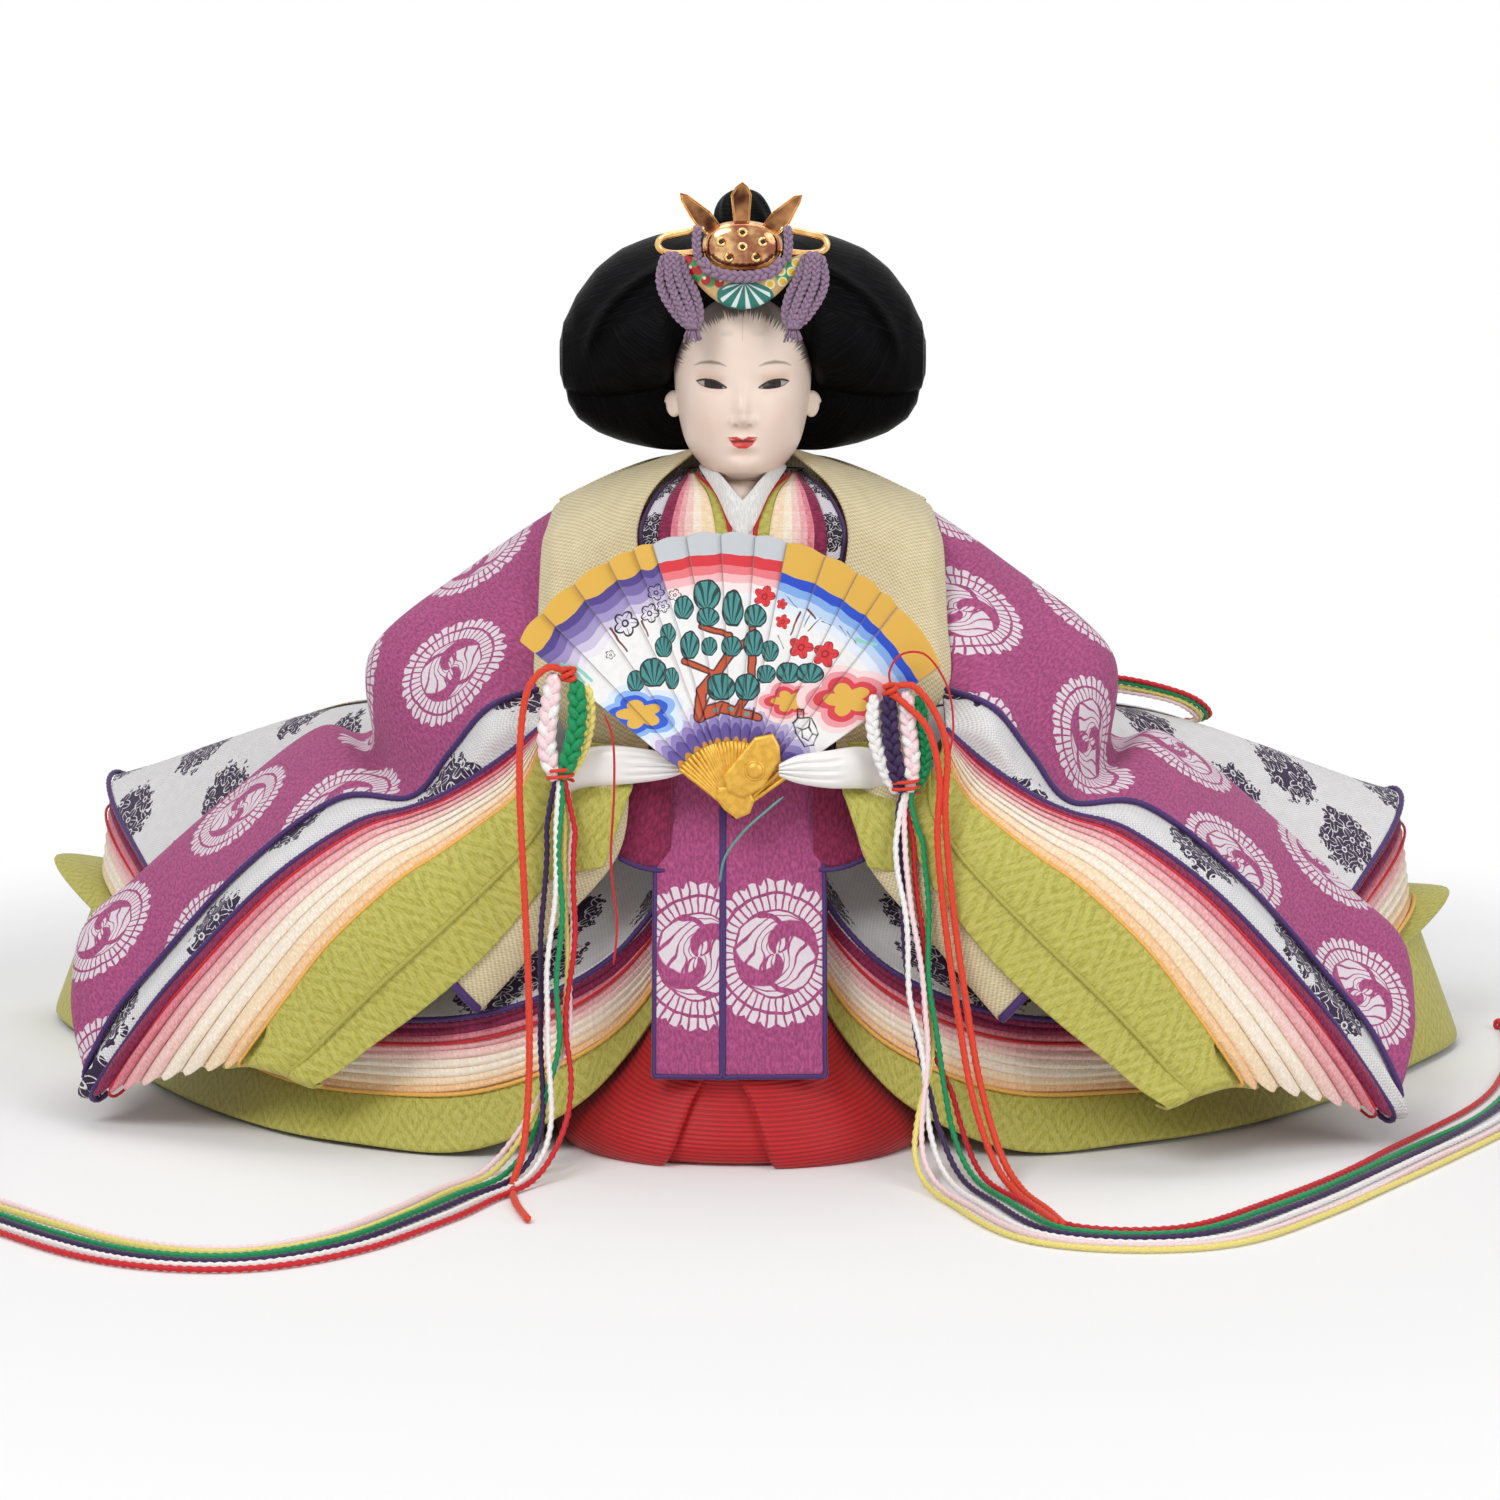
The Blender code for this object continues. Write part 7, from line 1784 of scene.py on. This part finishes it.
fanPaint = {
    "violet": [(0.77, "#ECE7F1"), (0.80, "#CFC6DF"), (0.835, "#A294C4"), (0.87, "#7666A6"), (0.905, "#4C3A85"), (0.935, "#E0B048")],
    "red": [(0.80, "#FBE6E6"), (0.835, "#F4B9BC"), (0.865, "#E9787F"), (0.895, "#D8303C"), (0.935, "#C6CACF")],
    "blue": [(0.76, "#E4EDF8"), (0.795, "#BBD3F0"), (0.83, "#7FA9E4"), (0.86, "#1747C4"), (0.895, "#E0B048")],
    "foot": [(0.390, "#E6E1EF"), (0.365, "#BDB2D6"), (0.335, "#8E7FBA"), (0.305, "#5F4C97"), (0.255, "#C98A28")],
    "clouds": [((-23.9, 106.1), (10.2, 6.4), ("#DCE9FA", "#8DB4EE", "#2458CF", "#E3B34A")),
               ((10.6, 109.2), (7.4, 4.8), ("#FBDCDD", "#EE9AA2", "#D93A49", "#E3B34A")),
               ((24.4, 109.6), (10.6, 7.4), ("#FBDCDD", "#EE9AA2", "#D93A49", "#E3B34A"))],
    "boughs": [((-9.9, 105.6), (-9.4, 111.6), 1.1), ((-9.4, 111.6), (-6.0, 115.4), 1.1), ((-6.0, 115.4), (-3.4, 119.6), 0.9),
               ((-3.4, 119.6), (-3.0, 124.5), 0.7), ((-3.4, 119.6), (2.4, 124.6), 0.7), ((2.0, 112.0), (2.2, 119.4), 0.8),
               ((-8.6, 106.4), (-5.0, 107.8), 1.3), ((-5.0, 107.8), (-1.2, 106.5), 1.1), ((-1.2, 106.8), (3.6, 105.4), 0.9), ((2.0, 112.0), (-1.0, 107.6), 0.8),
               ((-6.0, 115.4), (-13.4, 118.6), 0.5), ((-3.0, 124.5), (-9.4, 126.6), 0.4),
               ((2.4, 124.6), (2.0, 128.0), 0.5)],
    "spots": [(-6.4, 107.2), (-2.8, 107.2), (0.8, 106.2)],
    # Middle, half width and height of each tuft of needles
    "pines": [(-8.3, 131.2, 3.3, 6.1), (-13.6, 128.9, 2.4, 4.6), (-8.0, 127.1, 2.8, 3.8), (-2.2, 127.5, 2.7, 7.1), (3.0, 126.8, 2.8, 4.6),
            (-2.5, 120.0, 2.5, 4.1), (2.5, 120.2, 2.6, 5.3), (6.4, 119.0, 2.2, 4.1), (-7.6, 120.3, 2.0, 3.7), (-12.2, 119.7, 2.5, 5.5),
            (-17.2, 122.9, 1.9, 4.2), (-18.3, 120.1, 2.1, 3.8), (-24.7, 112.1, 2.2, 4.1), (-20.6, 113.2, 3.4, 5.9), (-16.3, 112.6, 1.8, 4.3),
            (-5.0, 110.0, 3.5, 5.4), (1.1, 110.0, 3.2, 5.4), (5.5, 113.8, 2.3, 3.7), (10.8, 113.8, 3.3, 4.3), (15.7, 113.8, 3.4, 4.1)],
    "plums": [(5.1, 133.6, 2.7), (9.2, 131.9, 1.3), (9.4, 127.8, 1.8), (13.6, 121.8, 3.1), (19.3, 120.1, 3.2)],
    "drawnPlums": [(-27.0, 127.2, 2.9), (-20.0, 134.6, 2.0), (-21.4, 129.6, 2.2), (-15.7, 133.9, 1.5), (-30.8, 119.9, 1.1), (-18.3, 131.2, 1.5)],
    # Colour, half width and the lines drawn in it
    "lines": [("#201E20", 0.14, [((9.8, 134.1), (12.8, 131.0)), ((14.4, 126.4), (15.7, 129.4)), ((15.2, 125.6), (18.4, 128.6)),
                                 ((18.6, 127.6), (20.6, 126.6)), ((22.6, 126.7), (24.6, 123.7)), ((24.3, 125.4), (26.5, 122.8)),
                                 ((8.2, 124.6), (9.6, 121.4))]),
              ("#6B241C", 0.30, [((13.4, 130.0), (11.2, 124.7)), ((-30.4, 126.0), (-26.8, 120.8)), ((-23.2, 127.7), (-21.9, 124.4)),
                                 ((15.0, 130.6), (17.0, 128.4)), ((-9.8, 104.9), (-7.6, 110.4)), ((-5.6, 105.9), (-4.6, 108.9)),
                                 ((-1.6, 105.6), (-0.8, 108.4)), ((2.2, 105.0), (2.6, 107.6))]),
              ("#8ED3C4", 0.45, [((-41.9, 117.8), (-38.0, 113.9)), ((-40.3, 117.5), (-36.7, 113.6)), ((-38.6, 117.2), (-35.0, 114.0)),
                                 ((26.6, 123.6), (31.0, 122.4))]),
              ("#141214", 0.20, [((11.8, 104.1), (13.1, 105.4)), ((13.1, 105.4), (16.1, 105.1)), ((16.1, 105.1), (17.7, 101.5)),
                                 ((17.7, 101.5), (16.7, 98.9)), ((16.7, 98.9), (14.4, 98.5)), ((14.4, 98.5), (12.5, 101.5)),
                                 ((12.5, 101.5), (11.8, 104.1)), ((13.8, 102.5), (15.4, 103.1)), ((15.4, 103.1), (16.4, 101.5)),
                                 ((16.4, 101.5), (15.4, 99.8)), ((15.4, 99.8), (14.0, 100.5)), ((14.0, 100.5), (13.8, 102.5)),
                                 ((15.4, 103.1), (15.7, 104.9)), ((16.4, 101.5), (17.6, 101.1)), ((13.8, 102.5), (12.5, 103.1)),
                                 ((13.0, 105.4), (12.8, 107.4)), ((12.8, 107.4), (14.2, 107.2)), ((14.2, 107.2), (14.2, 105.4))])],
}


def fanMaterial(first, last):
    # Paint of the leaves between two folds; the own UV holds the fold number and the share from the pivot.
    material, tree, shader = newMaterial("paintedFan%d" % first, 0.42, Coat_Weight=0.08, Coat_Roughness=0.3)
    plane, front, coords = frontPlane(tree, -0.1085)
    wander = addNode(tree, "ShaderNodeTexNoise", {"Vector": coords, "Scale": 260.0, "Detail": 1.0}).outputs[1]
    shift = addNode(tree, "ShaderNodeVectorMath", {0: vectorCalc(tree, "SUBTRACT", wander, (0.5, 0.5, 0.5)), "Scale": 0.9 * mm}, operation="SCALE").outputs[0]
    plane = vectorCalc(tree, "ADD", plane, shift)
    wobble = splitVector(tree, shift)[0]
    leaf, share = splitVector(tree, addNode(tree, "ShaderNodeTexCoord").outputs["UV"])[:2]
    far = calc(tree, "ADD", share, calc(tree, "MULTIPLY", wobble, 14.0))
    grain = addNode(tree, "ShaderNodeTexNoise", {"Vector": coords, "Scale": 700.0, "Detail": 3.0}).outputs[0]
    base = mixInk(tree, grain, ink("#E9E7E6"), ink("#FBFAF9"))
    wave = calc(tree, "MULTIPLY", calc(tree, "ABSOLUTE", calc(tree, "SINE", calc(tree, "MULTIPLY", leaf, math.pi))), 0.016)

    def paint(mask, colour, base, strength=1.0):
        return mixInk(tree, calc(tree, "MULTIPLY", mask, strength) if strength < 1 else mask, base, ink(colour))

    for low, high, name, share in ((9, 15, "violet", 1.0), (5, 9, "red", 0.3), (-1, 5, "blue", 0.3)):
        if low < last and high > first:
            inside = calc(tree, "MULTIPLY", calc(tree, "GREATER_THAN", leaf, low), calc(tree, "LESS_THAN", leaf, high))
            moved = calc(tree, "ADD", far, calc(tree, "MULTIPLY", wave, share))
            for start, colour in fanPaint[name]:
                base = paint(calc(tree, "MULTIPLY", inside, calc(tree, "GREATER_THAN", moved, start)), colour, base)
    foot = calc(tree, "ADD", far, calc(tree, "MULTIPLY", wave, -1.6))
    for limit, colour in fanPaint["foot"]:
        base = paint(calc(tree, "LESS_THAN", foot, limit), colour, base)
    for centre, (sx, sz), colours in fanPaint["clouds"]:
        if fanReach(first, last, [centre], sx):
            gap = useGroup(tree, groups["cloudBand"], Vector=plane, Centre=(centre[0] * mm, centre[1] * mm, 0), Size=(sx * mm, sz * mm, 1),
                           Lobes=2.5)["Distance"]
            for limit, colour in zip((0.12, -0.08, -0.26, -0.46), colours):
                base = paint(calc(tree, "LESS_THAN", gap, limit), colour, base)
    boughs = [one for one in fanPaint["boughs"] if fanReach(first, last, [one[0], one[1], ((one[0][0] + one[1][0]) / 2, one[0][1])], 2)]
    for spare, colour in ((0.4, "#3E160E"), (0.0, "#C4512B")):
        for a, b, width in boughs:
            base = paint(addStroke(tree, plane, a, b, width + spare, width * 0.8 + spare, 0.1), colour, base)
    for spot in fanPaint["spots"]:
        if fanReach(first, last, [spot], 1):
            base = paint(addStroke(tree, plane, spot, (spot[0] + 0.3, spot[1]), 0.5, 0.5, 0.1), "#4F9F9B", base)
    for number, (cx, cz, sx, sz) in enumerate(fanPaint["pines"]):
        if fanReach(first, last, [(cx, cz)], sx * 1.3):
            part = useGroup(tree, groups["pineFan"], Vector=plane, Centre=(cx * mm, cz * mm, 0), Size=(sx * mm, sz * mm, 1), Ribs=5.0 + number % 3)
            tuft = mixInk(tree, part["Ribs"], mixInk(tree, grain, ink("#2E7F7E"), ink("#4F9F9B")), ink("#123A3C"))
            base = mixInk(tree, part["Mask"], base, mixInk(tree, part["Edge"], tuft, ink("#0E2628")))
    for name in ("plums", "drawnPlums"):
        for cx, cz, size in fanPaint[name]:
            if fanReach(first, last, [(cx, cz)], size):
                part = useGroup(tree, groups["plum"], Vector=plane, Centre=(cx * mm, cz * mm, 0), Radius=size * mm)
                if name == "plums":
                    base = mixInk(tree, part["Mask"], base, mixInk(tree, part["Line"], ink("#DE2F38"), ink("#9C1219")))
                else:
                    base = paint(part["Line"], "#1C1A1C", base)
    for colour, width, strokes in fanPaint["lines"]:
        for a, b in strokes:
            if fanReach(first, last, [a, b], 1):
                base = paint(addStroke(tree, plane, a, b, width, width * 0.7, 0.08), colour, base)
    # Thin grey line along each fold: painted shade where one leaf steps over the next
    part = calc(tree, "ABSOLUTE", calc(tree, "SUBTRACT", calc(tree, "FRACT", leaf), 0.5))
    base = paint(calc(tree, "GREATER_THAN", part, 0.475), "#8C878B", base, 0.5)
    plain = mixInk(tree, grain, ink("#D6B778"), ink("#EAD3A0"))
    tree.links.new(mixInk(tree, front, plain, base), shader.inputs["Base Color"])
    addBump(tree, shader, grain, 0.25, 0.12 * mm)
    return material


def makeFan():
    leaves = len(fan["folds"]) - 1
    steps = [0, 0.17, 0.34, 0.51, 0.68, 0.85, 0.95, 0.99, 1]
    whole = leaves * 8

    def foldPlace(u):
        column = round(u * whole)
        return column // 8 + steps[column % 8]

    def place(u, w):
        share = foldPlace(u)
        edge = share % 1
        x, z = fanAt(fan["inner"] + (1 - fan["inner"]) * w + (0.012 * math.sin(math.pi * edge) if w > 0.97 else 0), share)
        relief = fan["step"] * edge * fade(w, 0, 0.15) * (1.0 + (0.9 * fade(w, 0.75, 1) if share > 9 else 0))
        return Vector((x * mm, -(fan["back"] + fan["thick"] + 0.55 + relief) * mm, z * mm))

    bm = mappedGrid(whole, 30, place)
    faceTowards(bm, Vector((0, -1, 0)))
    layer = bm.loops.layers.uv.active
    pivot = Vector((fan["pivot"][0], 0, fan["pivot"][1])) * mm
    ways = [math.atan2(fanAt(1, leaf)[1] - fan["pivot"][1], fanAt(1, leaf)[0] - fan["pivot"][0]) for leaf in range(leaves + 1)]
    for face in bm.faces:
        middle = face.calc_center_median() - pivot
        turn = math.atan2(middle.z, middle.x)
        number = max(index for index in range(leaves) if index == 0 or ways[index] < turn)
        face.material_index = number // 2
        for loop in face.loops:
            spot = loop.vert.co - pivot
            turn = math.atan2(spot.z, spot.x)
            outer = Vector(fanAt(1, min(max(number + (turn - ways[number]) / (ways[number + 1] - ways[number]), 0), leaves)))
            loop[layer].uv = (number + min(max((turn - ways[number]) / (ways[number + 1] - ways[number]), 0.001), 0.999),
                              math.hypot(spot.x, spot.z) / mm / (outer - Vector(fan["pivot"])).length)
    painted = [fanMaterial(first, min(first + 2, leaves)) for first in range(0, leaves, 2)]
    piece = finishPiece("carvedFan", bm, painted, "fan_set", ["fan"], smooth=False)
    shell = piece.modifiers.new("thickness", "SOLIDIFY")
    shell.thickness = 1.9 * mm
    shell.offset = -1
    # Gold ribs from the pivot to the leaves, over a plate
    for rib in range(31):
        a, b = fanAt(0.06, rib / 30 * leaves), fanAt(0.262, rib / 30 * leaves)
        path = [Vector((a[0], -(fan["back"] + 2.2), a[1])) * mm, Vector((b[0], -(fan["back"] + 2.5), b[1])) * mm]
        path = [path[0].lerp(path[1], share) for share in spread(0, 1, 6)]
        finishPiece("fanStick%d" % rib, ropeBm(path, 0.52 * mm, 0, around=8), gold["leaf"], "fan_set")
    outline = [fanAt(0.255, leaf) for leaf in spread(0, leaves, 15)] + [fanAt(-0.02, leaf) for leaf in spread(leaves, 0, 5)]
    finishPiece("fanFoot", plateBm(outline, -(fan["back"] + 1.9), 1.8, 0, 0), gold["leaf"], "fan_set")
    for name, front, thick in (("heel", 3.2, 2.2), ("guard", 4.0, 2.0)):
        outline = [(fan["x"] + x * fan["radius"], fan["z"] + z * fan["radius"]) for x, z in fan[name]]
        finishPiece("fan" + name.title(), plateBm(outline, -(fan["back"] + front), thick, 0.7, -0.35), [gold["leaf"]] * 2, "fan_set")
    centre = Vector(((fan["x"] + fan["radius"] * 0.13) * mm, -(fan["back"] + 4.4) * mm, (fan["z"] + fan["radius"] * 0.04) * mm))
    bm = bmesh.new()
    bmesh.ops.create_uvsphere(bm, u_segments=28, v_segments=16, radius=2.0 * mm)
    bmesh.ops.scale(bm, vec=(1, 0.45, 1), verts=bm.verts)
    bmesh.ops.translate(bm, vec=centre, verts=bm.verts)
    finishPiece("fanRivet", bm, gold["leaf"], "fan_set")
    ring = [centre + Vector((2.1 * math.cos(a), 0.1, 2.1 * math.sin(a))) * mm for a in spread(0, 2 * math.pi, 30)]
    finishPiece("fanRivetRing", ropeBm(ring, 0.35 * mm, 0, around=8), gold["leaf"], "fan_set")


makeFan()

plaits = {
    "Left": [(["pinkTwist", "whiteTwist", "pinkTwist"], [(-43.6, -110.6, 115.8), (-44.6, -111.6, 108.0), (-45.4, -112.0, 99.0), (-43.4, -111.6, 91.0)], 5.0),
             (["greenTwist"], [(-38.6, -110.8, 114.2), (-38.2, -112.0, 106.0), (-39.6, -112.2, 98.0), (-42.2, -111.8, 91.0)], 5.0),
             (["yellowTwist"], [(-36.0, -110.0, 113.0), (-35.6, -110.2, 105.0), (-37.6, -110.6, 97.0), (-41.0, -110.9, 91.2)], 3.4)],
    "Right": [(["whiteTwist"], [(30.6, -111.4, 110.8), (30.4, -112.2, 103.0), (32.6, -112.4, 95.0), (36.0, -112.2, 88.0)], 3.8),
              (["plumTwist"], [(34.0, -112.0, 111.8), (34.2, -113.2, 104.0), (35.2, -113.4, 96.0), (37.2, -112.8, 88.0)], 4.6),
              (["pinkTwist", "whiteTwist", "pinkTwist"], [(38.0, -111.8, 111.8), (38.4, -112.8, 104.0), (39.4, -113.0, 96.0), (38.6, -112.4, 88.0)], 4.4),
              (["greenTwist"], [(41.0, -111.0, 110.6), (42.0, -111.6, 103.0), (42.6, -111.8, 95.0), (40.0, -111.8, 88.0)], 3.4)],
}


def makePlaits():
    for word, bunch in plaits.items():
        for number, (looks, knots, width) in enumerate(bunch):
            plait("fanPlait%s%d" % (word, number), [Vector(knot) * mm for knot in knots], width * mm, width * 0.24 * mm, looks, "fan_set",
                  thin=(4 * mm, 5 * mm))
        x, y, z = (-42.4, -111.4, 90.6) if word == "Left" else (38.0, -112.6, 88.0)
        tie = [Vector((x + 3.0 * math.cos(a), y + 2.3 * math.sin(a), z + 0.25 * a)) * mm for a in spread(0, 5 * math.pi, 60)]
        finishPiece("plaitTie" + word, ropeBm(tie, 0.5 * mm, 2, 2 * mm, 7), silk["orangeTwist"], "fan_set", stands=["fan_braid_" + word.lower()])
    loose = {
        "looseLeft": ([(-40.6, -110.8, 116.0), (-45.0, -112.2, 117.2), (-49.4, -113.2, 112.6), (-51.2, -114.0, 103.0), (-51.6, -115.0, 88.0),
                       (-50.6, -117.0, 66.0), (-49.6, -120.0, 44.0), (-49.4, -123.5, 24.0), (-50.4, -129.0, 8.0), (-52.4, -137.0, 1.2),
                       (-50.6, -152.0, 1.0), (-46.8, -166.0, 1.0)], 0.95, "orangeTwist"),
        "looseRight": ([(34.6, -112.0, 112.6), (39.6, -113.4, 113.0), (44.6, -114.0, 107.0), (47.4, -115.2, 98.0), (47.0, -116.4, 84.0),
                        (48.6, -118.4, 64.0), (51.6, -121.4, 42.0), (55.0, -125.6, 22.0), (59.4, -132.0, 7.0), (63.6, -142.0, 1.2),
                        (68.0, -158.0, 1.0), (70.4, -170.0, 1.0)], 0.95, "orangeTwist"),
        "looseRight2": ([(33.8, -112.4, 111.6), (37.6, -114.4, 109.0), (43.0, -115.2, 103.0), (45.6, -116.0, 92.0), (45.2, -117.0, 78.0),
                         (46.8, -119.0, 60.0), (49.6, -122.0, 40.0), (53.0, -126.6, 20.0), (57.6, -133.4, 6.0), (62.0, -144.0, 1.2),
                         (66.0, -158.0, 1.0), (69.0, -168.5, 1.0)], 0.95, "orangeTwist"),
        "threadLoop": ([(35.0, -112.4, 111.4), (34.0, -113.4, 116.4), (37.0, -113.8, 120.6), (42.6, -113.8, 120.2), (47.4, -114.2, 113.0),
                        (48.8, -114.8, 104.0), (47.6, -115.6, 96.0)], 0.28, "redTwist"),
        "threadLeft": ([(-32.0, -110.6, 106.0), (-30.0, -112.0, 100.0), (-29.8, -112.8, 88.0), (-30.6, -113.8, 72.0), (-29.2, -115.2, 58.0),
                        (-30.0, -117.4, 48.0)], 0.28, "redTwist"),
        "threadTeal": ([(9.6, -113.2, 87.2), (6.0, -114.6, 84.4), (0.4, -115.4, 79.4), (-4.0, -115.6, 73.4), (-5.2, -115.4, 67.4)], 0.28, "tealTwist"),
    }
    for name, (knots, radius, look) in loose.items():
        thick = radius > 0.5
        piece, path = rope(name, [Vector(knot) * mm for knot in knots], radius * mm, look, body="fan_set", plies=2 if thick else 0,
                           pitch=4 * mm, around=8 if thick else 6, step=0.7 * mm if thick else 1.2 * mm, taper=radius * mm)
        length = sum((b - a).length for a, b in zip(path, path[1:]))
        if length >= 0.030:
            tuple(path[0])
            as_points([tuple(p) for p in path[::4]] + [tuple(path[-1])])
    for name, (x, y, z), look in (("knotRight", (34.4, -113.0, 112.0), "orangeTwist"), ("knotLeft", (-40.4, -111.2, 115.6), "orangeTwist")):
        turns = [Vector((x + 1.5 * math.sin(2 * a), y + 0.9 * math.sin(3 * a), z + 1.3 * math.cos(a))) * mm for a in spread(0, 2 * math.pi, 60)]
        finishPiece(name, ropeBm(turns, 0.7 * mm, 2, 2.4 * mm, 7), silk[look], "fan_set")


makePlaits()
print("hands, fan and plaits made")

# what shows of the base, the body, the neck peg and the arm wires
plainLooks = {"base_board": ("#8A5A35", "#5E3A20", 0.45, 120.0, 0.08), "body_core": ("#B8568A", "#8A3C67", 0.8, 1500.0, 1.0),
              "neck_peg": ("#C79F6B", "#A67E4C", 0.6, 200.0, 1.0), "arm_wire_left": ("#8C8880", "#5E5A54", 0.4, 400.0, 1.0),
              "arm_wire_right": ("#8C8880", "#5E5A54", 0.4, 400.0, 1.0)}
for name, (colour, shade, rough, scale, stretch) in plainLooks.items():
    material = plainGrain("%sLook" % name.replace("_", ""), colour, shade, rough, scale, stretch)
    nodes[name].data.materials.clear()
    nodes[name].data.materials.append(material)

# floor and light


def makeStage():
    bm = bmesh.new()
    bmesh.ops.create_grid(bm, x_segments=1, y_segments=1, size=4.0)
    mesh = bpy.data.meshes.new("floor")
    bm.to_mesh(mesh)
    bm.free()
    floor = bpy.data.objects.new("floor", mesh)
    scene.collection.objects.link(floor)
    material, tree, shader = newMaterial("paleFloor", 0.9, Specular_IOR_Level=0.1)
    shader.inputs["Base Color"].default_value = (0.92, 0.92, 0.925, 1)
    place = addNode(tree, "ShaderNodeTexCoord").outputs["Object"]
    x, y, z = splitVector(tree, place)[:3]
    far = calc(tree, "SQRT", calc(tree, "ADD", calc(tree, "MULTIPLY", x, x), calc(tree, "MULTIPLY", y, y)))
    open_ = ramp(tree, far, 0.24, 0.42)
    path = addNode(tree, "ShaderNodeLightPath").outputs
    shown = calc(tree, "MAXIMUM", path["Is Camera Ray"], calc(tree, "MAXIMUM", path["Is Glossy Ray"], path["Is Transmission Ray"]))
    white = addNode(tree, "ShaderNodeEmission", {"Color": (1, 1, 1, 1), "Strength": 1.0})
    mix = addNode(tree, "ShaderNodeMixShader", {0: calc(tree, "MULTIPLY", open_, shown), 1: shader.outputs[0], 2: white.outputs[0]})
    tree.links.new(mix.outputs[0], tree.nodes["Material Output"].inputs["Surface"])
    mesh.materials.append(material)
    world = bpy.data.worlds.new("studio")
    scene.world = world
    world.use_nodes = True
    tree = world.node_tree
    back = tree.nodes["Background"]
    path = addNode(tree, "ShaderNodeLightPath").outputs
    shown = calc(tree, "MAXIMUM", path["Is Camera Ray"], calc(tree, "MAXIMUM", path["Is Glossy Ray"], path["Is Transmission Ray"]))
    back.inputs["Color"].default_value = (1, 1, 1, 1)
    tree.links.new(ramp(tree, shown, 0.0, 1.0, 0.38, 1.0, smooth=False), back.inputs["Strength"])
    for name, place, size, power in (("keyLight", (-0.7, -1.2, 1.3), 0.8, 13.0), ("fillLight", (1.0, -1.1, 0.8), 1.0, 7.0),
                                     ("topLight", (0.0, 0.2, 1.5), 1.2, 6.0)):
        data = bpy.data.lights.new(name, "AREA")
        data.shape = "DISK"
        data.size = size
        data.energy = power
        lamp = bpy.data.objects.new(name, data)
        lamp.location = place
        lamp.rotation_euler = (Vector((0, -0.03, 0.08)) - Vector(place)).to_track_quat("-Z", "Y").to_euler()
        scene.collection.objects.link(lamp)


makeStage()
print("floor and light made")

print("scene ready")
